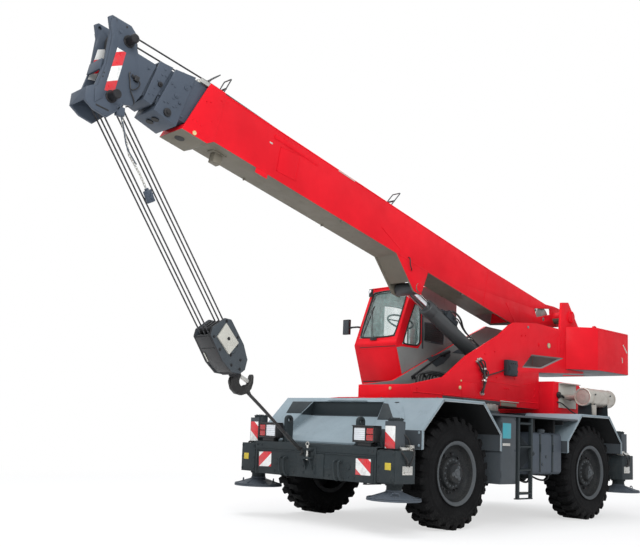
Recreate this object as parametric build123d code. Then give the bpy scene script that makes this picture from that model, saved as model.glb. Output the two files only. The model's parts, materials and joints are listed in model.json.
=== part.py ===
from build123d import *
import math
import os

os.makedirs("parts", exist_ok=True)

# Two-axle rough-terrain mobile crane, in millimetres.
# +Z is up, the boom points to -Y over the front of the carrier, +X is the carrier's left side.
# The origin is on the ground under the slewing axis.

# ---------------------------------------------------------------- driving dimensions
WHEELBASE = 3100
CARRIER_WIDTH = 2600
SHEET = 25                  # deck, fender and hood plate

TYRE_RADIUS = 650
TYRE_WIDTH = 375
RIM_RADIUS = 345            # where the tyre sits
RIM_FLANGE_RADIUS = 372
RIM_WALL = 20
WHEEL_PLANE_X = 1020
KINGPIN_X = 740
KINGPIN_RADIUS = 35
SPINDLE_RADIUS = 60
HUB_INNER_X = 890
HUB_RADIUS = 150
AXLE_RADIUS = 95
FORK_HALF_HEIGHT = 170
FORK_ARM = 50

RAIL_OUTER_X = 420
RAIL_WIDTH = 110
RAIL_BOTTOM = 780
RAIL_TOP = 1200

FENDER_TOP = 1450
FRONT_RISE = 50             # how much higher the front fenders and hood stand
FENDER_KNEE_Z = 1075
FENDER_SKIRT_Z = 915
FENDER_TOP_HALF = 400
FENDER_KNEE_HALF = 775
DECK_TOP = 1370
RECESS_LEFT = (460, 0.4)    # sides of the recess in the front hood: X at its top, and widening per mm down
RECESS_RIGHT = (-760, -0.32)
CHEEK = 12
LIP_DROP = 175

BOX_HALF_LENGTH = 1000      # housings of the outrigger beams
BOX_FROM_AXLE = 840         # along the carrier, from the axle to the housing
BOX_DEPTH = 340
BOX_BOTTOM = 530
BOX_TOP = 925
BOX_WALL = 14
BEAM_HEIGHT = 350
BEAM_TAIL_X = 960
BEAM_SKIN = 10
BEAM_HEAD_OUTER_X = 1270
JACK_X = 1120
JACK_TUBE_RADIUS = 85
JACK_TUBE_BOTTOM = 470
JACK_TUBE_TOP = 1230
JACK_LEG_RADIUS = 64
PAD_RADIUS = 300
PAD_BOTTOM = 360
LUG_X = 600
LUG_HOLE_Z = 1195
LUG_HOLE_RADIUS = 28

HOOD_HALF_WIDTH = 600       # engine hood
HOOD_FROM_AXLE = (50, 930)  # along the carrier, its front and rear faces
HOOD_TOP = 1940
HOOD_SKIN = 20
MUFFLER_RADIUS = 130
MUFFLER_X = 980
MUFFLER_Z = 1720
MUFFLER_FROM_AXLE = (210, 950)
TANK_RADIUS = 60

SLEW_RING_RADIUS = 600
SLEW_RING_WIDTH = 110
SLEW_RING_HEIGHT = 80
SLEW_RING_TOP = 1520
TURNTABLE_PLATE = 80
MAST_HALF = 450
MAST_WALL = 40
PIVOT_Y = 2350
PIVOT_Z = 2990
PIVOT_PIN_RADIUS = 60
COUNTERWEIGHT_HALF = 800
COUNTERWEIGHT_END = 3620
COUNTERWEIGHT_Z = (2165, 2830)

CAB_INNER_X = -470
CAB_OUTER_X = -1250
CAB_WALL = 45
CAB_ROOF = 3200
CAB_REAR = 650
CAB_FOOT_Y = -480
CAB_KNEE = (-730, 2320)
CAB_BROW_Y = -380
GLASS = 8
DOOR_Y = (-230, 560)
DOOR_Z = (1660, 3090)
SILL_Z = 2290
SEAT_HEIGHT = 620

BOOM_ANGLE = 12.8
BOOM_SKIN = 12
# half width, bottom, top, tail, front of each boom tube, across and along the boom from the pivot
BOOM_TUBES = {
    "boom_base": (190, -493, 82, 1600, 7170),
    "boom_section_2": (165, -468, 42, 1950, 7500),
    "boom_section_3": (140, -443, -5, 2050, 7700),
    "boom_section_4": (115, -418, -52, 2150, 8000),
}
SHOE_LENGTH = 150
HEAD_PLATE = 30
UPPER_SHEAVE = (8160, 0)
LOWER_SHEAVE = (8176, -630)
SHEAVE_RADIUS = 110
SHEAVE_WIDTH = 44
SHEAVE_PITCH = 70
SHEAVE_PIN_RADIUS = 30
JIB_PIN_HOLE = (8371, 112)
JIB_PIN_RADIUS = 20
ROPE_RADIUS = 9
ROPE_TILT = 35.6            # of the falls, from straight down towards the rear
ROPE_LENGTH = 2800
DRUM_CENTRE = (330, -130)
DRUM_RADIUS = 150
DRUM_FLANGE_RADIUS = 188
DRUM_HALF_LENGTH = 158
DRUM_SHAFT_RADIUS = 30

CYLINDER_BASE = (1300, 1850)
CYLINDER_EYE = (-1070, 2990)
CYLINDER_PIN_RADIUS = 45
CYLINDER_EYE_RADIUS = 85
CYLINDER_EYE_HALF = 158
BARREL_RADIUS = 100
BARREL_LENGTH = 2200
LIFT_ROD_RADIUS = 70
LIFT_ROD_LENGTH = 2180

# ---------------------------------------------------------------- named clearances
SEAT_GAP = 0.3              # between pieces that rest on or beside each other
FIT = 0.05                  # radial clearance of a pin or rod in its bore
MOVE_GAP = 6                # free space round a moving panel or beam

# ---------------------------------------------------------------- worked out from the above
FRONT, REAR = 1, -1
LEFT, RIGHT = 1, -1
AXLE_Y = WHEELBASE / 2
HUB_Z = TYRE_RADIUS
HALF_WIDTH = CARRIER_WIDTH / 2
RAIL_INNER_X = RAIL_OUTER_X - RAIL_WIDTH
CENTRE_HALF = RAIL_OUTER_X + 10     # half width of the centre deck, where the fenders start
BOX_INNER_Y = AXLE_Y + BOX_FROM_AXLE
BOX_OUTER_Y = BOX_INNER_Y + BOX_DEPTH
JACK_Y = BOX_INNER_Y + BOX_DEPTH / 2
HOOD_FRONT_Y, HOOD_REAR_Y = (AXLE_Y + step for step in HOOD_FROM_AXLE)
CROSS_MEMBER_Y = (-BOX_INNER_Y + 90, -AXLE_Y + 400, 0, AXLE_Y - 400, BOX_INNER_Y - 60)
PLATE_BOTTOM = SLEW_RING_TOP + SEAT_GAP
PLATE_TOP = SLEW_RING_TOP + TURNTABLE_PLATE

# ---------------------------------------------------------------- outlines
# side view of the mast plate and its window, and the base plate in plan
MAST_OUTLINE = [
    (-1480, PLATE_TOP), (-1480, 1700), (-830, 1832), (-350, 2146), (410, 2507), (673, 2680),
    (800, 2731), (1380, 2785), (2060, 2768), (2100, 3190), (2290, 3214), (2640, 2815),
    (2760, 2812), (2760, 2140), (1450, 2060), (1450, PLATE_TOP),
]
# the mast plate beside the cab is lower in front
CAB_SIDE_MAST = [
    (-1480, PLATE_TOP), (-1480, 1700), (-830, 1800), (-350, 2020), (410, 2370), (872, 2583),
    (1340, 2785),
] + MAST_OUTLINE[8:]
MAST_WINDOW = [(1000, 2100), (1250, 2310), (2150, 2335), (1530, 2125)]
PLATFORM = [
    (MAST_HALF, -1480), (MAST_HALF, 1450), (-MAST_HALF, 1450), (-MAST_HALF, 700),
    (CAB_OUTER_X, 700), (CAB_OUTER_X, CAB_FOOT_Y - 10), (-MAST_HALF, -1100), (-MAST_HALF, -1480),
]

# side view of the cab, its windows, door and hinges
CAB_OUTLINE = [
    (CAB_FOOT_Y, PLATE_TOP), CAB_KNEE, (CAB_BROW_Y, CAB_ROOF), (CAB_REAR, CAB_ROOF), (CAB_REAR, PLATE_TOP),
]
SCREEN_X = (CAB_OUTER_X + 60, CAB_INNER_X - 60)
SCREEN_SHARE = (0.12, 0.93)
SIDE_WINDOW = [(-590, 2330), (-325, 2960), (-215, 2960), (-195, 2400), (-250, 2330)]
REAR_WINDOW = (CAB_OUTER_X + 120, CAB_INNER_X - 120, 2350, 3050)
ROOF_WINDOW = (CAB_OUTER_X + 120, CAB_INNER_X - 120, -120, 450)
HINGE_Z = (1900, 2750)
HINGE_HEIGHT = 50
HINGE_RADIUS = 12
HINGE_X = CAB_OUTER_X - 14
HINGE_Y = DOOR_Y[1]
DOOR_WINDOW = (DOOR_Y[0] + 90, DOOR_Y[1] - 90, SILL_Z, DOOR_Z[1] - 90)

# front stiffener of each tube: (distance along, height) points, and how far it stands out
COLLARS = {
    "boom_base": ([(6950, -493), (7040, -560), (7370, -560), (7170, 90), (6960, 90)], 12),
    "boom_section_2": ([(7350, 60), (7430, -560), (7720, -525), (7600, 10)], 15),
    "boom_section_3": ([(7620, 25), (7745, -480), (7850, -470), (7780, 5)], 15),
}
# foot plates of the boom and the head plates, as (distance along, height)
FOOT_OUTLINE = [
    (1900, 82), (320, 118), (80, 170), (-110, 190), (-170, 60), (-130, -100), (0, -150),
    (500, -265), (1150, -493), (1900, -493),
]
FOOT_WINDOW = [(620, -60), (180, 95), (150, 10), (520, -165)]
FOOT_PLATE = 25
HEAD_OUTLINE = [
    (7805, -52), (8030, -57), (8075, 20), (8087, 108), (8180, 168), (8400, 155), (8432, 120),
    (8375, 0), (8340, -350), (8365, -600), (8440, -665), (8425, -790), (8310, -840), (8156, -845),
    (8064, -720), (8028, -630), (7941, -602), (7876, -444),
]
LIFT_BRACKET = [(3880, -488), (3420, -840), (3270, -840), (3200, -488)]
BRACKET_COVER = [(3860, -488), (3520, -745), (3508, -729), (3835, -488)]
HEAD_NOSE = [(8365, -600), (8440, -665), (8425, -790), (8405, -780), (8415, -675), (8345, -615)]

# side view of the hook block, and the hook below it
BLOCK_CHEEK = 30
BLOCK_OUTLINE = [
    (-165, 250), (-100, 305), (100, 305), (165, 250), (172, -60), (130, -225), (40, -300),
    (-40, -300), (-130, -225), (-172, -60),
]
BLOCK_COVER = (150, 162, -60, 240)
HOOK_RADIUS = 36
HOOK_BEND = 84
HOOK_DROP = 465             # from the block's sheaves to the centre of the bowl
BLOCK_BOTTOM = min(z for y, z in BLOCK_OUTLINE)


# ---------------------------------------------------------------- shape helpers
def block(x0, x1, y0, y1, z0, z1):
    """Box between the given faces, whichever order they come in."""
    size = (abs(x1 - x0), abs(y1 - y0), abs(z1 - z0))
    return Pos((x0 + x1) / 2, (y0 + y1) / 2, (z0 + z1) / 2) * Box(*size)


def bar_x(y, z, radius, x0, x1):
    """Round bar along X."""
    return Pos((x0 + x1) / 2, y, z) * Rot(0, 90, 0) * Cylinder(radius, abs(x1 - x0))


def bar_y(x, z, radius, y0, y1):
    """Round bar along Y."""
    return Pos(x, (y0 + y1) / 2, z) * Rot(90, 0, 0) * Cylinder(radius, abs(y1 - y0))


def bar_z(x, y, radius, z0, z1):
    """Round bar along Z."""
    return Pos(x, y, (z0 + z1) / 2) * Cylinder(radius, abs(z1 - z0))


def side_prism(points, x0, x1):
    """Outline of (y, z) points, extruded along X from x0 to x1."""
    face = make_face(Polyline(*points, close=True))
    return extrude(Plane.YZ.offset(min(x0, x1)) * face, amount=abs(x1 - x0), dir=(1, 0, 0))


def front_prism(points, y0, y1):
    """Outline of (x, z) points, extruded along Y from y0 to y1."""
    face = make_face(Polyline(*points, close=True))
    return extrude(Plane.XZ.offset(-y1) * face, amount=y1 - y0, dir=(0, -1, 0))


def plan_prism(points, z0, z1):
    """Outline of (x, y) points, extruded along Z from z0 to z1."""
    face = make_face(Polyline(*points, close=True))
    return extrude(Plane.XY.offset(z0) * face, amount=z1 - z0, dir=(0, 0, 1))


def mirror_x(shape):
    """The same shape on the other side of the centre plane."""
    return mirror(shape, about=Plane.YZ)


def placed(shape, side=LEFT, end=FRONT):
    """A shape drawn for the left front, put on the given side and at the given end."""
    if side == RIGHT:
        shape = mirror(shape, about=Plane.YZ)
    if end == REAR:
        shape = mirror(shape, about=Plane.XZ)
    return shape


def save(name, *solids):
    """Write one node; several solids of a node don't touch each other."""
    shape = solids[0] if len(solids) == 1 else Compound(children=list(solids))
    export_step(shape, f"parts/{name}.step")


# ---------------------------------------------------------------- chassis
def chassis_frame():
    """Two box rails with cross members and the pedestal of the slewing ring."""
    rail = block(RAIL_INNER_X, RAIL_OUTER_X, -BOX_INNER_Y, BOX_INNER_Y, RAIL_BOTTOM, RAIL_TOP)
    frame = rail + mirror_x(rail)
    for y in CROSS_MEMBER_Y:
        frame += block(-RAIL_INNER_X, RAIL_INNER_X, y - 40, y + 40, RAIL_BOTTOM + 40, RAIL_TOP - 40)
    slope = [(BOX_INNER_Y - 500, RAIL_TOP), (BOX_INNER_Y, BOX_TOP), (BOX_INNER_Y, RAIL_TOP)]
    for sign in (1, -1):
        frame -= side_prism([(sign * y, z) for y, z in slope], -RAIL_OUTER_X, RAIL_OUTER_X)
    top_plate = block(-RAIL_OUTER_X, RAIL_OUTER_X, -700, 700, RAIL_TOP - 30, RAIL_TOP)
    pedestal = bar_z(0, 0, SLEW_RING_RADIUS + 20, RAIL_TOP, SLEW_RING_TOP - SLEW_RING_HEIGHT)
    well = bar_z(0, 0, SLEW_RING_RADIUS - 120, RAIL_TOP + 30, SLEW_RING_TOP)
    return frame + top_plate + (pedestal - well)


def slew_ring():
    """Ring between the pedestal and the turntable."""
    bottom = SLEW_RING_TOP - SLEW_RING_HEIGHT
    ring = bar_z(0, 0, SLEW_RING_RADIUS, bottom, SLEW_RING_TOP)
    return ring - bar_z(0, 0, SLEW_RING_RADIUS - SLEW_RING_WIDTH, bottom, SLEW_RING_TOP)


def fender_outline(offset, rise):
    """Plate line over a wheel, moved in by offset, as (y from the wheel's centre, z)."""
    knee = FENDER_KNEE_HALF - offset
    shoulder = offset * math.tan(math.radians(22.5))
    half = [
        (-knee, FENDER_SKIRT_Z),
        (-knee, FENDER_KNEE_Z + rise - shoulder),
        (-FENDER_TOP_HALF + shoulder, FENDER_TOP + rise - offset),
    ]
    return half + [(-y, z) for y, z in reversed(half)]


def fender(side, end):
    """Folded plate over one wheel; the front slope stops at the recess of the hood."""
    rise = FRONT_RISE if end == FRONT else 0
    outline = fender_outline(0, rise) + list(reversed(fender_outline(SHEET, rise)))
    shape = side_prism([(y - AXLE_Y, z) for y, z in outline], CENTRE_HALF, HALF_WIDTH)
    if end == FRONT:
        lip_y = -AXLE_Y - FENDER_TOP_HALF
        recess = recess_prism(lip_y - 500, lip_y)
        shape -= mirror_x(recess) if side == RIGHT else recess
    return placed(shape, side, end)


def recess_x(side, z):
    """Side of the hood's recess at a height."""
    x, slope = side
    return x + slope * (FENDER_TOP - z)


def recess_prism(y0, y1):
    """Front view of the recess, which widens downwards, between two places along the carrier."""
    low = FENDER_SKIRT_Z - 50
    corners = [(recess_x(side, z), z) for side, z in (
        (RECESS_RIGHT, low), (RECESS_RIGHT, FENDER_TOP), (RECESS_LEFT, FENDER_TOP), (RECESS_LEFT, low))]
    return front_prism(corners, y0, y1)


def recess_cheek(side):
    """Plate that closes one side of the recess, from the fender's slope to the sloped panel."""
    low = FENDER_SKIRT_Z
    inward = -math.copysign(CHEEK, side[0])
    corners = [
        (recess_x(side, low), low), (recess_x(side, FENDER_TOP), FENDER_TOP),
        (recess_x(side, FENDER_TOP) + inward, FENDER_TOP), (recess_x(side, low) + inward, low),
    ]
    lip_y = -AXLE_Y - FENDER_TOP_HALF
    knee_y = -AXLE_Y - FENDER_KNEE_HALF
    between = side_prism(
        [(lip_y - 15, FENDER_TOP), (lip_y - FRONT_RISE, FENDER_TOP), (knee_y, FENDER_KNEE_Z + FRONT_RISE),
         (knee_y, FENDER_KNEE_Z - 75), (lip_y - 15, FENDER_TOP - LIP_DROP - 10)],
        -HALF_WIDTH, HALF_WIDTH)
    return between & front_prism(corners, knee_y - 10, lip_y)


def front_hood():
    """Top plate between the front fenders, its lip, and the sloped panel and cheeks of the recess."""
    lip_y = -AXLE_Y - FENDER_TOP_HALF
    foot_y = -BOX_INNER_Y - 30
    top_z = FENDER_TOP + FRONT_RISE
    panel = side_prism(
        [
            (lip_y, FENDER_TOP),
            (lip_y - SHEET, FENDER_TOP),
            (lip_y - SHEET, FENDER_TOP - LIP_DROP),
            (foot_y, BOX_TOP + SHEET),
            (foot_y, BOX_TOP),
            (lip_y, FENDER_TOP - LIP_DROP - 35),
        ],
        -HALF_WIDTH,
        HALF_WIDTH,
    )
    shape = panel & recess_prism(foot_y - 10, lip_y + 10)
    shape += recess_cheek(RECESS_LEFT) + recess_cheek(RECESS_RIGHT)
    rear_y = -AXLE_Y + FENDER_TOP_HALF
    shape += block(-CENTRE_HALF, CENTRE_HALF, lip_y, rear_y, top_z - SHEET, top_z)
    fold = [(lip_y + 30, top_z), (lip_y, top_z), (lip_y - FRONT_RISE, FENDER_TOP), (lip_y, FENDER_TOP)]
    shape += side_prism(fold, -CENTRE_HALF, CENTRE_HALF)
    leg = block(RAIL_INNER_X + 10, RAIL_OUTER_X - 10, lip_y + 40, lip_y + 80, RAIL_TOP, top_z - SHEET)
    return shape + leg + mirror_x(leg)


def deck_plate():
    """Deck between the front and rear fenders, with ribs that stand on the rails."""
    under = DECK_TOP - SHEET
    reach = AXLE_Y - (FENDER_TOP_HALF + FENDER_TOP - under)
    deck = block(-HALF_WIDTH, HALF_WIDTH, -reach + FRONT_RISE, reach, under, DECK_TOP)
    deck -= bar_z(0, 0, SLEW_RING_RADIUS + 20 + SEAT_GAP, under - 1, DECK_TOP + 1)
    for side in (LEFT, RIGHT):
        for y in (-690, 740):
            deck += placed(block(RAIL_INNER_X + 10, RAIL_OUTER_X - 10, y - 12, y + 12, RAIL_TOP, under), side)
        for y in (-420, 740):
            rib = block(SLEW_RING_RADIUS + 50, HALF_WIDTH - 50, y - 12, y + 12, under - 60, under)
            deck += placed(rib, side)
    return deck


def rear_deck():
    """Centre plate between the rear fenders, in front of the engine."""
    start_y = AXLE_Y - FENDER_TOP_HALF
    plate = block(-CENTRE_HALF, CENTRE_HALF, start_y, HOOD_FRONT_Y + 40, FENDER_TOP - SHEET, FENDER_TOP)
    leg = block(RAIL_INNER_X + 10, RAIL_OUTER_X - 10, start_y + 40, start_y + 80,
                RAIL_TOP, FENDER_TOP - SHEET)
    return plate + leg + mirror_x(leg)


def hood_outline(offset):
    """Side outline of the engine hood, moved in by offset at its closed faces."""
    return [
        (HOOD_FRONT_Y + offset, FENDER_TOP),
        (HOOD_FRONT_Y + offset, HOOD_TOP - offset),
        (HOOD_REAR_Y - 150 - offset * 0.4, HOOD_TOP - offset),
        (HOOD_REAR_Y - offset, HOOD_TOP - 130 - offset * 0.4),
        (HOOD_REAR_Y - offset, BOX_TOP),
        (BOX_INNER_Y + 2, BOX_TOP),
        (AXLE_Y + FENDER_KNEE_HALF + 1, FENDER_KNEE_Z),
        (AXLE_Y + FENDER_TOP_HALF, FENDER_TOP),
    ]


def engine_hood():
    """Sheet hood over the engine, open below."""
    shell = side_prism(hood_outline(0), -HOOD_HALF_WIDTH, HOOD_HALF_WIDTH)
    inner = HOOD_HALF_WIDTH - HOOD_SKIN
    room = side_prism(hood_outline(HOOD_SKIN), -inner, inner)
    return shell - room


def engine_block():
    """Plain block at the engine's place, on pads against the rails."""
    body = block(-280, 280, HOOD_FRONT_Y + 100, HOOD_REAR_Y - 200, RAIL_BOTTOM + 120, HOOD_TOP - 160)
    pad_y = AXLE_Y + 350
    pads = block(-RAIL_INNER_X, RAIL_INNER_X, pad_y, pad_y + 100, 1000, 1080)
    return body + pads


def muffler():
    """Round silencer on a cradle beside the engine hood."""
    front_y, rear_y = (AXLE_Y + step for step in MUFFLER_FROM_AXLE)
    body = bar_y(MUFFLER_X, MUFFLER_Z, MUFFLER_RADIUS, front_y, rear_y)
    cradle_top = MUFFLER_Z - MUFFLER_RADIUS + 20
    end_y = AXLE_Y + FENDER_TOP_HALF
    cradle = block(MUFFLER_X - 120, MUFFLER_X + 120, end_y - 110, end_y - 10, FENDER_TOP, cradle_top)
    inlet = bar_x(end_y - 100, MUFFLER_Z, 38, HOOD_HALF_WIDTH, MUFFLER_X)
    return body + cradle + inlet


def tank(side):
    """Long tank hung under the deck between the wheels."""
    body = block(890, 1240, -30, 710, 630, 1170)
    body = fillet(body.edges().filter_by(Axis.Y), TANK_RADIUS)
    for y in (80, 580):
        body += block(930, 1200, y, y + 40, 1100, DECK_TOP - SHEET)
    return placed(body, side)


def storage_box(side):
    """Locker hung under the deck behind the front wheel."""
    front_y = -AXLE_Y + FENDER_KNEE_HALF + SEAT_GAP
    body = block(960, 1280, front_y, -440, 520, DECK_TOP - SHEET)
    return placed(body, side)


def ladder(side):
    """Four-rung ladder under the edge of the deck."""
    stile_inner, stile_outer = 1250, 1285
    shape = None
    for y in (-400, -105):
        stile = block(stile_inner, stile_outer, y, y + 35, 340, DECK_TOP - SHEET)
        shape = stile if shape is None else shape + stile
    for i in range(4):
        shape += bar_y((stile_inner + stile_outer) / 2, 400 + 290 * i, 14, -380, -90)
    return placed(shape, side)


# ---------------------------------------------------------------- axles, knuckles and wheels
def axle(end):
    """Axle tube with differential, spring saddles and a fork for each knuckle."""
    y, z = -AXLE_Y, HUB_Z
    fork_inner = KINGPIN_X - 100
    web_outer = KINGPIN_X - 55
    shape = bar_x(y, z, AXLE_RADIUS, -fork_inner - 10, fork_inner + 10)
    shape += bar_x(y, z, 200, -120, 120)
    shape += bar_x(y, z, 150, -200, 200)
    for side in (LEFT, RIGHT):
        half = block(RAIL_INNER_X + 10, RAIL_OUTER_X - 10, y - 110, y + 110, z + 60, RAIL_BOTTOM)
        half += block(fork_inner, web_outer, y - 70, y + 70, z - FORK_HALF_HEIGHT, z + FORK_HALF_HEIGHT)
        for low in (z - FORK_HALF_HEIGHT, z + FORK_HALF_HEIGHT - FORK_ARM):
            half += block(web_outer, KINGPIN_X + 60, y - 70, y + 70, low, low + FORK_ARM)
        half -= bar_z(KINGPIN_X, y, KINGPIN_RADIUS + FIT, z - 300, z + 300)
        shape += placed(half, side)
    return placed(shape, LEFT, end)


def knuckle(side, end):
    """Steering knuckle with kingpin and wheel spindle."""
    y, z = -AXLE_Y, HUB_Z
    inner = FORK_HALF_HEIGHT - FORK_ARM - SEAT_GAP
    shape = bar_z(KINGPIN_X, y, 46, z - inner, z + inner)
    shape += bar_z(KINGPIN_X, y, KINGPIN_RADIUS, z - FORK_HALF_HEIGHT + 2, z + FORK_HALF_HEIGHT - 2)
    shape += bar_x(y, z, SPINDLE_RADIUS, KINGPIN_X, WHEEL_PLANE_X + 40)
    shape += bar_x(y, z, 105, KINGPIN_X + 60, HUB_INNER_X - SEAT_GAP)
    return placed(shape, side, end)


def rim(side, end):
    """Wheel rim with disc and the hub that runs on the spindle."""
    y, z, centre = -AXLE_Y, HUB_Z, WHEEL_PLANE_X
    half = TYRE_WIDTH / 2 - 6
    outer = RIM_RADIUS - SEAT_GAP
    inner = RIM_RADIUS - RIM_WALL
    shape = bar_x(y, z, outer, centre - half - 12, centre + half + 12)
    for sign in (-1, 1):
        edge = centre + sign * half
        shape += bar_x(y, z, RIM_FLANGE_RADIUS, edge, edge + sign * 12)
    shape -= bar_x(y, z, inner, centre - half - 13, centre + 55)
    shape -= bar_x(y, z, inner, centre + 75, centre + half + 13)
    shape += bar_x(y, z, HUB_RADIUS, HUB_INNER_X, centre + 80)
    shape += bar_x(y, z, HUB_RADIUS + 35, centre + 75, centre + 130)
    shape += bar_x(y, z, 120, centre + 130, centre + 190)
    shape -= bar_x(y, z, SPINDLE_RADIUS + FIT, HUB_INNER_X - 1, centre + 45)
    return placed(shape, side, end)


def tyre(side, end):
    """Tyre carcass: bead, bulged sidewalls, shoulders and crown, turned about the hub's axis."""
    bead = TYRE_WIDTH / 2 - 6 - SEAT_GAP
    half = TYRE_WIDTH / 2
    profile = [
        (bead, RIM_RADIUS), (bead, RIM_FLANGE_RADIUS + 4), (half, 480), (half, 540),
        (half - 12, 605), (half - 45, TYRE_RADIUS - 8), (half - 80, TYRE_RADIUS),
    ]
    points = profile + [(-x, r) for x, r in reversed(profile)]
    face = make_face(Plane.XZ * Polyline(*points, close=True))
    shape = Pos(WHEEL_PLANE_X, -AXLE_Y, HUB_Z) * revolve(face, Axis.X, 360)
    return placed(shape, side, end)


# ---------------------------------------------------------------- outriggers and lamps
def beam_channel(side):
    """Y range of the channel of one beam in the front housing: the left beam runs in front."""
    middle = -(BOX_INNER_Y + BOX_DEPTH / 2)
    if side == LEFT:
        return -BOX_OUTER_Y + BOX_WALL, middle - BOX_WALL / 2
    return middle + BOX_WALL / 2, -BOX_INNER_Y - BOX_WALL


def outrigger_box(end):
    """Cross housing with two beam channels, which is also the bumper, with its lifting lugs."""
    shape = block(-BOX_HALF_LENGTH, BOX_HALF_LENGTH, -BOX_OUTER_Y, -BOX_INNER_Y, BOX_BOTTOM, BOX_TOP)
    for side in (LEFT, RIGHT):
        y0, y1 = beam_channel(side)
        shape -= block(-BOX_HALF_LENGTH, BOX_HALF_LENGTH, y0, y1, BOX_BOTTOM + BOX_WALL, BOX_TOP - BOX_WALL)
    for x in (-LUG_X, LUG_X):
        lug = block(x - 20, x + 20, -JACK_Y - 60, -JACK_Y + 60, BOX_TOP, LUG_HOLE_Z)
        lug += bar_x(-JACK_Y, LUG_HOLE_Z, 60, x - 20, x + 20)
        shape += lug - bar_x(-JACK_Y, LUG_HOLE_Z, LUG_HOLE_RADIUS, x - 30, x + 30)
    return placed(shape, LEFT, end)


def outrigger_beam(side, end):
    """Sliding box beam with the head that carries the jack tube."""
    y0, y1 = beam_channel(side)
    y0, y1 = y0 + MOVE_GAP, y1 - MOVE_GAP
    z0 = BOX_BOTTOM + BOX_WALL + SEAT_GAP
    z1 = z0 + BEAM_HEIGHT
    head_x = BOX_HALF_LENGTH + MOVE_GAP
    shape = block(-BEAM_TAIL_X, head_x, y0, y1, z0, z1)
    shape -= block(-BEAM_TAIL_X, head_x, y0 + BEAM_SKIN, y1 - BEAM_SKIN, z0 + BEAM_SKIN, z1 - BEAM_SKIN)
    shape += block(head_x, BEAM_HEAD_OUTER_X, -BOX_OUTER_Y + 5, -BOX_INNER_Y - 5, z0, z1)
    shape += bar_z(JACK_X, -JACK_Y, JACK_TUBE_RADIUS, JACK_TUBE_BOTTOM, JACK_TUBE_TOP)
    shape -= bar_z(JACK_X, -JACK_Y, JACK_LEG_RADIUS + FIT, JACK_TUBE_BOTTOM - 1, JACK_TUBE_TOP - 30)
    return placed(shape, side, end)


def jack(side, end):
    """Jack leg with its round foot pad."""
    shape = bar_z(JACK_X, -JACK_Y, JACK_LEG_RADIUS, PAD_BOTTOM + 40, JACK_TUBE_TOP - 60)
    shape += bar_z(JACK_X, -JACK_Y, PAD_RADIUS, PAD_BOTTOM, PAD_BOTTOM + 20)
    shape += Pos(JACK_X, -JACK_Y, PAD_BOTTOM + 60) * Cone(PAD_RADIUS - 20, JACK_LEG_RADIUS + 20, 80)
    return placed(shape, side, end)


def lamp_cluster(side, end):
    """Lamp box on top of the outrigger housing."""
    shape = block(645, 960, -BOX_OUTER_Y, -BOX_OUTER_Y + 130, BOX_TOP + 50, BOX_TOP + 225)
    shape += block(700, 900, -BOX_OUTER_Y + 20, -BOX_OUTER_Y + 110, BOX_TOP, BOX_TOP + 50)
    return placed(shape, side, end)


# ---------------------------------------------------------------- turntable


def turntable_frame():
    """Base plate, two mast plates, the boom's pivot pin and the clevis of the lift cylinder."""
    shape = plan_prism(PLATFORM, PLATE_BOTTOM, PLATE_TOP)
    for side, outline in ((LEFT, MAST_OUTLINE), (RIGHT, CAB_SIDE_MAST)):
        plate = side_prism(outline, MAST_HALF - MAST_WALL, MAST_HALF)
        plate -= side_prism(MAST_WINDOW, MAST_HALF - MAST_WALL - 1, MAST_HALF + 1)
        plate += bar_x(PIVOT_Y, PIVOT_Z, 95, MAST_HALF - MAST_WALL, MAST_HALF + 25)
        shape += placed(plate, side)
    inner = MAST_HALF - MAST_WALL
    shape += block(-inner, inner, 2660, 2760, 2200, 2780)
    shape += block(-inner, inner, -1480, -1440, PLATE_TOP, 1700)
    shape += bar_x(PIVOT_Y, PIVOT_Z, PIVOT_PIN_RADIUS, -inner, inner)
    base_y, base_z = CYLINDER_BASE
    lug_inner = CYLINDER_EYE_HALF + 5
    for side in (LEFT, RIGHT):
        lug = side_prism(
            [(base_y - 160, PLATE_TOP), (base_y - 80, base_z + 50), (base_y - 30, base_z + 85),
             (base_y + 40, base_z + 85), (base_y + 90, base_z + 40), (base_y + 110, PLATE_TOP)],
            lug_inner, lug_inner + 35)
        shape += placed(lug, side)
    shape += bar_x(base_y, base_z, CYLINDER_PIN_RADIUS, -lug_inner - 35, lug_inner + 35)
    return shape


def counterweight():
    """Tail weight that wraps round the rear of the mast plates."""
    start_y, full_y, mast_end = 2200, 2560, 2760
    half = COUNTERWEIGHT_HALF
    plan = [
        (MAST_HALF, start_y), (half, full_y), (half, COUNTERWEIGHT_END - 60), (half - 60, COUNTERWEIGHT_END),
        (-half + 60, COUNTERWEIGHT_END), (-half, COUNTERWEIGHT_END - 60), (-half, full_y),
        (-MAST_HALF, start_y), (-MAST_HALF, mast_end), (MAST_HALF, mast_end),
    ]
    return plan_prism(plan, *COUNTERWEIGHT_Z)


# ---------------------------------------------------------------- cab


def inset(points, distance):
    """Closed outline of (y, z) points moved in by a distance; the points run clockwise."""
    moved = []
    count = len(points)
    for i in range(count):
        (ay, az), (by, bz), (cy, cz) = points[i - 1], points[i], points[(i + 1) % count]
        before = Vector(by - ay, bz - az).normalized()
        after = Vector(cy - by, cz - bz).normalized()
        normal_before = Vector(before.Y, -before.X)
        normal_after = Vector(after.Y, -after.X)
        step = (normal_before + normal_after) * (distance / (1 + normal_before.dot(normal_after)))
        moved.append((by + step.X, bz + step.Y))
    return moved


def screen_slot(x0, x1, low, high, depth0, depth1):
    """Slab through the windscreen's face, between two shares of its height and two depths."""
    (y0, z0), (y1, z1) = CAB_KNEE, (CAB_BROW_Y, CAB_ROOF)
    up = Vector(y1 - y0, z1 - z0)
    normal = Vector(up.Y, -up.X).normalized()
    corners = []
    for share, depth in ((low, depth0), (high, depth0), (high, depth1), (low, depth1)):
        point = Vector(y0, z0) + up * share + normal * depth
        corners.append((point.X, point.Y))
    return side_prism(corners, x0, x1)


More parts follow.
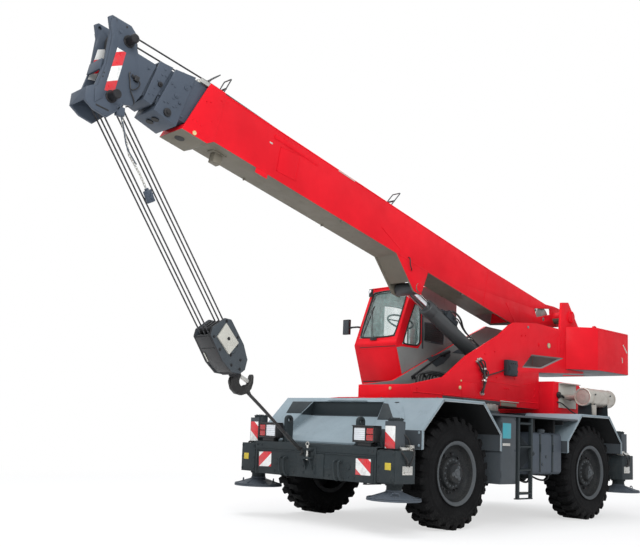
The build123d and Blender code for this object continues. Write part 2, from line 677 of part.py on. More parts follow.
def cab_shell():
    """Hollow cab with window and door openings and two hinge barrels for the door."""
    shell = side_prism(CAB_OUTLINE, CAB_OUTER_X, CAB_INNER_X)
    shell -= side_prism(inset(CAB_OUTLINE, CAB_WALL), CAB_OUTER_X + CAB_WALL, CAB_INNER_X - CAB_WALL)
    shell -= screen_slot(*SCREEN_X, *SCREEN_SHARE, -30, CAB_WALL + 30)
    shell -= side_prism(SIDE_WINDOW, CAB_INNER_X - CAB_WALL - 1, CAB_INNER_X + 1)
    x0, x1, z0, z1 = REAR_WINDOW
    shell -= block(x0, x1, CAB_REAR - CAB_WALL - 1, CAB_REAR + 1, z0, z1)
    x0, x1, y0, y1 = ROOF_WINDOW
    shell -= block(x0, x1, y0, y1, CAB_ROOF - CAB_WALL - 1, CAB_ROOF + 1)
    shell -= block(CAB_OUTER_X - 1, CAB_OUTER_X + CAB_WALL + 1, *DOOR_Y, *DOOR_Z)
    for z in HINGE_Z:
        shell += hinge_leaf(DOOR_Y[1] + 5, DOOR_Y[1] + 45, z, z + HINGE_HEIGHT)
    return shell


def hinge_leaf(y0, y1, z0, z1):
    """Half of a door hinge: a barrel on the hinge axis and its leaf on the wall."""
    leaf = block(HINGE_X - 4, CAB_OUTER_X, y0, y1, z0, z1)
    return leaf + bar_z(HINGE_X, HINGE_Y, HINGE_RADIUS, z0, z1)


def cab_glass():
    """Fixed panes of the cab, each on the middle of its wall."""
    near, far = (CAB_WALL - GLASS) / 2, (CAB_WALL + GLASS) / 2
    gap = SEAT_GAP
    share_gap = 0.0005
    screen = screen_slot(SCREEN_X[0] + gap, SCREEN_X[1] - gap, SCREEN_SHARE[0] + share_gap,
                         SCREEN_SHARE[1] - share_gap, near, far)
    side = side_prism(inset(SIDE_WINDOW, gap), CAB_INNER_X - far, CAB_INNER_X - near)
    x0, x1, z0, z1 = REAR_WINDOW
    rear = block(x0 + gap, x1 - gap, CAB_REAR - far, CAB_REAR - near, z0 + gap, z1 - gap)
    x0, x1, y0, y1 = ROOF_WINDOW
    roof = block(x0 + gap, x1 - gap, y0 + gap, y1 - gap, CAB_ROOF - far, CAB_ROOF - near)
    return screen, side, rear, roof


def cab_door():
    """Door on the outer side of the cab, with its window opening and hinge barrels."""
    gap = MOVE_GAP
    shape = block(CAB_OUTER_X, CAB_OUTER_X + CAB_WALL, DOOR_Y[0] + gap, DOOR_Y[1] - gap,
                  DOOR_Z[0] + gap, DOOR_Z[1] - gap)
    y0, y1, z0, z1 = DOOR_WINDOW
    shape -= block(CAB_OUTER_X - 1, CAB_OUTER_X + CAB_WALL + 1, y0, y1, z0, z1)
    for z in HINGE_Z:
        low = z + HINGE_HEIGHT + SEAT_GAP
        shape += hinge_leaf(DOOR_Y[1] - 50, DOOR_Y[1] - gap, low, low + HINGE_HEIGHT)
    return shape


def door_glass():
    """Pane of the cab door."""
    y0, y1, z0, z1 = DOOR_WINDOW
    gap = SEAT_GAP
    near, far = (CAB_WALL - GLASS) / 2, (CAB_WALL + GLASS) / 2
    return block(CAB_OUTER_X + near, CAB_OUTER_X + far, y0 + gap, y1 - gap, z0 + gap, z1 - gap)


def seat():
    """Driver's seat on its base."""
    middle = (CAB_OUTER_X + CAB_INNER_X) / 2
    floor = PLATE_TOP + CAB_WALL
    top = floor + SEAT_HEIGHT
    shape = block(middle - 150, middle + 150, 140, 400, floor, top - 120)
    shape += block(middle - 230, middle + 230, 60, 500, top - 120, top)
    back = [(400, top), (480, top + 640), (560, top + 640), (530, top)]
    shape += side_prism(back, middle - 220, middle + 220)
    return shape


def steering_column():
    """Console with leaning column and steering wheel."""
    middle = (CAB_OUTER_X + CAB_INNER_X) / 2
    floor = PLATE_TOP + CAB_WALL
    shape = block(middle - 90, middle + 90, -370, -250, floor, floor + 800)
    tilt = Pos(middle, -310, floor + 790) * Rot(-25, 0, 0)
    shape += tilt * (Pos(0, 0, 150) * Cylinder(25, 300))
    shape += tilt * (Pos(0, 0, 300) * (Torus(190, 15) + Box(380, 30, 16) + Cylinder(45, 30)))
    return shape


def mirror_arm():
    """Rear-view mirror on an arm from the outer front corner of the cab."""
    y, z = CAB_KNEE[0] + 60, CAB_KNEE[1] + 280
    arm = block(CAB_OUTER_X - 24, CAB_OUTER_X, y, y + 140, z - 12, z + 12)
    arm += block(CAB_OUTER_X - 200, CAB_OUTER_X, y, y + 24, z - 12, z + 12)
    return arm + block(CAB_OUTER_X - 290, CAB_OUTER_X - 170, y - 10, y + 34, z - 100, z + 120)


# ---------------------------------------------------------------- boom
def on_boom(shape):
    """Put a shape drawn along -Y from the pivot at the boom's parked angle."""
    return Pos(0, PIVOT_Y, PIVOT_Z) * Rot(-BOOM_ANGLE, 0, 0) * shape


def boom_prism(points, x0, x1):
    """Outline of (distance along the boom, height) points from the pivot, extruded along X."""
    return side_prism([(-s, h) for s, h in points], x0, x1)


def boom_block(x0, x1, s0, s1, h0, h1):
    """Box along the boom."""
    return block(x0, x1, -s1, -s0, h0, h1)


def boom_point(y, z):
    """Place of a point of the side view, as distance along the boom and height above the pivot."""
    angle = math.radians(BOOM_ANGLE)
    ahead, up = PIVOT_Y - y, z - PIVOT_Z
    return ahead * math.cos(angle) + up * math.sin(angle), up * math.cos(angle) - ahead * math.sin(angle)


def boom_tube(name, outer=None):
    """One hollow tube of the boom, with its front stiffener and the shoes that ride in the outer tube."""
    half, low, high, tail, front = BOOM_TUBES[name]
    shape = boom_block(-half, half, tail, front, low, high)
    if name in COLLARS:
        outline, stand = COLLARS[name]
        shape += boom_prism(outline, -half - stand, half + stand)
    if outer:
        outer_half, outer_low, outer_high = BOOM_TUBES[outer][:3]
        fit = BOOM_SKIN + SEAT_GAP
        shape += boom_block(-outer_half + fit, outer_half - fit, tail, tail + SHOE_LENGTH,
                            outer_low + fit, outer_high - fit)
    inner = half - BOOM_SKIN
    shape -= boom_block(-inner, inner, tail - 10, front + 900, low + BOOM_SKIN, high - BOOM_SKIN)
    return shape


def boom_base():
    """Base tube with its two foot plates, the winch's bearings and the cylinder's lugs."""
    half = BOOM_TUBES["boom_base"][0]
    shape = boom_tube("boom_base")
    plate = boom_prism(FOOT_OUTLINE, half - FOOT_PLATE, half)
    boss_end = MAST_HALF - MAST_WALL - 5
    plate += bar_x(0, 0, 90, half - FOOT_PLATE, boss_end)
    plate -= boom_prism(FOOT_WINDOW, half - FOOT_PLATE - 1, half + 1)
    drum_s, drum_h = DRUM_CENTRE
    plate += bar_x(-drum_s, drum_h, 50, half - FOOT_PLATE, half)
    plate -= bar_x(0, 0, PIVOT_PIN_RADIUS + FIT, 0, boss_end + 1)
    plate -= bar_x(-drum_s, drum_h, DRUM_SHAFT_RADIUS + FIT, 0, half + 1)
    shape += plate + mirror_x(plate)
    shape += boom_block(-half + FOOT_PLATE, half - FOOT_PLATE, 1150, 1180, -480, 60)
    shape += boom_block(-half + 5, half - 5, 1750, 1780, -485, 75)
    lug_inner, lug_outer = CYLINDER_EYE_HALF + 6, half
    lug = boom_prism(LIFT_BRACKET, lug_inner, lug_outer)
    eye_s, eye_h = boom_point(*CYLINDER_EYE)
    lug += bar_x(-eye_s, eye_h, 62, lug_outer, lug_outer + 20)
    shape += lug + mirror_x(lug)
    shape += boom_prism(BRACKET_COVER, -lug_inner, lug_inner)
    return on_boom(shape)


def winch_drum():
    """Hoist drum between the boom's foot plates."""
    s, h = DRUM_CENTRE
    shape = bar_x(-s, h, DRUM_RADIUS, -DRUM_HALF_LENGTH, DRUM_HALF_LENGTH)
    for side in (LEFT, RIGHT):
        outer = side * DRUM_HALF_LENGTH
        shape += bar_x(-s, h, DRUM_FLANGE_RADIUS, outer, outer - side * 14)
    half = BOOM_TUBES["boom_base"][0]
    shape += bar_x(-s, h, DRUM_SHAFT_RADIUS, -half, half)
    return on_boom(shape)


def boom_head():
    """Two head plates on the last tube, joined by a nose plate and a top bar."""
    inner = BOOM_TUBES["boom_section_4"][0]
    outer = inner + HEAD_PLATE
    plate = boom_prism(HEAD_OUTLINE, inner, outer)
    for s, h in (UPPER_SHEAVE, LOWER_SHEAVE):
        plate -= bar_x(-s, h, SHEAVE_PIN_RADIUS + FIT, inner - 1, outer + 1)
    plate -= bar_x(-JIB_PIN_HOLE[0], JIB_PIN_HOLE[1], JIB_PIN_RADIUS, inner - 1, outer + 1)
    shape = plate + mirror_x(plate)
    shape += boom_prism(HEAD_NOSE, -inner, inner)
    shape += boom_block(-inner, inner, 8345, 8365, -420, -300)
    return on_boom(shape)


def head_sheaves():
    """Upper and lower sheave sets of the head, each on its pin."""
    sets = []
    outer = BOOM_TUBES["boom_section_4"][0] + HEAD_PLATE
    for (s, h), radius in ((UPPER_SHEAVE, 135), (LOWER_SHEAVE, SHEAVE_RADIUS)):
        sheaves = bar_x(-s, h, SHEAVE_PIN_RADIUS, -outer - 30, outer + 30)
        for i in (-1, 0, 1):
            x = i * SHEAVE_PITCH
            sheaves += bar_x(-s, h, radius, x - SHEAVE_WIDTH / 2, x + SHEAVE_WIDTH / 2)
        sets.append(on_boom(sheaves))
    return sets


# ---------------------------------------------------------------- ropes and hook block
def sheave_centre():
    """Place of the lower head sheaves in the side view, as (y, z)."""
    angle = math.radians(BOOM_ANGLE)
    s, h = LOWER_SHEAVE
    y = PIVOT_Y - s * math.cos(angle) + h * math.sin(angle)
    return y, PIVOT_Z + s * math.sin(angle) + h * math.cos(angle)


def on_rope(shape, drop):
    """Put a shape drawn hanging straight down at a distance along the falls."""
    y, z = sheave_centre()
    tilt = Pos(0, y, z) * Rot(ROPE_TILT, 0, 0)
    return tilt * Pos(0, 0, -drop) * shape


def rope_falls():
    """Six straight rope falls between the head and the block."""
    offset = SHEAVE_RADIUS + ROPE_RADIUS + SEAT_GAP
    falls = []
    for i in (-1, 0, 1):
        for side in (-1, 1):
            fall = bar_z(i * SHEAVE_PITCH, side * offset, ROPE_RADIUS, -ROPE_LENGTH, 0)
            falls.append(on_rope(fall, 0))
    return falls


def hook_block():
    """Cheek plates, sheaves on a pin, and the trunnion that carries the hook."""
    inner = 1.5 * SHEAVE_PITCH + 15
    cheek = side_prism(BLOCK_OUTLINE, inner, inner + BLOCK_CHEEK)
    cheek += bar_x(0, 0, 60, inner + BLOCK_CHEEK, inner + BLOCK_CHEEK + 18)
    shape = cheek + mirror_x(cheek)
    shape += bar_x(0, 0, SHEAVE_PIN_RADIUS, -inner, inner)
    for i in (-1, 0, 1):
        x = i * SHEAVE_PITCH
        shape += bar_x(0, 0, SHEAVE_RADIUS, x - SHEAVE_WIDTH / 2, x + SHEAVE_WIDTH / 2)
    y0, y1, z0, z1 = BLOCK_COVER
    for side in (LEFT, RIGHT):
        shape += block(-inner, inner, side * y0, side * y1, z0, z1)
    shape += block(-inner, inner, -70, 70, BLOCK_BOTTOM + 10, -200)
    return on_rope(shape, ROPE_LENGTH)


def hook():
    """Forged single hook: shank, bowl and upturned point."""
    top = BLOCK_BOTTOM + 10 - SEAT_GAP
    shank = bar_z(0, 0, HOOK_RADIUS, -HOOK_DROP + HOOK_BEND, top)
    collar = bar_z(0, 0, 52, top - 35, top)
    profile = Pos(0, 0, HOOK_BEND) * (Plane.XZ * Circle(HOOK_RADIUS))
    bowl = revolve(profile, Axis.X, -235)
    bowl = Pos(0, 0, -HOOK_DROP) * bowl
    return on_rope(shank + collar + bowl, ROPE_LENGTH)


# ---------------------------------------------------------------- lift cylinder
def on_cylinder(shape):
    """Put a shape drawn along -Y from the base pin at the cylinder's parked angle."""
    (base_y, base_z), (eye_y, eye_z) = CYLINDER_BASE, CYLINDER_EYE
    tilt = math.degrees(math.atan2(eye_z - base_z, base_y - eye_y))
    return Pos(0, base_y, base_z) * Rot(-tilt, 0, 0) * shape


def cylinder_length():
    """Distance between the cylinder's two eyes when parked."""
    (base_y, base_z), (eye_y, eye_z) = CYLINDER_BASE, CYLINDER_EYE
    return math.hypot(eye_y - base_y, eye_z - base_z)


def lift_barrel():
    """Barrel of the lift cylinder with its base eye."""
    shape = bar_y(0, 0, BARREL_RADIUS, -BARREL_LENGTH, -CYLINDER_EYE_RADIUS + 25)
    shape += bar_x(0, 0, CYLINDER_EYE_RADIUS, -CYLINDER_EYE_HALF, CYLINDER_EYE_HALF)
    neck = CYLINDER_EYE_RADIUS + 45
    for side in (LEFT, RIGHT):
        cheek = block(CYLINDER_EYE_HALF, 200, -neck, 100, -150, 150)
        shape -= placed(cheek, side)
    shape -= bar_x(0, 0, CYLINDER_PIN_RADIUS + FIT, -200, 200)
    shape -= bar_y(0, 0, LIFT_ROD_RADIUS + FIT, -BARREL_LENGTH - 1, -CYLINDER_EYE_RADIUS - 15)
    return on_cylinder(shape)


def lift_rod():
    """Chromed rod of the lift cylinder with its eye."""
    reach = cylinder_length()
    shape = bar_y(0, 0, LIFT_ROD_RADIUS, -reach, -reach + LIFT_ROD_LENGTH)
    shape += bar_x(-reach, 0, CYLINDER_EYE_RADIUS, -CYLINDER_EYE_HALF, CYLINDER_EYE_HALF)
    return on_cylinder(shape)


# ---------------------------------------------------------------- write the nodes
save("chassis_frame", chassis_frame())
save("slew_ring", slew_ring())
save("deck_plates", deck_plate(), rear_deck())
save("front_hood", front_hood())
save("fenders", *[fender(side, end) for side in (LEFT, RIGHT) for end in (FRONT, REAR)])
save("engine_hood", engine_hood())
save("engine_block", engine_block())
save("muffler", muffler())
save("fuel_tank", tank(LEFT))
save("hydraulic_tank", tank(RIGHT))
save("storage_boxes", storage_box(LEFT), storage_box(RIGHT))
save("ladders", ladder(LEFT), ladder(RIGHT))
save("lamp_clusters", *[lamp_cluster(side, end) for side in (LEFT, RIGHT) for end in (FRONT, REAR)])
for end, end_name in ((FRONT, "front"), (REAR, "rear")):
    save(f"{end_name}_outrigger_box", outrigger_box(end))
    save(f"{end_name}_axle", axle(end))
    for side, side_name in ((LEFT, "left"), (RIGHT, "right")):
        place = f"{end_name}_{side_name}"
        save(f"knuckle_{place}", knuckle(side, end))
        save(f"rim_{place}", rim(side, end))
        save(f"tyre_{place}", tyre(side, end))
        save(f"outrigger_beam_{place}", outrigger_beam(side, end))
        save(f"jack_{place}", jack(side, end))
save("turntable_frame", turntable_frame())
save("counterweight", counterweight())
save("cab_shell", cab_shell())
save("cab_glass", *cab_glass())
save("cab_door", cab_door())
save("door_glass", door_glass())
save("seat", seat())
save("steering_column", steering_column())
save("cab_mirror", mirror_arm())
save("boom_base", boom_base())
save("boom_section_2", on_boom(boom_tube("boom_section_2", "boom_base")))
save("boom_section_3", on_boom(boom_tube("boom_section_3", "boom_section_2")))
save("boom_section_4", on_boom(boom_tube("boom_section_4", "boom_section_3")))
save("winch_drum", winch_drum())
save("boom_head", boom_head())
save("head_sheaves", *head_sheaves())
save("rope_falls", *rope_falls())
save("hook_block", hook_block())
save("hook", hook())
save("lift_barrel", lift_barrel())
save("lift_rod", lift_rod())
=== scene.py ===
"""Rough-terrain mobile crane: the finished look of the parts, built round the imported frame."""
import json
import math
import sys

import bpy
from mathutils import Matrix, Vector
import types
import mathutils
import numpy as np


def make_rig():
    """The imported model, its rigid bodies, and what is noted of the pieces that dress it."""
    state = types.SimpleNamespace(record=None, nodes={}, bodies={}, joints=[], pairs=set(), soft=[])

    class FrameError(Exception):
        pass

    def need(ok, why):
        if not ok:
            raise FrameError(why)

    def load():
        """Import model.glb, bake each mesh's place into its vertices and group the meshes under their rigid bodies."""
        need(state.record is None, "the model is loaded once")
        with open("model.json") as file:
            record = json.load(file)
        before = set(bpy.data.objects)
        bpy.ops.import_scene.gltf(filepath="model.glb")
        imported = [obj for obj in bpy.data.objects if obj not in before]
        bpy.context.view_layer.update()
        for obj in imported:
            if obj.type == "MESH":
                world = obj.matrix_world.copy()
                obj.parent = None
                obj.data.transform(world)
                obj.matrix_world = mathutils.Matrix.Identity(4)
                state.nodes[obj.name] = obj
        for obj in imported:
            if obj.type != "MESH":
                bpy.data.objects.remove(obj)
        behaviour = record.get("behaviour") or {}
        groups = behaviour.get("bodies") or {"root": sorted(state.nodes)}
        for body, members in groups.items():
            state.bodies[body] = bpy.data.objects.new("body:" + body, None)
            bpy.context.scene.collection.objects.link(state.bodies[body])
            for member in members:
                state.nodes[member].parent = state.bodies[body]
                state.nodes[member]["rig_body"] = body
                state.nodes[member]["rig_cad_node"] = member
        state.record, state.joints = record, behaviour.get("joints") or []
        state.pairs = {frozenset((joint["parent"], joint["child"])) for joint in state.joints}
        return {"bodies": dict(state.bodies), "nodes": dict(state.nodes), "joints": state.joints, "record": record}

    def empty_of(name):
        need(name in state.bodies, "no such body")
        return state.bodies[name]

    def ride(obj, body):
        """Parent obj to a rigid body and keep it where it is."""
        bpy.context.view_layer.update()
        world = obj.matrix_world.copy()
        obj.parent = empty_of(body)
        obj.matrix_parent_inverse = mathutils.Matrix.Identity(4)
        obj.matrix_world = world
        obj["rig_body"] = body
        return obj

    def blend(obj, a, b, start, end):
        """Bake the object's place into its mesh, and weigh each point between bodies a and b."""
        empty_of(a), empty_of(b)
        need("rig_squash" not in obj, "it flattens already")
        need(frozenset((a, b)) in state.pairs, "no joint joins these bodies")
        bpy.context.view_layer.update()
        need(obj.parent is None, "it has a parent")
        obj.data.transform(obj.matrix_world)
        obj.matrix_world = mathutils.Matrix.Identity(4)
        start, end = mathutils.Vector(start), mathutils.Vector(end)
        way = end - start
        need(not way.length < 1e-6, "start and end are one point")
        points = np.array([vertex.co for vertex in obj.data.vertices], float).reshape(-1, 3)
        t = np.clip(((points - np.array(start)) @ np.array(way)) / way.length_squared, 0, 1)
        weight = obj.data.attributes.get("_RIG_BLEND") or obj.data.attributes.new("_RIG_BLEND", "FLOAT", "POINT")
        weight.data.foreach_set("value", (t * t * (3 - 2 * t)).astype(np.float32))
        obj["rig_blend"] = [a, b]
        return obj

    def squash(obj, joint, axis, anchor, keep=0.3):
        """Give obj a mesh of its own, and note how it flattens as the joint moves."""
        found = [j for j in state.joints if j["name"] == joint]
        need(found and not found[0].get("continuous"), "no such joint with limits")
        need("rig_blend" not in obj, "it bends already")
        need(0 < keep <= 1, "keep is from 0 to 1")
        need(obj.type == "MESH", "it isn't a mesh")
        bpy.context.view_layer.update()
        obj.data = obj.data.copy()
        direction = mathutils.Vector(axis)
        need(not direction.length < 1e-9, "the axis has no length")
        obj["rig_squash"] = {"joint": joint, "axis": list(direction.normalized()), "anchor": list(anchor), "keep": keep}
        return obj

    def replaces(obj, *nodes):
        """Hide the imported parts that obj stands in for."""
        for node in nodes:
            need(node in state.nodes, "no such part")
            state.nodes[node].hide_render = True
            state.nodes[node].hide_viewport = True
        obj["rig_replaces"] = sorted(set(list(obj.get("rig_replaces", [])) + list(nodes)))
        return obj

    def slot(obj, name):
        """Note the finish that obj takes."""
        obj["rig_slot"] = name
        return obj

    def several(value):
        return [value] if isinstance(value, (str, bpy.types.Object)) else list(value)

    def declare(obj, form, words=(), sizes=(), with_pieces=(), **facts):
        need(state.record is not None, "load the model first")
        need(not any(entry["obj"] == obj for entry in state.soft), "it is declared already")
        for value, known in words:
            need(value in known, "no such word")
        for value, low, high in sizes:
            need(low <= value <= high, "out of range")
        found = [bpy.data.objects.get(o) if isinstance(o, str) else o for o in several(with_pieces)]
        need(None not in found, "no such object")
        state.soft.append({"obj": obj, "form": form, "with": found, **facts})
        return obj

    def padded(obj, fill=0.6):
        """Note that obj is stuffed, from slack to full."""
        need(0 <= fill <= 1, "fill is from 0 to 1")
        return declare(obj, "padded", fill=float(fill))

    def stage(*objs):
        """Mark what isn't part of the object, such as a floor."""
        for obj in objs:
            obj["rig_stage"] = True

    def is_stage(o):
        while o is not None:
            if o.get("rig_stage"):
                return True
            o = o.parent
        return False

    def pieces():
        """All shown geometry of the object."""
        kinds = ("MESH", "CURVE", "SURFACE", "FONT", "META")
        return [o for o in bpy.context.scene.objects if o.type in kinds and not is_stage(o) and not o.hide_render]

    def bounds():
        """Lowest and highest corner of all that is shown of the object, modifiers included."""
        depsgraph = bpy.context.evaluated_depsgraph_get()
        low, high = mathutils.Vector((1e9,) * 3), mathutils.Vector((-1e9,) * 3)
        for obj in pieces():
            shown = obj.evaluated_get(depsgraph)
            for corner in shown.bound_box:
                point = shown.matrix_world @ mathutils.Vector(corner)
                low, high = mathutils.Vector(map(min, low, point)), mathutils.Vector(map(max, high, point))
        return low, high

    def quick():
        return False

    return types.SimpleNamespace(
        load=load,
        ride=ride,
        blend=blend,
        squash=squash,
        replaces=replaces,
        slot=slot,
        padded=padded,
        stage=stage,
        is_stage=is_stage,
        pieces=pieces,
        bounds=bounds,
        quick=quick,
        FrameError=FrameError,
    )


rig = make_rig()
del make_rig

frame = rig.load()

bl_info = {
    "name": "Mobile crane finish",
    "version": (1, 0, 0),
    "blender": (4, 5, 0),
    "location": "View3D > Sidebar > Crane",
    "description": "Builds the detailed surfaces of a two-axle mobile crane round its frame",
    "category": "Object",
}

CAD_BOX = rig.bounds()
SLOTS = {part["node"]: part["material_slot"] for part in frame["record"]["subparts"]}
BODY_OF = {}
for body_name, node_names in frame["record"]["behaviour"]["bodies"].items():
    for node_name in node_names:
        BODY_OF[node_name] = body_name

# ------------------------------------------------------------------ directions and outer faces of the parts
LEFT, FORWARD, BACK, UP = (1, 0, 0), (0, -1, 0), (0, 1, 0), (0, 0, 1)
ORIGIN = (0, 0, 0)
BASE_SIDE, SECTION_2_SIDE, SECTION_3_SIDE, TIP_SIDE, HEAD_SIDE = 0.188, 0.18, 0.155, 0.145, 0.143
MAST_SIDE, MAST_INSIDE = 0.45, -0.409
PLATFORM_FOOT, PLATFORM_TOP = 1.524, 1.6
SEAT_X = -0.86
BUMPER_FACE = -2.73
JACK_X, JACK_Y = 1.12, -2.56
CARRIER_SIDE, DECK_TOP, ENGINE_SIDE = 1.28, 1.499, 0.602
WEIGHT_SIDE, WEIGHT_REAR = 0.799, 3.617

# ------------------------------------------------------------------ frame of each sloping part
BOOM_ANGLE = 12.8
ROPE_TILT = 35.6
DRUM = (0.33, -0.13)
UPPER_SHEAVE = (8.16, 0.0)
LOWER_SHEAVE = (8.176, -0.63)
ROPE_LENGTH = 2.8
SHEAVE = 0.11
ROPE = 0.009
ROPE_LAY = 0.052
ROPE_REACH = SHEAVE + ROPE
ROPE_SPACING = 0.07
GROOVES = (-ROPE_SPACING, 0, ROPE_SPACING)
CYLINDER_BASE = Vector((0, 1.3, 1.85))
CYLINDER_EYE = Vector((0, -1.07, 2.99))
PIVOT = Vector((0, 2.35, 2.99))


def tilted(origin, degrees):
    """Matrix of a part's own axes, turned about X and placed at origin."""
    return Matrix.Translation(origin) @ Matrix.Rotation(math.radians(degrees), 4, "X")


BOOM = tilted(PIVOT, -BOOM_ANGLE)
LOW_SHEAVE_CENTRE = BOOM @ Vector((0, -LOWER_SHEAVE[0], LOWER_SHEAVE[1]))
FALLS = tilted(LOW_SHEAVE_CENTRE, ROPE_TILT)
BLOCK = FALLS @ Matrix.Translation((0, 0, -ROPE_LENGTH))
CYLINDER_LENGTH = (CYLINDER_EYE - CYLINDER_BASE).length
CYLINDER = tilted(CYLINDER_BASE, -math.degrees(math.atan2(
    CYLINDER_EYE.z - CYLINDER_BASE.z, CYLINDER_BASE.y - CYLINDER_EYE.y)))


# ------------------------------------------------------------------ modelling tools
def clear():
    """Leave edit mode and select nothing."""
    if bpy.context.object and bpy.context.object.mode != "OBJECT":
        bpy.ops.object.mode_set(mode="OBJECT")
    bpy.ops.object.select_all(action="DESELECT")


def pick(*objects):
    """Select these objects only, the first one active."""
    clear()
    for obj in objects:
        obj.select_set(True)
    bpy.context.view_layer.objects.active = objects[0]
    return objects[0]


def settle(obj, matrix=None):
    """Place an object and apply its place, so that it sits at the origin."""
    if matrix is not None:
        obj.matrix_world = matrix @ obj.matrix_world
    pick(obj)
    bpy.ops.object.transform_apply(location=True, rotation=True, scale=True)
    return obj


def soften(obj, width, segments=2, angle=32):
    """Round the edges sharper than an angle."""
    if width <= 0:
        return obj
    pick(obj)
    bevel = obj.modifiers.new("edges", "BEVEL")
    bevel.width = width
    bevel.segments = segments
    bevel.limit_method = "ANGLE"
    bevel.angle_limit = math.radians(angle)
    bevel.miter_outer = "MITER_ARC"
    bevel.harden_normals = False
    bpy.ops.object.modifier_apply(modifier=bevel.name)
    return obj


def box(lo, hi, bevel=0.004, segments=2):
    """Block between two corners with rounded edges."""
    clear()
    lo, hi = Vector(lo), Vector(hi)
    size = Vector([abs(b - a) for a, b in zip(lo, hi)])
    bpy.ops.mesh.primitive_cube_add(size=1, location=(lo + hi) / 2, scale=size)
    return soften(settle(bpy.context.object), bevel, segments)


def bar(start, end, radius, vertices=28, bevel=0.0, end_radius=None):
    """Round bar or cone between two points."""
    clear()
    start, end = Vector(start), Vector(end)
    along = end - start
    bpy.ops.mesh.primitive_cone_add(
        vertices=vertices, radius1=radius, radius2=radius if end_radius is None else end_radius,
        depth=along.length, location=(start + end) / 2, rotation=along.to_track_quat("Z", "Y").to_euler())
    return soften(settle(bpy.context.object), bevel, 2, 50)


def chain(points):
    """Line of vertices through the points, left in edit mode with all of it selected."""
    clear()
    points = [Vector(p) for p in points]
    bpy.ops.mesh.primitive_plane_add(size=0.01, enter_editmode=True, location=(0, 0, 0))
    bpy.ops.mesh.select_mode(type="VERT")
    bpy.ops.mesh.select_all(action="SELECT")
    bpy.ops.mesh.merge(type="CENTER")
    bpy.ops.transform.translate(value=points[0])
    for before, after in zip(points, points[1:]):
        bpy.ops.mesh.extrude_region_move(TRANSFORM_OT_translate={"value": after - before})
    bpy.ops.mesh.select_all(action="SELECT")
    return bpy.context.object


def plate(points, thickness, bevel=0.003, segments=2):
    """Flat piece with a closed outline of 3-D points, extruded by the thickness vector."""
    thickness = Vector(thickness)
    obj = chain([*points, points[0]])
    bpy.ops.mesh.remove_doubles(threshold=1e-5)
    bpy.ops.mesh.edge_face_add()
    bpy.ops.mesh.extrude_region_move(TRANSFORM_OT_translate={"value": thickness})
    bpy.ops.mesh.select_all(action="SELECT")
    bpy.ops.mesh.normals_make_consistent(inside=False)
    bpy.ops.object.mode_set(mode="OBJECT")
    return soften(obj, bevel, segments)


def side_plate(points, x0, x1, bevel=0.003, segments=2):
    """Plate with an outline of (y, z) points between two values of x."""
    return plate([(x0, y, z) for y, z in points], (x1 - x0, 0, 0), bevel, segments)


def side_panel(y0, y1, z0, z1, x0, x1, bevel=0.003):
    """Rectangular plate between two values of x."""
    return plate(rectangle(x0, y0, y1, z0, z1), (x1 - x0, 0, 0), bevel)


def rectangle(x, y0, y1, z0, z1):
    """Corners of an upright rectangle at x."""
    return [(x, y0, z0), (x, y1, z0), (x, y1, z1), (x, y0, z1)]


def lathe(profile, centre, axis="X", steps=48):
    """Solid or shell turned about an axis through centre; the profile is (along, radius) points."""
    centre = Vector(centre)
    ways = {"X": (LEFT, UP), "Y": (BACK, UP), "Z": (UP, LEFT)}
    along, out = (Vector(v) for v in ways[axis])
    obj = chain([centre + along * a + out * r for a, r in profile])
    bpy.ops.mesh.spin(steps=steps, dupli=False, angle=2 * math.pi, center=centre, axis=along)
    bpy.ops.mesh.select_all(action="SELECT")
    bpy.ops.mesh.remove_doubles(threshold=2e-5)
    bpy.ops.mesh.normals_make_consistent(inside=False)
    bpy.ops.object.mode_set(mode="OBJECT")
    return obj


def ring(profile, centre, axis="X", steps=48):
    """Closed section turned about an axis."""
    return lathe(list(profile) + [profile[0]], centre, axis, steps)


def tube(points, radius, sides=8, order=3, closed=False):
    """Hose, rod or cable along a smooth line."""
    clear()
    bpy.ops.curve.primitive_nurbs_path_add(location=(0, 0, 0))
    obj = bpy.context.object
    spline = obj.data.splines[0]
    if len(points) > 5:
        spline.points.add(len(points) - 5)
    places = list(points) + [points[-1]] * max(0, 5 - len(points))
    if len(points) < 5:
        a, b = Vector(points[-2]), Vector(points[-1])
        spare = 5 - len(points)
        places = list(points[:-1]) + [a.lerp(b, (i + 1) / (spare + 1)) for i in range(spare)] + [b]
    for point, place in zip(spline.points, places):
        point.co = (*place, 1)
    spline.order_u = order
    spline.use_endpoint_u = not closed
    spline.use_cyclic_u = closed
    obj.data.bevel_depth = radius
    obj.data.bevel_resolution = max(0, sides // 4 - 1)
    obj.data.resolution_u = 10
    obj.data.use_fill_caps = True
    bpy.ops.object.convert(target="MESH")
    return bpy.context.object


def copy_of(obj, matrix=None):
    """Copy with its own mesh, moved by a matrix."""
    new = obj.copy()
    new.data = obj.data.copy()
    bpy.context.collection.objects.link(new)
    if matrix is not None:
        new.data.transform(matrix)
        if matrix.determinant() < 0:
            new.data.flip_normals()
    return new


def merged(*objects):
    """One object from several."""
    objects = list(objects)
    if len(objects) > 1:
        pick(*objects)
        bpy.ops.object.join()
    return objects[0]


def repeated(obj, places):
    """The object at each place, as one object; the one given is used up."""
    copies = [
        copy_of(obj, place if isinstance(place, Matrix) else Matrix.Translation(place)) for place in places]
    bpy.data.objects.remove(obj)
    return merged(*copies)


def path(place, *points):
    """Points given in a part's own measures, turned into places by its function."""
    return [place(*point) for point in points]


MIRROR = Matrix.Scale(-1, 4, LEFT)
TO_REAR = Matrix.Scale(-1, 4, BACK)


def both_sides(obj):
    """The object and its mirror image on the other side."""
    return merged(obj, copy_of(obj, MIRROR))


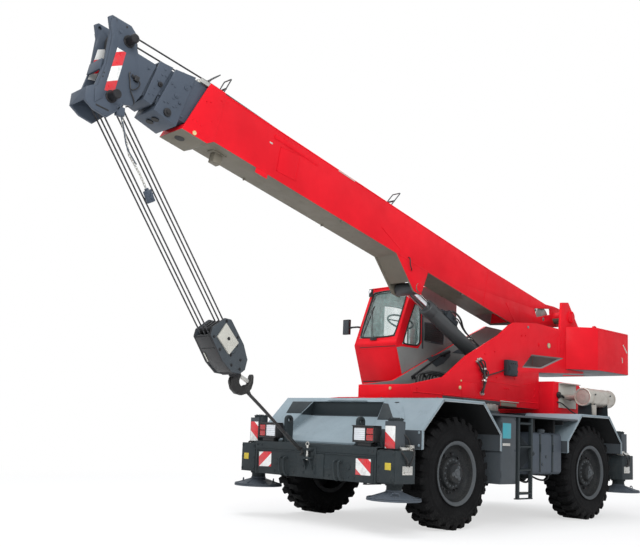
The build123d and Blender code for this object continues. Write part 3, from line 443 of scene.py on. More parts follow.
def bolt(radius=0.014, height=0.01, washer=True):
    """Hexagon bolt head on its washer, standing on the XY plane."""
    parts = []
    if washer:
        parts.append(bar(ORIGIN, (0, 0, height * 0.25), radius * 1.45, 14, radius * 0.08))
    parts.append(bar((0, 0, height * 0.2), (0, 0, height), radius, 6, radius * 0.12))
    return merged(*parts)


def bolts(places, facing, radius=0.014, height=0.01, washer=True):
    """Bolt heads at the places, pointing along facing."""
    turn = Vector(facing).to_track_quat("Z", "Y").to_matrix().to_4x4()
    return repeated(bolt(radius, height, washer), [Matrix.Translation(p) @ turn for p in places])


def bolt_circle(centre, axis, radius, count, size=0.014, height=0.012, start=0.0):
    """Bolt heads round a circle that faces along axis."""
    axis = Vector(axis).normalized()
    side = axis.orthogonal().normalized()
    other = axis.cross(side)
    places = []
    for i in range(count):
        turn = start + 2 * math.pi * i / count
        places.append(Vector(centre) + radius * (math.cos(turn) * side + math.sin(turn) * other))
    return bolts(places, axis, size, height)


def skin(node, bevel=0.004, segments=2):
    """Copy of a CAD node with its edges rounded, ready for more shaping."""
    source = frame["nodes"][node]
    obj = source.copy()
    obj.data = source.data.copy()
    bpy.context.collection.objects.link(obj)
    obj.parent = None
    obj.matrix_world = Matrix.Identity(4)
    obj.data.materials.clear()
    pick(obj)
    bpy.ops.object.mode_set(mode="EDIT")
    bpy.ops.mesh.select_all(action="SELECT")
    bpy.ops.mesh.remove_doubles(threshold=2e-5)
    bpy.ops.mesh.dissolve_limited(angle_limit=math.radians(0.6))
    bpy.ops.object.mode_set(mode="OBJECT")
    if bevel:
        soften(obj, bevel, segments)
    return obj


def finish(obj, name, body, material, slot, replaces=(), smooth=35, matrix=None):
    """Name a piece, smooth it, give it its material, and let it ride on its body, if it has one."""
    if matrix is not None:
        settle(obj, matrix)
    obj.name = name
    obj.data.name = name
    if material is not None:
        obj.data.materials.clear()
        obj.data.materials.append(material)
    pick(obj)
    bpy.ops.object.shade_smooth_by_angle(angle=math.radians(smooth))
    if body:
        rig.ride(obj, body)
    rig.slot(obj, slot)
    if replaces:
        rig.replaces(obj, *replaces)
    return obj


def dress(node, material, bevel=0.004, segments=2, repaint=()):
    """Replace a CAD node by its rounded copy; repaint holds (material, test of a face) pairs."""
    obj = skin(node, bevel, segments)
    obj.data.materials.append(material)
    for index, (other, test) in enumerate(repaint, 1):
        obj.data.materials.append(other)
        for face in obj.data.polygons:
            if test(face.center, face.normal):
                face.material_index = index
    return finish(obj, f"{node}_finish", BODY_OF[node], None, SLOTS[node], (node,))


# ------------------------------------------------------------------ shader maths
class Value:
    """One socket of a material, with arithmetic that adds its Math nodes."""

    def __init__(self, book, socket):
        self.book = book
        self.socket = socket

    def __add__(self, other):
        return self.book.math("ADD", self, other)

    def __sub__(self, other):
        return self.book.math("SUBTRACT", self, other)

    def __rsub__(self, other):
        return self.book.math("SUBTRACT", other, self)

    def __mul__(self, other):
        return self.book.math("MULTIPLY", self, other)

    def __truediv__(self, other):
        return self.book.math("DIVIDE", self, other)

    __radd__ = __add__
    __rmul__ = __mul__


def put(tree, socket, value):
    """Link a value to a socket, or write it on the socket."""
    if isinstance(value, Value):
        value = value.socket
    if isinstance(value, bpy.types.NodeSocket):
        tree.links.new(value, socket)
    elif hasattr(socket.default_value, "__len__") and hasattr(value, "__len__"):
        value = tuple(value)
        socket.default_value = value if len(value) == len(socket.default_value) else (*value, 1)
    else:
        socket.default_value = value


def add_node(tree, kind, sockets=None, **settings):
    """Add a node with its settings, then the values or links of its sockets."""
    new = tree.nodes.new(kind)
    for key, value in settings.items():
        setattr(new, key, value)
    for key, value in (sockets or {}).items():
        put(tree, new.inputs[key], value)
    return new


class Finish:
    """Node tree of one material, ending in a Principled shader."""

    def __init__(self, name, **constants):
        self.material = bpy.data.materials.new(name)
        self.material.use_nodes = True
        self.tree = self.material.node_tree
        self.tree.nodes.clear()
        self.shader = self.node("ShaderNodeBsdfPrincipled")
        self.node("ShaderNodeOutputMaterial", {"Surface": self.shader.outputs[0]})
        for key, value in constants.items():
            self.shader.inputs[key.replace("_", " ")].default_value = value
        self.place = Value(self, self.node("ShaderNodeTexCoord").outputs["Object"])

    def node(self, kind, sockets=None, **settings):
        return add_node(self.tree, kind, sockets, **settings)

    def put(self, socket, value):
        put(self.tree, socket, value)

    def math(self, operation, a, b=0.0):
        node = self.node("ShaderNodeMath", {0: a, 1: b}, operation=operation)
        return Value(self, node.outputs[0])

    def span(self, value, a, b, c, d):
        """The value's range a..b turned into c..d, held at its ends."""
        node = self.node("ShaderNodeMapRange", {
            "Value": value, "From Min": a, "From Max": b, "To Min": c, "To Max": d}, clamp=True)
        return Value(self, node.outputs[0])

    def mapped(self, place=None, move=ORIGIN, turn=ORIGIN, scale=(1, 1, 1)):
        """Coordinates moved, turned in degrees and stretched."""
        node = self.node("ShaderNodeMapping", {
            "Vector": place or self.place, "Location": move,
            "Rotation": [math.radians(v) for v in turn], "Scale": scale})
        return Value(self, node.outputs[0])

    def parts(self, place):
        """X, Y and Z of a vector."""
        node = self.node("ShaderNodeSeparateXYZ", {0: place})
        return [Value(self, out) for out in node.outputs]

    def noise(self, scale, detail=3, place=None, rough=0.55):
        node = self.node("ShaderNodeTexNoise", {
            "Vector": place or self.place, "Scale": scale, "Detail": detail, "Roughness": rough})
        return Value(self, node.outputs["Fac"])

    def cells(self, scale):
        node = self.node("ShaderNodeTexVoronoi", {"Vector": self.place, "Scale": scale}, feature="F1")
        return Value(self, node.outputs["Distance"])

    def mix(self, mask, a, b):
        """Colour a where the mask is 0 and b where it is 1."""
        node = self.node("ShaderNodeMix", {0: mask, 6: a, 7: b}, data_type="RGBA")
        return Value(self, node.outputs[2])

    def finish(self, colour=None, roughness=None, height=None, depth=0.001, strength=0.5, **sockets):
        """Feed the shader's sockets and the bump."""
        if colour is not None:
            self.put(self.shader.inputs["Base Color"], colour)
        if roughness is not None:
            self.put(self.shader.inputs["Roughness"], roughness)
        for key, value in sockets.items():
            self.put(self.shader.inputs[key.replace("_", " ")], value)
        if height is not None:
            bump = self.node("ShaderNodeBump", {"Strength": strength, "Distance": depth, "Height": height})
            self.put(self.shader.inputs["Normal"], bump.outputs[0])
        return self.material


DUST = (0.21, 0.2, 0.18)
GRIME = (0.035, 0.032, 0.03)


def paint(name, colour, rough=0.32, dust=0.25, grime=0.35, low=1.2, coat=0.25, shine=0.16):
    """Machine paint with faded patches, rain streaks, road dust near the ground and an orange peel."""
    f = Finish(name, Coat_Roughness=0.12, Specular_IOR_Level=shine)
    broad = f.noise(0.9, 4)
    blotch = f.noise(5.5, 5, rough=0.62)
    streak = f.noise(1.0, 6, f.mapped(scale=(13, 13, 0.9)), 0.66)
    speck = f.noise(70, 4)
    height = f.parts(f.place)[2]
    faded = [min(1, c * 1.12 + 0.002) for c in colour]
    deep = [c * 0.88 for c in colour]
    base = f.mix(f.span(broad, 0.35, 0.68, 0, 1), deep, faded)
    base = f.mix(f.span(blotch, 0.4, 0.62, 0, 1) * 0.22, base, [c * 0.9 for c in colour])
    dirty = f.span(streak, 0.55, 0.74, 0, 1) * f.span(blotch, 0.35, 0.6, 0.2, 1)
    base = f.mix(dirty * (grime * 0.42), base, GRIME)
    near = f.span(height, low * 0.35, low * 1.5, 1, 0.12)
    dusty = near * f.span(speck, 0.42, 0.62, 0.25, 1) * f.span(blotch, 0.42, 0.62, 0.4, 1)
    base = f.mix(dusty * dust, base, DUST)
    roughness = f.span(blotch, 0.3, 0.7, rough - 0.05, rough + 0.1) + dusty * 0.35 + dirty * 0.12
    peel = f.noise(260, 2)
    return f.finish(base, roughness, peel * 0.35 + speck * 0.5, 0.0004, 0.35,
                    Coat_Weight=f.span(dusty + dirty, 0, 0.5, coat, coat * 0.2))


def rubber(name):
    """Tyre rubber, greyed by dust that holds in its pits."""
    f = Finish(name, Specular_IOR_Level=0.12)
    height = f.parts(f.place)[2]
    pits = f.noise(38, 6, rough=0.7)
    fine = f.noise(210, 3)
    patch = f.noise(3.2, 4)
    base = f.mix(f.span(patch, 0.35, 0.65, 0, 1), (0.0022, 0.0022, 0.0025), (0.0055, 0.0055, 0.006))
    dust = f.span(pits, 0.5, 0.72, 0, 1) * f.span(patch, 0.35, 0.65, 0.15, 1)
    base = f.mix(dust * 0.1, base, (0.085, 0.082, 0.078))
    mud = f.span(height, 0.0, 0.28, 1, 0) * f.span(pits, 0.42, 0.6, 0, 1)
    base = f.mix(mud * 0.15, base, (0.1, 0.095, 0.085))
    return f.finish(base, f.span(fine, 0.3, 0.7, 0.62, 0.86), pits * 0.6 + fine * 0.4, 0.0015, 0.5)


def steel(name, colour, rough=0.35, metal=0.9, stain=(0.12, 0.08, 0.05), stains=0.3, grain=(1, 1, 1)):
    """Bare or plated metal with heat or rust stains and a fine grain."""
    f = Finish(name)
    brushed = f.noise(90, 4, f.mapped(scale=grain))
    patch = f.noise(6.5, 6, rough=0.68)
    marks = f.span(patch, 0.5, 0.7, 0, 1)
    base = f.mix(
        f.span(brushed, 0.3, 0.7, 0, 1), [c * 0.82 for c in colour], [min(1, c * 1.12) for c in colour])
    base = f.mix(marks * stains, base, stain)
    return f.finish(base, f.span(brushed, 0.3, 0.7, rough - 0.07, rough + 0.1) + marks * 0.2,
                    brushed, 0.0003, 0.3, Metallic=f.span(marks, 0, 1, metal, metal * (1 - stains * 0.6)))


def iron(name, colour, rough=0.55, bump=0.001, metal=0.35, dust=0.25):
    """Cast or forged part with a grainy black coat and pale rub marks."""
    f = Finish(name)
    grain = f.noise(120, 5, rough=0.65)
    patch = f.noise(7, 5)
    base = f.mix(f.span(patch, 0.35, 0.68, 0, 1), [c * 0.7 for c in colour], [c * 1.35 for c in colour])
    worn = f.span(grain, 0.58, 0.72, 0, 1) * f.span(patch, 0.45, 0.62, 0, 1)
    base = f.mix(worn * dust, base, (0.24, 0.23, 0.21))
    return f.finish(
        base, f.span(grain, 0.3, 0.7, rough - 0.1, rough + 0.14), grain, bump, 0.45, Metallic=metal)


def plastic(name, colour, rough=0.45, grain=420):
    """Moulded plastic with a fine leather-like grain and faint dust."""
    f = Finish(name)
    texture = f.cells(grain)
    patch = f.noise(14, 4)
    base = f.mix(
        f.span(patch, 0.35, 0.65, 0, 1), [c * 0.8 for c in colour], [c * 1.25 + 0.004 for c in colour])
    return f.finish(base, f.span(patch, 0.3, 0.7, rough - 0.06, rough + 0.12), texture, 0.0004, 0.35)


def glazing(name, colour, alpha):
    """Tinted safety glass with dusty smears."""
    f = Finish(name, Roughness=0.03, IOR=1.5)
    smear = f.noise(3.5, 5, f.mapped(scale=(1, 1, 0.4)))
    fine = f.noise(60, 3)
    film = f.span(smear, 0.42, 0.68, 0, 1) * f.span(fine, 0.35, 0.65, 0.4, 1)
    base = f.mix(film * 0.35, colour, (0.62, 0.68, 0.66))
    return f.finish(base, f.span(film, 0, 1, 0.02, 0.16), None,
                    Alpha=f.span(film, 0, 1, alpha, min(1, alpha + 0.16)))


REFLECTIVE_WHITE = (0.8, 0.8, 0.78)
REFLECTIVE_RED = (0.62, 0.012, 0.02)


def stripes(name, axis_turn, width, shift=0.0):
    """Slanting red and white bands of reflective sheeting, with a fine bead pattern and dirt."""
    f = Finish(name, Coat_Weight=0.5, Coat_Roughness=0.15)
    along = f.parts(f.mapped(turn=axis_turn))[0]
    phase = f.math("FRACT", (along + shift) / width)
    band = f.span(phase, 0.49, 0.51, 0, 1) * (1 - f.span(phase, 0.985, 1.0, 0, 1))
    beads = f.cells(900)
    dirt = f.noise(18, 6, rough=0.7)
    base = f.mix(band, REFLECTIVE_WHITE, REFLECTIVE_RED)
    base = f.mix(f.span(dirt, 0.5, 0.72, 0, 1) * 0.4, base, (0.16, 0.15, 0.14))
    return f.finish(base, f.span(dirt, 0.3, 0.7, 0.22, 0.42), beads, 0.0003, 0.25)


def lens(name, colour, pitch=0.011):
    """Moulded lamp lens with prism ribs over a bright reflector."""
    f = Finish(name, Roughness=0.12, Coat_Weight=0.8, Coat_Roughness=0.04)
    x, _, z = f.parts(f.place)
    ribs = f.math("PINGPONG", x, pitch / 2) * (2 / pitch) + f.math("PINGPONG", z, pitch) * (0.6 / pitch)
    dirt = f.noise(22, 4)
    base = f.mix(f.span(ribs, 0.2, 1.4, 0, 1), [c * 0.55 for c in colour], [min(1, c * 1.25) for c in colour])
    base = f.mix(f.span(dirt, 0.55, 0.75, 0, 1) * 0.25, base, (0.2, 0.19, 0.17))
    return f.finish(base, None, ribs, 0.002, 0.6)


def wire(name, colour=(0.045, 0.045, 0.048)):
    """Wire rope, dark with grease."""
    f = Finish(name, Specular_IOR_Level=0.6)
    grease = f.noise(24, 4)
    fine = f.noise(500, 2)
    base = f.mix(f.span(grease, 0.35, 0.65, 0, 1), [c * 0.6 for c in colour], [c * 2.1 for c in colour])
    return f.finish(base, f.span(grease, 0.3, 0.7, 0.35, 0.6), fine, 0.0006, 0.5, Metallic=0.6)


def woven(name, colour, scale=420):
    """Seat cloth: two crossing threads with a little fuzz."""
    f = Finish(name, Sheen_Weight=0.35, Sheen_Roughness=0.5)
    x, y, z = f.parts(f.place)
    one = f.math("SINE", (x + z * 0.2) * scale * 3)
    two = f.math("SINE", (y + z) * scale * 3)
    thread = one * two
    fuzz = f.noise(160, 4)
    base = f.mix(f.span(thread, -0.6, 0.6, 0, 1), [c * 0.65 for c in colour], [c * 1.4 for c in colour])
    base = f.mix(f.span(fuzz, 0.5, 0.7, 0, 1) * 0.2, base, [c * 2.4 for c in colour])
    return f.finish(base, f.span(fuzz, 0.3, 0.7, 0.8, 0.95), thread + fuzz, 0.0008, 0.45)


# ------------------------------------------------------------------ finishes
FINISHES = {}


def make_finishes(look):
    """Build every material once from the chosen colours."""
    red = tuple(look.red)
    FINISHES.update(
        red=paint("red_machine_paint", red, 0.42, 0.05, 0.12, 1.0, 0.04, 0.1),
        grey=paint("carrier_grey_paint", tuple(look.carrier), 0.44, 0.16, 0.4, 1.25, 0.05),
        slate=paint("slate_boom_paint", tuple(look.slate), 0.4, 0.1, 0.4, 0.6, 0.15),
        slate_box=paint("cabinet_slate_paint", (0.03, 0.036, 0.042), 0.45, 0.1, 0.3, 0.6, 0.05),
        trim=plastic("cab_inner_trim", (0.62, 0.74, 0.72), 0.5),
        gold=paint("gold_blank_label", (0.55, 0.42, 0.05), 0.4, 0.1, 0.2, 0.5, 0.1),
        slate_grey=paint("locker_grey_paint", (0.054, 0.064, 0.073), 0.44, 0.12, 0.45, 1.0, 0.05),
        jack=paint("jack_grey_paint", (0.06, 0.075, 0.095), 0.45, 0.22, 0.5, 1.0, 0.05),
        dark=paint("dark_frame_paint", tuple(look.dark), 0.5, 0.16, 0.35, 1.0, 0.03),
        under=paint("shaded_underside_paint", (0.01, 0.011, 0.012), 0.6, 0.1, 0.35, 1.0, 0.03),
        olive=paint("primer_underside", (0.165, 0.15, 0.118), 0.55, 0.1, 0.5, 0.5, 0.05),
        # shade: flat grey that stands in for shade, painted on faces that lie in shade
        shade=paint("cab_side_grey", (0.2, 0.205, 0.2), 0.5, 0.15, 0.4, 1.0, 0.05),
        # Rim paint: a dark grey, made darker still as painted shade for the rim's dish.
        rim=paint("wheel_grey_paint", (0.009, 0.011, 0.013), 0.48, 0.16, 0.45, 1.3, 0.04),
        # Lighter grey for the fenders' rolled edges: a painted highlight where the edges catch the light.
        roll=paint("fender_edge_paint", (0.3, 0.34, 0.36), 0.42, 0.12, 0.3, 1.25, 0.05),
        hub=paint("hub_grey_paint", (0.06, 0.068, 0.075), 0.45, 0.22, 0.5, 1.3, 0.04),
        tyre=rubber("tyre_rubber"),
        black=plastic("black_moulding", (0.013, 0.013, 0.014), 0.42),
        seal=plastic("rubber_seal", (0.01, 0.01, 0.01), 0.62, 700),
        hose=plastic("hydraulic_hose", (0.012, 0.012, 0.012), 0.5, 900),
        silver=steel("muffler_steel", (0.5, 0.47, 0.42), 0.42, 0.55, (0.2, 0.13, 0.08), 0.45, (1, 6, 1)),
        bright=steel("plated_fittings", (0.62, 0.61, 0.57), 0.3, 0.9, (0.18, 0.12, 0.07), 0.25),
        machined=steel("machined_ring", (0.36, 0.35, 0.32), 0.38, 0.8, (0.1, 0.07, 0.05), 0.5, (1, 1, 7)),
        chrome=steel("chromed_rod", (0.82, 0.83, 0.85), 0.1, 1.0, (0.35, 0.34, 0.32), 0.12, (9, 1, 1)),
        iron=iron("black_cast_iron", (0.018, 0.018, 0.02)),
        forged=iron("forged_hook", (0.03, 0.029, 0.028), 0.5, 0.0014, 0.5, 0.35),
        barrel=paint("cylinder_grey_paint", (0.055, 0.058, 0.06), 0.35, 0.1, 0.5, 0.8, 0.2),
        rope=wire("wire_rope"),
        glass=glazing("tinted_glass", tuple(look.glass), 0.1),
        mirror=steel("mirror_glass", (0.75, 0.77, 0.8), 0.04, 1.0, (0.4, 0.4, 0.4), 0.1),
        seat=woven("seat_cloth", (0.03, 0.031, 0.036)),
        cream=plastic("cream_reflector", (0.62, 0.5, 0.24), 0.3, 700),
        clear=lens("clear_lens", (0.72, 0.75, 0.78)),
        red_lens=lens("red_lens", (0.42, 0.012, 0.012)),
        amber=lens("amber_lens", (0.75, 0.2, 0.012)),
        pale=paint("pale_blank_plate", (0.5, 0.49, 0.44), 0.4, 0.1, 0.5, 0.5, 0.1),
        teal=paint("teal_blank_label", (0.05, 0.3, 0.36), 0.35, 0.1, 0.2, 0.5, 0.2),
        stripe_left=stripes("hazard_stripes_left", (0, 128, 0), 0.2, 0.05),
        stripe_right=stripes("hazard_stripes_right", (0, 52, 0), 0.2, 0.03),
        stripe_post=stripes("hazard_stripes_post", (0, 52, 0), 0.26, 0.04),
        stripe_head=stripes("hazard_stripes_head", (68, 0, 90), 0.27, 0.02),
    )


def done(obj, name, body, look, slot, **more):
    """Finish a piece with a material by its short name."""
    return finish(obj, name, body, FINISHES[look], slot, **more)


class CRANE_OT_finishes(bpy.types.Operator):
    """Make the paints, metals, rubber, glass and cloth"""
    bl_idname = "crane.finishes"
    bl_label = "Finishes"

    def execute(self, context):
        make_finishes(context.scene.crane_look)
        return {"FINISHED"}


# ------------------------------------------------------------------ wheels
WHEEL_X, AXLE_Y, HUB_Z = 1.02, 1.55, 0.65
HUB = (WHEEL_X, -AXLE_Y, HUB_Z)
CORNERS = {
    "front_left": Matrix.Identity(4), "front_right": MIRROR,
    "rear_left": TO_REAR, "rear_right": MIRROR @ TO_REAR,
}
LUG_FOOT, LUG_TOP = 0.612, 0.6492
TYRE_SECTION = [
    (0.181, 0.346), (0.1835, 0.376), (0.172, 0.384), (0.176, 0.395), (0.1862, 0.43), (0.1872, 0.47),
    (0.186, 0.5), (0.1874, 0.506), (0.1872, 0.518), (0.1845, 0.524), (0.18, 0.552), (0.176, 0.572),
    (0.166, 0.59), (0.145, 0.606), (0.105, 0.616), (0.05, 0.621),
]
RIM_SECTION = [
    (0.045, 0.0), (0.045, 0.0605), (-0.13, 0.0605), (-0.13, 0.15), (0.055, 0.15), (0.055, 0.325),
    (-0.1935, 0.325), (-0.1935, 0.372), (-0.1815, 0.372), (-0.1815, 0.3447), (0.15, 0.3447), (0.1795, 0.35),
    (0.1815, 0.372), (0.1895, 0.3725), (0.1935, 0.368), (0.1935, 0.36), (0.188, 0.345), (0.172, 0.33),
    (0.14, 0.322), (0.105, 0.312), (0.088, 0.292), (0.078, 0.262), (0.074, 0.235), (0.075, 0.205),
    (0.078, 0.187), (0.082, 0.185), (0.122, 0.185), (0.128, 0.181), (0.13, 0.174), (0.13, 0.126),
    (0.134, 0.121), (0.17, 0.119), (0.183, 0.112), (0.19, 0.098), (0.19, 0.0),
]


def tyre_at(centre, lugs):
    """Tyre carcass with slanting tread lugs that run over its shoulders."""
    section = TYRE_SECTION + [(-x, r) for x, r in reversed(TYRE_SECTION)]
    parts = [ring(section, centre, "X", 72)]
    pitch = 2 * math.pi / lugs
    centre_step = Matrix.Translation(centre)
    for side, start in ((1, 0.0), (-1, 0.5)):
        crown = plate([(side * x, y, LUG_FOOT) for x, y in ((-0.012, -0.04), (0.085, -0.034), (0.135, -0.05),
                (0.162, -0.05), (0.162, 0.026), (0.128, 0.03), (0.08, 0.044), (-0.004, 0.034))],
            (0, 0, LUG_TOP - LUG_FOOT), 0.007)
        shoulder = plate(
            [(side * x, -0.05, z) for x, z in ((0.15, 0.64), (0.167, 0.632), (0.1835, 0.56), (0.184, 0.548),
                (0.165, 0.56), (0.15, 0.59))],
            (0, 0.076, 0), 0.005)
        lug = merged(crown, shoulder)
        places = [centre_step @ Matrix.Rotation((i + start) * pitch, 4, "X") for i in range(lugs)]
        parts.append(repeated(lug, places))
    return merged(*parts)


class CRANE_OT_tyres(bpy.types.Operator):
    """Build the four tyres with tread lugs"""
    bl_idname = "crane.tyres"
    bl_label = "Tyres"

    def execute(self, context):
        first = tyre_at(HUB, context.scene.crane_sizes.lug_count)
        for corner, matrix in CORNERS.items():
            done(copy_of(first, matrix), f"tyre_tread_{corner}", f"wheel_{corner}", "tyre", "tyre_rubber",
                 replaces=(f"tyre_{corner}",), smooth=40)
        bpy.data.objects.remove(first)
        return {"FINISHED"}


class CRANE_OT_rims(bpy.types.Operator):
    """Build the dished rims, their nuts, the hub covers and a ring of painted highlight over each rim flange"""
    bl_idname = "crane.rims"
    bl_label = "Rims"

    def execute(self, context):
        x, y, z = HUB
        bead = ring(
            [(0.196, 0.366), (0.1935, 0.371), (0.19, 0.366), (0.1935, 0.361)], (x - 0.001, y, z), "X", 64)
        rim = merged(lathe(RIM_SECTION, HUB, "X", 64), bead)
        nuts = bolt_circle((x + 0.0745, y, z), LEFT, 0.222, 10, 0.0165, 0.024)
        axle, back = Matrix.Translation((0, y, z)), Matrix.Translation((0, -y, -z))
        studs = repeated(bar((x + 0.09, y, z + 0.222), (x + 0.112, y, z + 0.222), 0.0085, 12, 0.002),
                         [axle @ Matrix.Rotation(i * math.pi / 5, 4, "X") @ back for i in range(10)])
        flange = bolt_circle((x + 0.129, y, z), LEFT, 0.153, 16, 0.0095, 0.011)
        cap = bolt_circle((x + 0.189, y, z), LEFT, 0.072, 3, 0.017, 0.01, 0.4)
        plug = bar((x + 0.186, y, z), (x + 0.199, y, z), 0.026, 20, 0.004)
        cover = lathe(
            [(0.188, 0.0), (0.188, 0.052), (0.1925, 0.056), (0.1935, 0.048), (0.1905, 0.04), (0.1905, 0.0)],
            HUB, "X", 40)
        # Painted highlight: a thin ring over the rim's flange in the lighter hub grey.
        flange_rim = ring([
            (0.189, 0.3735), (0.195, 0.369), (0.195, 0.359), (0.1895, 0.344), (0.174, 0.329),
            (0.172, 0.33), (0.187, 0.345), (0.192, 0.36), (0.192, 0.368)], HUB, "X", 72)
        hub = merged(flange, cap, plug, cover)
        valve = tube([(x + 0.16, y + 0.1, z + 0.3), (x + 0.135, y + 0.098, z + 0.285),
                      (x + 0.15, y + 0.09, z + 0.265), (x + 0.172, y + 0.088, z + 0.262)], 0.0055, 8)
        fittings = merged(nuts, studs, valve)
        for corner, matrix in CORNERS.items():
            body = f"wheel_{corner}"
            done(copy_of(rim, matrix), f"rim_dish_{corner}", body, "rim", "rim_paint",
                replaces=(f"rim_{corner}",))
            done(copy_of(fittings, matrix), f"wheel_nuts_{corner}", body, "iron", "rim_paint")
            done(copy_of(hub, matrix), f"hub_cover_{corner}", body, "hub", "rim_paint")
            done(copy_of(flange_rim, matrix), f"rim_flange_{corner}", body, "hub", "rim_paint")
        for obj in (rim, fittings, hub, flange_rim):
            bpy.data.objects.remove(obj)
        return {"FINISHED"}


# ------------------------------------------------------------------ plain bodies
def underside():
    """Test for the faces of the boom that look down."""
    down = (BOOM.to_3x3() @ Vector((0, 0, -1))).normalized()

    def test(centre, normal):
        return normal.dot(down) > 0.35

    return test


def toward_wheel(centre, normal):
    """Whether a face of a fender looks at its wheel."""
    return normal.dot(
        Vector((0, math.copysign(AXLE_Y, centre.y) - centre.y, HUB_Z - centre.z)).normalized()) > 0.3


WALL = 0.06


def within(node):
    """Test for the faces that lie deeper than the wall of a node."""
    corners = {tuple(round(v, 3) for v in vertex.co) for vertex in frame["nodes"][node].data.vertices}
    corners = [Vector(corner) for corner in corners]

    def test(centre, normal):
        return normal.dot(centre) < max(normal.dot(corner) for corner in corners) - WALL

    return test


def on_lift_lug(centre, normal):
    """Whether a face of the boom's base is on the lug of the lift cylinder, and not on its outside."""
    return (BOOM.inverted() @ centre).z < -0.53 and (centre.x * normal.x < 0 or abs(normal.x) < 0.3)


def inside_foot(centre, normal):
    """Whether a face of the boom's base looks inward between the plates of its foot."""
    return centre.x * normal.x < 0 and abs(normal.x) > 0.9 and (BOOM.inverted() @ centre).y > -1.3


class CRANE_OT_bodies(bpy.types.Operator):
    """Round the edges of the frame's own parts and paint them"""
    bl_idname = "crane.bodies"
    bl_label = "Bodies"

    def execute(self, context):
        look = FINISHES
        edge = context.scene.crane_sizes.edge
        down = underside()
        for node in ("chassis_frame", "front_axle", "rear_axle", "front_outrigger_box", "rear_outrigger_box"):
            dress(node, look["dark"], edge)
        dress("front_hood", look["grey"], edge)
        dress("fenders", look["grey"], edge, repaint=(
            (look["under"], toward_wheel),
            (look["slate_grey"], lambda c, n: abs(n.y) > 0.95 and c.z < 1.15)))
        dress("deck_plates", look["slate_grey"], edge,
            repaint=((look["under"], lambda c, n: n.z < -0.5 or c.z < 1.34),))
        for node in ("fuel_tank", "hydraulic_tank"):
            dress(node, look["jack"], edge, repaint=((look["under"], lambda c, n: c.z > 1.172),))
        dress("storage_boxes", look["slate_grey"], edge)
        dress("ladders", look["dark"], 0.002)
        for node, name, bevel in (
            ("slew_ring", "machined", 0.002), ("engine_block", "iron", 0.01), ("engine_hood", "red", edge)):
            dress(node, look[name], bevel)
        for corner in CORNERS:
            dress(f"knuckle_{corner}", look["iron"], 0.003)
            dress(f"outrigger_beam_{corner}", look["dark"], edge)
            dress(f"jack_{corner}", look["jack"], edge, repaint=((look["bright"], lambda c, n: c.z > 0.47),))
        # Painted shade: the inner faces of the mast plates, and the floor and rear wall between them, take the shade
        # grey.
        dress("turntable_frame", look["red"], edge, repaint=(
            (look["machined"], lambda c, n: c.z < 1.53 and n.z < -0.5),
            (look["shade"], lambda c, n: abs(c.x) < 0.6 and c.x * n.x < 0 and abs(n.x) > 0.9),
            (look["shade"], lambda c, n: abs(c.x) < 0.41 and n.z > 0.9 and c.z < 1.7),
            (look["shade"], lambda c, n: abs(c.x) < 0.405 and c.y > 1.2 and c.z < 2.75 and n.y < -0.3),
            (look["shade"], lambda c, n: abs(c.x) < 0.405 and c.y > 1.2 and c.z < 2.4 and n.z > 0.3)))
        # Painted shade: the counterweight's front face between the mast plates takes the shade grey.
        dress("counterweight", look["red"], 0.012, 3, repaint=(
            (look["slate_grey"], lambda c, n: n.z < -0.7),
            (look["shade"], lambda c, n: n.y < -0.95)))
        dress("cab_shell", look["red"], 0.008, 2, repaint=((look["trim"], within("cab_shell")),))
        dress("cab_door", look["red"], 0.008, 3, repaint=((look["trim"], lambda c, n: n.x > -0.3),))
        # Painted shade: the inner faces of the boom's foot plates take the shade grey.
        dress("boom_base", look["red"], 0.003,
              repaint=((look["olive"], down), (look["olive"], on_lift_lug), (look["shade"], inside_foot)))
        for node in ("boom_section_2", "boom_section_3", "boom_section_4", "boom_head"):
            dress(node, look["slate"], 0.003)
        for node, name, bevel, segments in (("muffler", "silver", 0.004, 2), ("cab_glass", "glass", 0.001, 1),
            ("door_glass", "glass", 0.001, 1), ("winch_drum", "machined", 0.002, 2),
            ("lift_barrel", "barrel", 0.003, 2)):
            dress(node, look[name], bevel, segments)
        dress("lift_rod", look["chrome"], 0.002,
            repaint=((look["barrel"], lambda c, n: (c - CYLINDER_EYE).length < 0.2),))
        return {"FINISHED"}


# ------------------------------------------------------------------ boom
def on_boom(x, s, h):
    """Point of the boom: across it, along it from the pivot, and up from the pivot's line."""
    return Vector((x, -s, h))


def boom_plate(points, x0, x1, bevel=0.002):
    """Plate beside the boom with an outline of (s, h) points."""
    return plate([on_boom(x0, s, h) for s, h in points], (x1 - x0, 0, 0), bevel)


def boom_box(x0, x1, s0, s1, h0, h1, bevel=0.003):
    """Block on the boom."""
    return box((x0, -s1, h0), (x1, -s0, h1), bevel)


def side_bolts(x, places, radius=0.01, height=0.008):
    """Bolt heads on both sides of the boom at (s, h) places."""
    return both_sides(bolts([on_boom(x, s, h) for s, h in places], LEFT, radius, height))


def side_bosses(x, places, radius, height):
    """Round covers on both sides of the boom, each with a smaller plug on it."""
    parts = []
    for s, h in places:
        parts.append(bar(on_boom(x - 0.002, s, h), on_boom(x + height, s, h), radius, 32, height * 0.3))
        parts.append(bar(on_boom(x, s, h), on_boom(x + height * 1.5, s, h), radius * 0.45, 6, 0.001))
    return both_sides(merged(*parts))


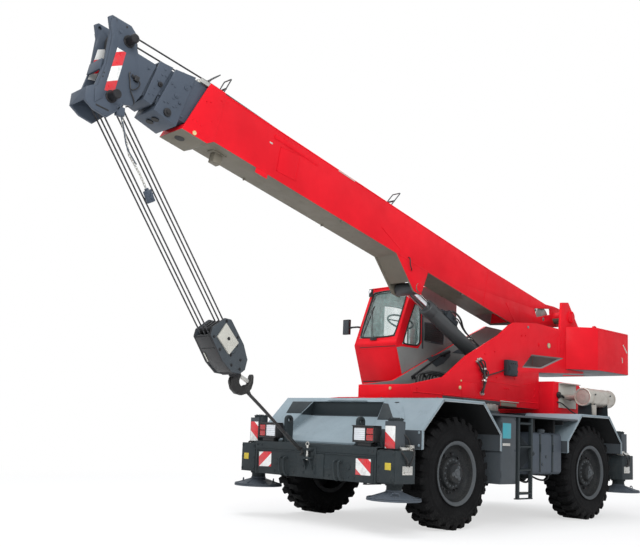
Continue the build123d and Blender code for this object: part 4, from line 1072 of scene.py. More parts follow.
class CRANE_OT_boom(bpy.types.Operator):
    """Add the bolts, wear pads, lugs and rope guides of the boom sections"""
    bl_idname = "crane.boom"
    bl_label = "Boom details"

    def execute(self, context):
        base = side_bolts(0.202,
            [(7.167, -0.126), (7.117, -0.105), (7.276, -0.399), (7.218, -0.393), (7.163, -0.406),
                (7.15, -0.5), (7.05, -0.3), (6.99, -0.02)],
            0.008, 0.006)
        done(base, "boom_base_bolts", "boom_base", "red", "red_paint", matrix=BOOM)
        reflectors = both_sides(lathe([(0.201, 0), (0.21, 0), (0.212, 0.012), (0.21, 0.023), (0.201, 0.024)],
                                      on_boom(0, 7.215, -0.529), "X", 28))
        done(reflectors, "boom_base_reflectors", "boom_base", "cream", "red_paint", matrix=BOOM)
        pads = merged(boom_box(-0.15, 0.15, 7.16, 7.3, 0.046, 0.09, 0.004),
                      both_sides(boom_box(0.168, 0.196, 7.172, 7.29, 0.04, 0.086, 0.004)))
        done(pads, "boom_base_wear_pads", "boom_base", "bright", "red_paint", matrix=BOOM)
        hanger = merged(boom_box(-0.045, 0.045, 6.7, 6.81, -0.61, -0.49),
            boom_box(-0.06, 0.06, 6.66, 6.85, -0.502, -0.49))
        ribs = both_sides(
            merged(*[boom_box(0.15, BASE_SIDE, s, s + 0.012, -0.508, -0.488, 0.002)
                     for s in (2.4, 4.9, 6.2)]))
        done(merged(hanger, ribs), "boom_base_hanger", "boom_base", "olive", "red_paint", matrix=BOOM)
        seams = []
        for h0, h1 in ((-0.487, -0.475), (0.066, 0.078)):
            seams.append(boom_box(BASE_SIDE, 0.1925, 1.95, 6.93, h0, h1, 0.0015))
        seams.append(
            boom_plate([(1.367, -0.235), (1.372, -0.25), (1.075, -0.455), (1.068, -0.442)], BASE_SIDE, 0.194,
                0.002))
        seams.append(boom_box(BASE_SIDE, 0.1925, 1.9, 1.91, -0.48, 0.076, 0.0015))
        for s in (3.3, 3.8):
            seams.append(boom_box(BASE_SIDE, 0.1925, s, s + 0.008, -0.486, -0.38, 0.001))
        done(
            both_sides(merged(*seams)), "boom_base_weld_strips", "boom_base", "red", "red_paint", matrix=BOOM)
        hook_bar = tube(path(on_boom, (0.19, 3.64, -0.45), (0.225, 3.64, -0.455), (0.228, 3.62, -0.56),
                (0.226, 3.56, -0.6), (0.192, 3.54, -0.59)),
            0.007, 8)
        done(both_sides(hook_bar), "boom_base_grab_bars", "boom_base", "iron", "red_paint", matrix=BOOM)

        cover = merged(boom_box(BASE_SIDE, 0.1945, 5.47, 6.19, -0.04, 0.006, 0.002),
            boom_box(BASE_SIDE, 0.1945, 6.0, 6.05, 0.004, 0.03, 0.001),
            boom_plate([(4.235, -0.272), (4.222, -0.288), (3.8, -0.418), (3.812, -0.398)], BASE_SIDE, 0.1945,
                0.002),
            boom_plate([(6.072, -0.09), (5.768, -0.044), (5.75, -0.372), (6.058, -0.392)], BASE_SIDE, 0.1925,
                0.001),
            *[plate([on_boom(BASE_SIDE, s, h) for s, h in corners], (0.0065, 0, 0),
                0.001) for corners in (((6.072, -0.09), (5.768, -0.044), (5.768, -0.054), (6.07, -0.101)),
                ((5.768, -0.044), (5.778, -0.044), (5.76, -0.372), (5.75, -0.372)), ((5.75, -0.372),
                (5.75, -0.362), (6.058, -0.382), (6.058, -0.392)), ((6.072, -0.09), (6.062, -0.09),
                (6.048, -0.392), (6.058, -0.392)))])
        cover = merged(both_sides(cover), boom_box(0.186, 0.194, 6.165, 6.342, -0.545, -0.49, 0.003))
        done(cover, "boom_base_covers", "boom_base", "red", "red_paint", matrix=BOOM)
        marks = merged(boom_box(0.189, 0.1935, 6.195, 6.24, -0.128, -0.112, 0.001),
            boom_box(0.189, 0.1935, 4.84, 5.14, 0.062, 0.074, 0.001))
        done(both_sides(marks), "boom_base_pale_strips", "boom_base", "pale", "red_paint", matrix=BOOM)

        second = merged(
            side_bolts(SECTION_2_SIDE, [(7.43, -0.085), (7.38, -0.062), (7.56, -0.171), (7.6, -0.16),
                (7.633, -0.385), (7.59, -0.375), (7.517, -0.381), (7.48, -0.365), (7.54, -0.3),
                (7.4, -0.43)]),
            side_bosses(SECTION_2_SIDE, [(7.429, -0.11), (7.514, -0.253)], 0.026, 0.008),
            side_bosses(SECTION_2_SIDE, [(7.458, -0.309)], 0.017, 0.014))
        done(second, "boom_section_2_bolts", "boom_section_2", "slate", "slate_paint", matrix=BOOM)
        bosses = side_bosses(SECTION_2_SIDE, [(7.571, -0.48)], 0.044, 0.022)
        holes = both_sides(bar(on_boom(0.05, 7.607, -0.545), on_boom(0.05, 7.607, -0.5505), 0.04, 28, 0.0))
        done(bosses, "boom_section_2_roller_caps", "boom_section_2", "iron", "slate_paint", matrix=BOOM)
        done(holes, "boom_section_2_drain_rings", "boom_section_2", "seal", "slate_paint", matrix=BOOM)
        third = merged(
            side_bolts(SECTION_3_SIDE, [(7.717, -0.12), (7.676, -0.11), (7.804, -0.383), (7.756, -0.37),
                (7.765, -0.3), (7.69, -0.33), (7.7, -0.05)], 0.009, 0.007),
            side_bosses(SECTION_3_SIDE, [(7.74, -0.2)], 0.016, 0.006))
        done(third, "boom_section_3_bolts", "boom_section_3", "slate", "slate_paint", matrix=BOOM)
        bosses = side_bosses(SECTION_3_SIDE, [(7.716, -0.232)], 0.027, 0.02)
        done(bosses, "boom_section_3_roller_caps", "boom_section_3", "iron", "slate_paint", matrix=BOOM)
        under = bar(on_boom(0, 7.25, -0.5565), on_boom(0, 7.25, -0.5625), 0.055, 32)
        done(under, "boom_base_drain_ring", "boom_base", "seal", "red_paint", matrix=BOOM)
        fourth = side_bosses(TIP_SIDE, [(7.877, -0.135)], 0.014, 0.008)
        done(fourth, "boom_tip_bosses", "boom_tip", "slate", "slate_paint", matrix=BOOM)

        guides = []
        for s0, s1, top in ((7.21, 7.0, 0.335), (6.93, 6.85, 0.37), (4.05, 3.88, 0.385)):
            guides.append(tube(path(on_boom, (-0.065, s0, 0.08), (-0.065, s1, top), (0.065, s1, top),
                    (0.065, s0, 0.08)), 0.0075, 8, 2))
            guides.append(boom_box(-0.085, 0.085, s0 - 0.03, s0 + 0.03, 0.078, 0.088, 0.002))
            middle = (s0 + s1) / 2
            guides.append(
                bar(on_boom(-0.066, middle, (top + 0.08) / 2), on_boom(0.066, middle, (top + 0.08) / 2),
                    0.012, 20, 0.002))
        done(merged(*guides), "boom_rope_guides", "boom_base", "barrel", "red_paint", matrix=BOOM)
        return {"FINISHED"}


# ------------------------------------------------------------------ boom head
class CRANE_OT_head(bpy.types.Operator):
    """Build the head's flanges, pins, sheaves, hazard plates and cable"""
    bl_idname = "crane.head"
    bl_label = "Boom head"

    def execute(self, context):
        flange = boom_plate(
            [(8.392, 0.04), (8.405, 0.12), (8.362, 0.15), (8.316, 0.06), (8.268, -0.115), (8.27, -0.35),
                (8.262, -0.69), (8.325, -0.775), (8.362, -0.64), (8.338, -0.59), (8.32, -0.35),
                (8.345, -0.05)],
            HEAD_SIDE, 0.155, 0.003)
        rim_strip = boom_plate([(8.04, -0.64), (8.07, -0.725), (8.16, -0.84), (8.3, -0.835), (8.295, -0.822),
                                (8.166, -0.828), (8.082, -0.716), (8.054, -0.634)], HEAD_SIDE, 0.15, 0.002)
        bosses = merged(bar(on_boom(0.14, 8.271, 0.045), on_boom(0.153, 8.271, 0.045), 0.018, 28, 0.002),
                        bar(on_boom(0.14, 8.371, 0.112), on_boom(0.152, 8.371, 0.112), 0.034, 32, 0.002))
        done(
            both_sides(merged(flange, rim_strip, bosses)), "head_flanges", "boom_tip", "slate", "slate_paint",
            matrix=BOOM)
        bore = both_sides(ring([(0.1515, 0.02), (0.1545, 0.0205), (0.1545, 0.03), (0.1515, 0.0305)],
                               on_boom(0, 8.371, 0.112), "X", 28))
        slots = both_sides(
            merged(boom_plate([(8.3, -0.793), (8.304, -0.778), (8.16, -0.768), (8.156, -0.783)], HEAD_SIDE,
                0.1475, 0.001), bar(on_boom(HEAD_SIDE, 8.223, 0.128), on_boom(0.1475, 8.223, 0.128), 0.011,
                16),
                *[bar(on_boom(0.15, 8.318, h), on_boom(0.1565, 8.318, h), 0.008, 14)
                  for h in (-0.449, -0.491)]))
        done(merged(bore, slots), "head_holes", "boom_tip", "seal", "slate_paint", matrix=BOOM)
        pins = []
        for s, h in (UPPER_SHEAVE, LOWER_SHEAVE):
            pins.append(
                lathe([(0.14, 0), (0.14, 0.062), (0.152, 0.062), (0.155, 0.046), (0.262, 0.046), (0.27, 0.04),
                    (0.27, 0.0)], on_boom(0, s, h), "X", 36))
            pins.append(lathe([(-0.14, 0), (-0.14, 0.062), (-0.152, 0.062), (-0.155, 0.046), (-0.182, 0.046),
                               (-0.186, 0.0)], on_boom(0, s, h), "X", 36))
            pins.append(
                bolts([on_boom(0.153, s + 0.054 * c, h + 0.054 * d) for c, d in ((1, 0), (-1, 0))], LEFT,
                    0.006, 0.007))
        done(merged(*pins), "head_pins", "boom_tip", "iron", "dark_iron", matrix=BOOM)
        sheaves = []
        for (s, h), radius in ((UPPER_SHEAVE, 0.135), (LOWER_SHEAVE, SHEAVE)):
            sheaves.append(bar(on_boom(-0.115, s, h), on_boom(0.115, s, h), 0.034, 28))
            for x in GROOVES:
                section = [
                    (-0.01, 0.032), (-0.01, radius * 0.55), (-0.005, radius * 0.6), (-0.005, radius - 0.03),
                    (-0.019, radius - 0.018), (-0.0215, radius), (-0.017, radius), (-0.008, radius - 0.012),
                    (0.008, radius - 0.012), (0.017, radius), (0.0215, radius), (0.019, radius - 0.018),
                    (0.005, radius - 0.03), (0.005, radius * 0.6), (0.01, radius * 0.55), (0.01, 0.032)]
                sheaves.append(ring(section, on_boom(x, s, h), "X", 44))
        done(merged(*sheaves), "head_sheave_wheels", "boom_tip", "iron", "dark_iron",
            replaces=("head_sheaves",), matrix=BOOM)
        near = boom_plate(
            [(8.258, -0.128), (8.156, -0.124), (8.158, -0.583), (8.264, -0.607)], 0.1452, 0.148, 0.001)
        far = boom_plate(
            [(8.255, -0.1), (8.158, -0.096), (8.16, -0.44), (8.262, -0.44)], -0.148, -0.1452, 0.001)
        inner = boom_plate(
            [(8.33, -0.11), (8.24, -0.05), (8.262, -0.43), (8.338, -0.454)], -0.1148, -0.1125, 0.001)
        done(merged(near, far, inner), "head_hazard_plates", "boom_tip", "stripe_head", "slate_paint",
            matrix=BOOM)
        box_part = merged(boom_box(0.145, 0.178, 7.955, 8.005, -0.352, -0.296, 0.004),
                          bar(on_boom(0.165, 8.005, -0.322), on_boom(0.165, 8.04, -0.312), 0.011, 14, 0.001))
        cable = tube(path(on_boom, (0.162, 7.96, -0.33), (0.175, 7.93, -0.345), (0.168, 7.945, -0.42),
                (0.16, 8.01, -0.47), (0.158, 8.03, -0.4), (0.16, 8.075, -0.305), (0.152, 8.06, -0.29)),
            0.0065, 8)
        tail = tube(path(on_boom, (0.16, 8.01, -0.47), (0.162, 7.96, -0.52), (0.155, 7.93, -0.56),
                (0.12, 7.925, -0.585), (0.06, 7.96, -0.6)),
            0.0065, 8)
        done(merged(box_part, cable, tail), "head_cable", "boom_tip", "black", "dark_iron", matrix=BOOM)
        return {"FINISHED"}


# ------------------------------------------------------------------ ropes, block and hook
def strand_rope(length):
    """Six-strand rope of that length, hanging down from the origin."""
    points = []
    for i in range(12):
        radius = ROPE if i % 2 == 0 else ROPE * 0.74
        points.append((radius * math.cos(i * math.pi / 6), radius * math.sin(i * math.pi / 6), 0))
    obj = chain(points + [points[0]])
    bpy.ops.mesh.remove_doubles(threshold=1e-6)
    bpy.ops.object.mode_set(mode="OBJECT")
    turns = length / ROPE_LAY
    screw = obj.modifiers.new("lay", "SCREW")
    screw.axis = "Z"
    screw.angle = 2 * math.pi * turns
    screw.screw_offset = -length
    screw.steps = screw.render_steps = int(turns * 8)
    screw.use_normal_calculate = True
    pick(obj)
    bpy.ops.object.modifier_apply(modifier=screw.name)
    bpy.ops.object.mode_set(mode="EDIT")
    bpy.ops.mesh.select_all(action="SELECT")
    bpy.ops.mesh.normals_make_consistent(inside=False)
    bpy.ops.object.mode_set(mode="OBJECT")
    return obj


def wrap(x, upward):
    """Half turn of rope round a sheave, above or below the origin."""
    points = []
    for i in range(13):
        turn = math.pi * i / 12
        points.append((x, ROPE_REACH * math.cos(turn), (1 if upward else -1) * ROPE_REACH * math.sin(turn)))
    return tube(points, ROPE, 10, 3)


class CRANE_OT_ropes(bpy.types.Operator):
    """Lay the rope falls, their turns round the sheaves, the rope over the boom and the drum's layers"""
    bl_idname = "crane.ropes"
    bl_label = "Ropes"

    def execute(self, context):
        anchor = FALLS @ Vector((0, 0, 0))
        direction = (FALLS.to_3x3() @ Vector((0, 0, -1))).normalized()
        fall = strand_rope(ROPE_LENGTH)
        falls = repeated(fall, [(x, side * ROPE_REACH, 0) for x in GROOVES for side in (-1, 1)])
        done(
            falls, "rope_falls_laid", "boom_tip", "rope", "wire_rope", replaces=("rope_falls",), matrix=FALLS)
        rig.squash(falls, "hoist", direction, anchor, (ROPE_LENGTH - 1.3) / ROPE_LENGTH)
        done(merged(*[wrap(x, True) for x in GROOVES]), "head_rope_turns", "boom_tip", "rope", "wire_rope",
            matrix=FALLS)
        done(
            merged(*[wrap(x, False) for x in GROOVES]), "block_rope_turns", "hook_block", "rope", "wire_rope",
            matrix=BLOCK)

        drum_s, drum_h = DRUM
        layers = ring([(x, 0.152 + 0.01 * abs(math.sin(math.pi * (x + 0.14) / 0.0187))) for x in
                       [-0.14 + 0.0031 * i for i in range(91)]] + [(0.139, 0.146), (-0.14, 0.146)],
                      on_boom(0, drum_s, drum_h), "X", 44)
        done(layers, "drum_rope_layers", "winch_drum", "rope", "bare_steel", matrix=BOOM)
        first = merged(
            tube(path(on_boom, (0.02, drum_s + 0.02, drum_h + 0.166), (0.02, 2.5, 0.125), (0.02, 4.8, 0.16),
                (0.02, 6.0, 0.18), (0.02, 7.03, 0.2)), ROPE, 10, 2),
            bar(on_boom(-0.07, 6.88, 0.17), on_boom(-0.07, 7.03, 0.168), 0.016, 20, 0.003),
            box((-0.095, -6.93, 0.08), (-0.045, -6.9, 0.18), 0.004))
        done(first, "boom_rope_rear", "boom_base", "rope", "wire_rope", matrix=BOOM)
        ends = (7.03, 7.35, 7.65, 7.9, 8.16)
        bodies = ("boom_base", "boom_section_2", "boom_section_3", "boom_tip")
        lines = ((0.02, 0.2, 0.158), (-0.07, 0.168, 0.122))
        for i in range(4):
            spans, middles = [], []
            for x, h0, h1 in lines:
                a, b = (on_boom(x, s, h0 + (h1 - h0) * (s - ends[0]) / (ends[-1] - ends[0]))
                    for s in ends[i:i + 2])
                spans.append(bar(a, b, ROPE, 12))
                middles.append((a, b))
            piece = done(
                merged(*spans), f"boom_rope_front_{i}", bodies[3] if i == 3 else None, "rope", "wire_rope",
                matrix=BOOM)
            if i < 3:
                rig.blend(piece, bodies[i], bodies[i + 1], start=tuple(BOOM @ middles[0][0]),
                    end=tuple(BOOM @ middles[0][1]))
        return {"FINISHED"}


class CRANE_OT_block(bpy.types.Operator):
    """Build the hook block's plates, covers and guards, and the hook with its latch"""
    bl_idname = "crane.block"
    bl_label = "Hook block"

    def execute(self, context):
        dress("hook_block", FINISHES["iron"], 0.006, 3,
              repaint=((FINISHES["slate_grey"], lambda c, n: abs(n.x) > 0.9),))
        side = 0.15
        plates = both_sides(plate([(side - 0.001, y, z) for y, z in
                                   ((0.071, 0.255), (0.103, -0.003), (-0.071, -0.04), (-0.105, 0.194))],
                                  (0.024, 0, 0), 0.002))
        done(plates, "block_blank_plates", "hook_block", "pale", "dark_iron", matrix=BLOCK)
        pins = both_sides(merged(
            disc((side + 0.023, 0.008, 0.105), LEFT, 0.019, 0.004),
            disc((side + 0.026, 0.008, 0.105), LEFT, 0.009, 0.006)))
        heads = both_sides(
            bolts([(side, y, z) for y, z in ((-0.045, -0.066), (-0.093, -0.158), (0.042, -0.177),
                (0.075, -0.02), (0.14, 0.048), (-0.135, 0.215), (0.1, 0.27), (-0.14, 0.06), (-0.02, -0.255))],
                LEFT, 0.011, 0.01))
        done(merged(pins, heads), "block_bolts", "hook_block", "iron", "dark_iron", matrix=BLOCK)
        covers = []
        for sign in (-1, 1):
            y = sign * 0.163
            covers.append(box((-0.12, y - 0.006, -0.07), (0.12, y + 0.006, 0.235), 0.004))
            covers.append(box((-0.11, y, 0.088), (0.11, y + sign * 0.012, 0.1), 0.003))
            covers.append(plate([(-0.118, sign * 0.164, -0.066), (-0.118, sign * 0.122, -0.226),
                    (0.118, sign * 0.122, -0.226), (0.118, sign * 0.164, -0.066)], (0, -sign * 0.01, 0),
                    0.002))
            covers.append(bar((-0.118, sign * 0.15, 0.242), (0.118, sign * 0.15, 0.242), 0.01, 16, 0.002))
        for x in (-0.105, -0.035, 0.035, 0.105):
            covers.append(box((x - 0.006, -0.095, 0.24), (x + 0.006, 0.095, 0.296), 0.003))
        done(merged(*covers), "block_covers", "hook_block", "black", "dark_iron", matrix=BLOCK)
        slot = merged(box((-0.105, -0.176, -0.06), (-0.088, -0.169, 0.05), 0.003),
            box((0.04, 0.169, -0.02), (0.075, 0.172, 0.09), 0.002))
        done(slot, "block_label_strips", "hook_block", "pale", "dark_iron", matrix=BLOCK)
        wheels = []
        for x in GROOVES:
            wheels.append(
                ring([(-0.0215, SHEAVE + 0.001), (-0.0215, SHEAVE + 0.014), (-0.017, SHEAVE + 0.014),
                    (-0.009, SHEAVE + 0.002), (0.009, SHEAVE + 0.002), (0.017, SHEAVE + 0.014),
                    (0.0215, SHEAVE + 0.014), (0.0215, SHEAVE + 0.001)], (x, 0, 0), "X", 40))
        done(merged(*wheels), "block_sheave_rims", "hook_block", "iron", "dark_iron", matrix=BLOCK)
        nut = merged(lathe([(-0.302, 0), (-0.302, 0.06), (-0.308, 0.064), (-0.322, 0.064), (-0.328, 0.058),
                (-0.328, 0.0)], ORIGIN, "Z", 36),
            lathe([(-0.328, 0.0), (-0.33, 0.05), (-0.35, 0.05), (-0.356, 0.044), (-0.356, 0.0)], ORIGIN, "Z",
                6))
        done(nut, "hook_swivel_nut", "hook_block", "iron", "dark_iron", matrix=BLOCK)
        hook = merged(
            side_plate([(-3.95, 1.672), (-3.966, 1.64), (-4.003, 1.605), (-4.01, 1.555), (-3.985, 1.485),
                (-3.925, 1.437), (-3.845, 1.424), (-3.77, 1.447), (-3.718, 1.498), (-3.695, 1.565),
                (-3.692, 1.64), (-3.708, 1.668), (-3.73, 1.642), (-3.74, 1.582), (-3.772, 1.538),
                (-3.82, 1.515), (-3.868, 1.526), (-3.896, 1.563), (-3.886, 1.605), (-3.866, 1.632),
                (-3.878, 1.668)], -0.036, 0.036, 0.022, 4),
            bar((0, -3.93, 1.628), (0, -3.962, 1.674), 0.04, 28, 0.004),
            side_plate([(-4.012, 1.6), (-4.024, 1.57), (-4.006, 1.52), (-3.992, 1.56)], -0.012, 0.012, 0.004))
        done(hook, "hook_forging", "hook_block", "forged", "dark_iron", replaces=("hook",), smooth=60)
        latch = merged(plate([(-0.019, -3.905, 1.64), (-0.019, -3.88, 1.655), (-0.019, -3.742, 1.6),
                (-0.019, -3.748, 1.566), (-0.019, -3.775, 1.566), (-0.019, -3.86, 1.608)], (0.038, 0, 0),
                0.006),
            bar((-0.034, -3.89, 1.64), (0.034, -3.89, 1.64), 0.012, 20, 0.002))
        done(latch, "hook_latch", "hook_block", "bright", "dark_iron")
        return {"FINISHED"}


# ------------------------------------------------------------------ turntable
def on_cylinder(x, along, up):
    """Point beside the lift cylinder, measured from its base pin towards the rod's eye."""
    return Vector((x, -along, up))


def disc(centre, axis, radius, height):
    """Round cover with a rounded rim, standing on its centre and facing along axis."""
    centre, axis = Vector(centre), Vector(axis).normalized()
    return bar(centre - axis * 0.001, centre + axis * height, radius, 30, height * 0.2)


def clamp(centre, axis, radius, width=0.03):
    """Pipe clamp: a ring round a pipe with its two bolt heads."""
    centre, axis = Vector(centre), Vector(axis).normalized()
    side = axis.orthogonal().normalized() * radius * 1.9
    foot = bar(centre - axis * width / 2, centre + axis * width / 2, radius * 1.35, 18, radius * 0.2)
    return merged(foot, bar(centre - side, centre + side, width * 0.28, 6, 0.001))


def on_mast(out, y, z):
    """Point beside the left mast plate, measured out from its face."""
    return Vector((MAST_SIDE + out, y, z))


class CRANE_OT_turntable(bpy.types.Operator):
    """Add the edge strips, covers, control box, hoses and fittings of the mast plates"""
    bl_idname = "crane.turntable"
    bl_label = "Turntable details"

    def execute(self, context):
        welds = [
            tube([(MAST_SIDE + 0.002, y, z) for y, z in ((-1.47, 1.604), (0.0, 1.604), (1.44, 1.604))], 0.007,
                8, 2),
            tube([(MAST_SIDE - 0.044, y, z) for y, z in ((-1.43, 1.606), (0.0, 1.606), (1.44, 1.606))], 0.009,
                8, 2),
            side_panel(-0.45, -0.1, 1.615, 1.79, MAST_SIDE, MAST_SIDE + 0.004),
            side_plate([(0.14, 1.84), (0.9, 1.82), (1.35, 1.9), (1.35, 1.912), (0.9, 1.832), (0.14, 1.852)],
                MAST_SIDE, MAST_SIDE + 0.005, 0.002),
            side_panel(0.93, 1.16, 1.64, 1.648, MAST_SIDE, MAST_SIDE + 0.004, 0.001),
            side_plate([(1.96, 2.4), (2.06, 2.4), (2.06, 2.7), (1.96, 2.62)], MAST_SIDE, MAST_SIDE + 0.005,
                0.002),
            side_plate([(2.13, 2.06), (2.76, 2.098), (2.76, 2.112), (2.13, 2.074)], MAST_SIDE,
                MAST_SIDE + 0.004, 0.001)]
        done(both_sides(merged(*welds)), "mast_weld_strips", "turntable", "red", "red_paint")
        rim_points = [(1.0, 2.1), (1.25, 2.31), (2.15, 2.335), (1.53, 2.125)]
        rims = []
        for (ya, za), (yb, zb) in zip(rim_points, rim_points[1:] + rim_points[:1]):
            rims.append(bar((MAST_SIDE - 0.02, ya, za), (MAST_SIDE - 0.02, yb, zb), 0.0195, 4))
        done(both_sides(merged(*rims)), "mast_window_edges", "turntable", "shade", "red_paint")
        pin = merged(disc((MAST_SIDE + 0.024, 2.35, 2.99), LEFT, 0.062, 0.008),
            box((MAST_SIDE + 0.025, 2.325, 2.905), (MAST_SIDE + 0.037, 2.375, 3.075), 0.004),
            bolts(path(on_mast, (0.036, 2.35, 2.922), (0.036, 2.35, 3.058)), LEFT, 0.012, 0.01),
            disc((MAST_SIDE, 1.454, 2.469), LEFT, 0.036, 0.003),
            disc((MAST_SIDE + 0.002, 1.454, 2.469), LEFT, 0.022, 0.008))
        done(both_sides(pin), "pivot_pin_keepers", "turntable", "red", "red_paint")
        bolt_places = [(MAST_SIDE, y, z)
            for y, z in ((-0.847, 1.622), (0.069, 2.214), (0.307, 2.27), (0.361, 1.91), (0.814, 1.924),
                (2.078, 2.549), (2.078, 2.47), (0.56, 1.768), (0.61, 1.768), (0.66, 1.768), (1.33, 1.7),
                (1.33, 1.79), (-1.38, 1.66), (-1.38, 1.625), (2.6, 2.74), (2.68, 2.74), (0.98, 2.56),
                (1.08, 2.575))]
        done(both_sides(bolts(bolt_places, LEFT, 0.01, 0.009)), "mast_bolts", "turntable", "red", "red_paint")
        gold = merged(disc((MAST_SIDE, -0.494, 1.717), LEFT, 0.024, 0.012),
            disc((MAST_SIDE, -0.469, 1.809), LEFT, 0.012, 0.01),
            disc((MAST_SIDE, 1.717, 2.485), LEFT, 0.034, 0.008),
            disc((0.1, -1.481, 1.65), FORWARD, 0.02, 0.008))
        done(gold, "mast_reflectors", "turntable", "cream", "red_paint")
        seal = merged(ring([(MAST_SIDE, 0.034), (MAST_SIDE + 0.009, 0.034), (MAST_SIDE + 0.009, 0.04),
                (MAST_SIDE, 0.042)], (0, 1.717, 2.485), "X", 32),
            disc((MAST_SIDE, 1.142, 2.7), LEFT, 0.02, 0.01))
        done(seal, "mast_reflector_rims", "turntable", "shade", "red_paint")

        cabinet = merged(box((MAST_SIDE, 0.53, 1.95), (MAST_SIDE + 0.07, 0.78, 2.172), 0.008, 3),
                         box((MAST_SIDE + 0.068, 0.545, 1.965), (MAST_SIDE + 0.078, 0.765, 2.157), 0.004),
                         box((MAST_SIDE + 0.076, 0.56, 1.978), (MAST_SIDE + 0.0785, 0.75, 2.05), 0.001))
        knobs = merged(
            bolts([(MAST_SIDE + 0.078, y, 2.125) for y in (0.6, 0.655, 0.71)], LEFT, 0.01, 0.01, False),
            bar((MAST_SIDE + 0.07, 0.772, 2.0), (MAST_SIDE + 0.07, 0.772, 2.035), 0.008, 14, 0.001),
            bar((MAST_SIDE + 0.07, 0.772, 2.09), (MAST_SIDE + 0.07, 0.772, 2.125), 0.008, 14, 0.001),
            tube(path(on_mast, (0.078, 0.556, 2.03), (0.096, 0.556, 2.035), (0.096, 0.556, 2.085),
                (0.078, 0.556, 2.09)), 0.005, 8))
        done(cabinet, "control_cabinet", "turntable", "slate_box", "red_paint")
        done(knobs, "control_cabinet_knobs", "turntable", "black", "black_plastic")
        lines = merged(tube(path(on_mast, (0.02, 0.54, 2.035), (0.022, 0.42, 1.995), (0.02, 0.24, 1.95),
                (0.018, 0.1, 1.915), (0.02, 0.04, 1.89)), 0.009, 8),
            tube(path(on_mast, (0.03, -0.08, 2.105), (0.048, -0.03, 2.05), (0.04, 0.0, 1.97),
                (0.056, -0.01, 1.88), (0.036, 0.02, 1.79), (0.05, -0.02, 1.72), (0.02, -0.03, 1.67)), 0.016,
                12),
            tube(path(on_mast, (0.02, -0.13, 2.09), (0.04, -0.095, 2.03), (0.038, -0.045, 1.96),
                (0.03, 0.05, 1.9), (0.05, 0.035, 1.83), (0.03, 0.01, 1.74), (0.02, 0.01, 1.66)), 0.013, 12),
            tube(path(on_mast, (0.025, -0.06, 2.12), (0.06, -0.02, 2.11), (0.058, 0.01, 2.03),
                (0.035, 0.05, 1.95), (0.02, 0.09, 1.925)), 0.01, 10),
            tube(path(on_mast, (0.02, -0.01, 1.99), (0.06, 0.06, 1.985), (0.062, 0.07, 1.93),
                (0.03, 0.02, 1.86)), 0.01, 10))
        done(lines, "mast_hoses", "turntable", "hose", "black_plastic")
        places = (((MAST_SIDE, -0.1, 2.118), 0.022), ((MAST_SIDE, -0.05, 2.128), 0.024),
            ((MAST_SIDE, -0.14, 2.09), 0.014), ((MAST_SIDE, -0.02, 1.668), 0.024),
            ((MAST_SIDE, 0.015, 1.66), 0.02), ((MAST_SIDE, 0.04, 1.9), 0.02))
        fittings = []
        for centre, radius in places:
            fittings.append(disc(centre, LEFT, radius, 0.018))
            fittings.append(
                bolts([Vector(centre) + Vector((0.016, 0, 0))], LEFT, radius * 0.75, 0.016, False))
        for centre, axis in (
            ((MAST_SIDE + 0.044, 0.0, 2.0), UP), ((MAST_SIDE + 0.048, 0.0, 1.84), (0, 0.2, 1)),
            ((MAST_SIDE + 0.04, 0.03, 1.88), (0, -0.3, 1))):
            fittings.append(clamp(centre, axis, 0.017, 0.028))
        done(merged(*fittings), "mast_hose_fittings", "turntable", "bright", "bare_steel")

        skirt = side_plate(
            [(-0.86, PLATFORM_FOOT), (0.45, PLATFORM_FOOT), (0.45, 1.582), (-0.86, 1.592)], MAST_SIDE,
            MAST_SIDE + 0.004, 0.001)
        done(both_sides(skirt), "platform_dark_skirt", "turntable", "black", "red_paint")
        light = side_plate(
            [(-0.426, PLATFORM_FOOT), (-0.129, PLATFORM_FOOT), (-0.129, 1.587), (-0.426, 1.59)],
            MAST_SIDE + 0.003, MAST_SIDE + 0.012, 0.002)
        done(both_sides(light), "platform_light_cover", "turntable", "slate_grey", "red_paint")
        primer = side_plate(
            [(0.464, PLATFORM_FOOT), (0.857, PLATFORM_FOOT), (0.857, 1.57), (0.464, 1.576)], MAST_SIDE,
            MAST_SIDE + 0.006, 0.002)
        done(both_sides(primer), "platform_primer_cover", "turntable", "olive", "red_paint")
        rail = both_sides(
            bar((MAST_SIDE + 0.01, 0.44, 1.589), (MAST_SIDE + 0.01, 0.9, 1.586), 0.006, 10, 0.001))
        done(rail, "platform_rail", "turntable", "pale", "red_paint")
        return {"FINISHED"}


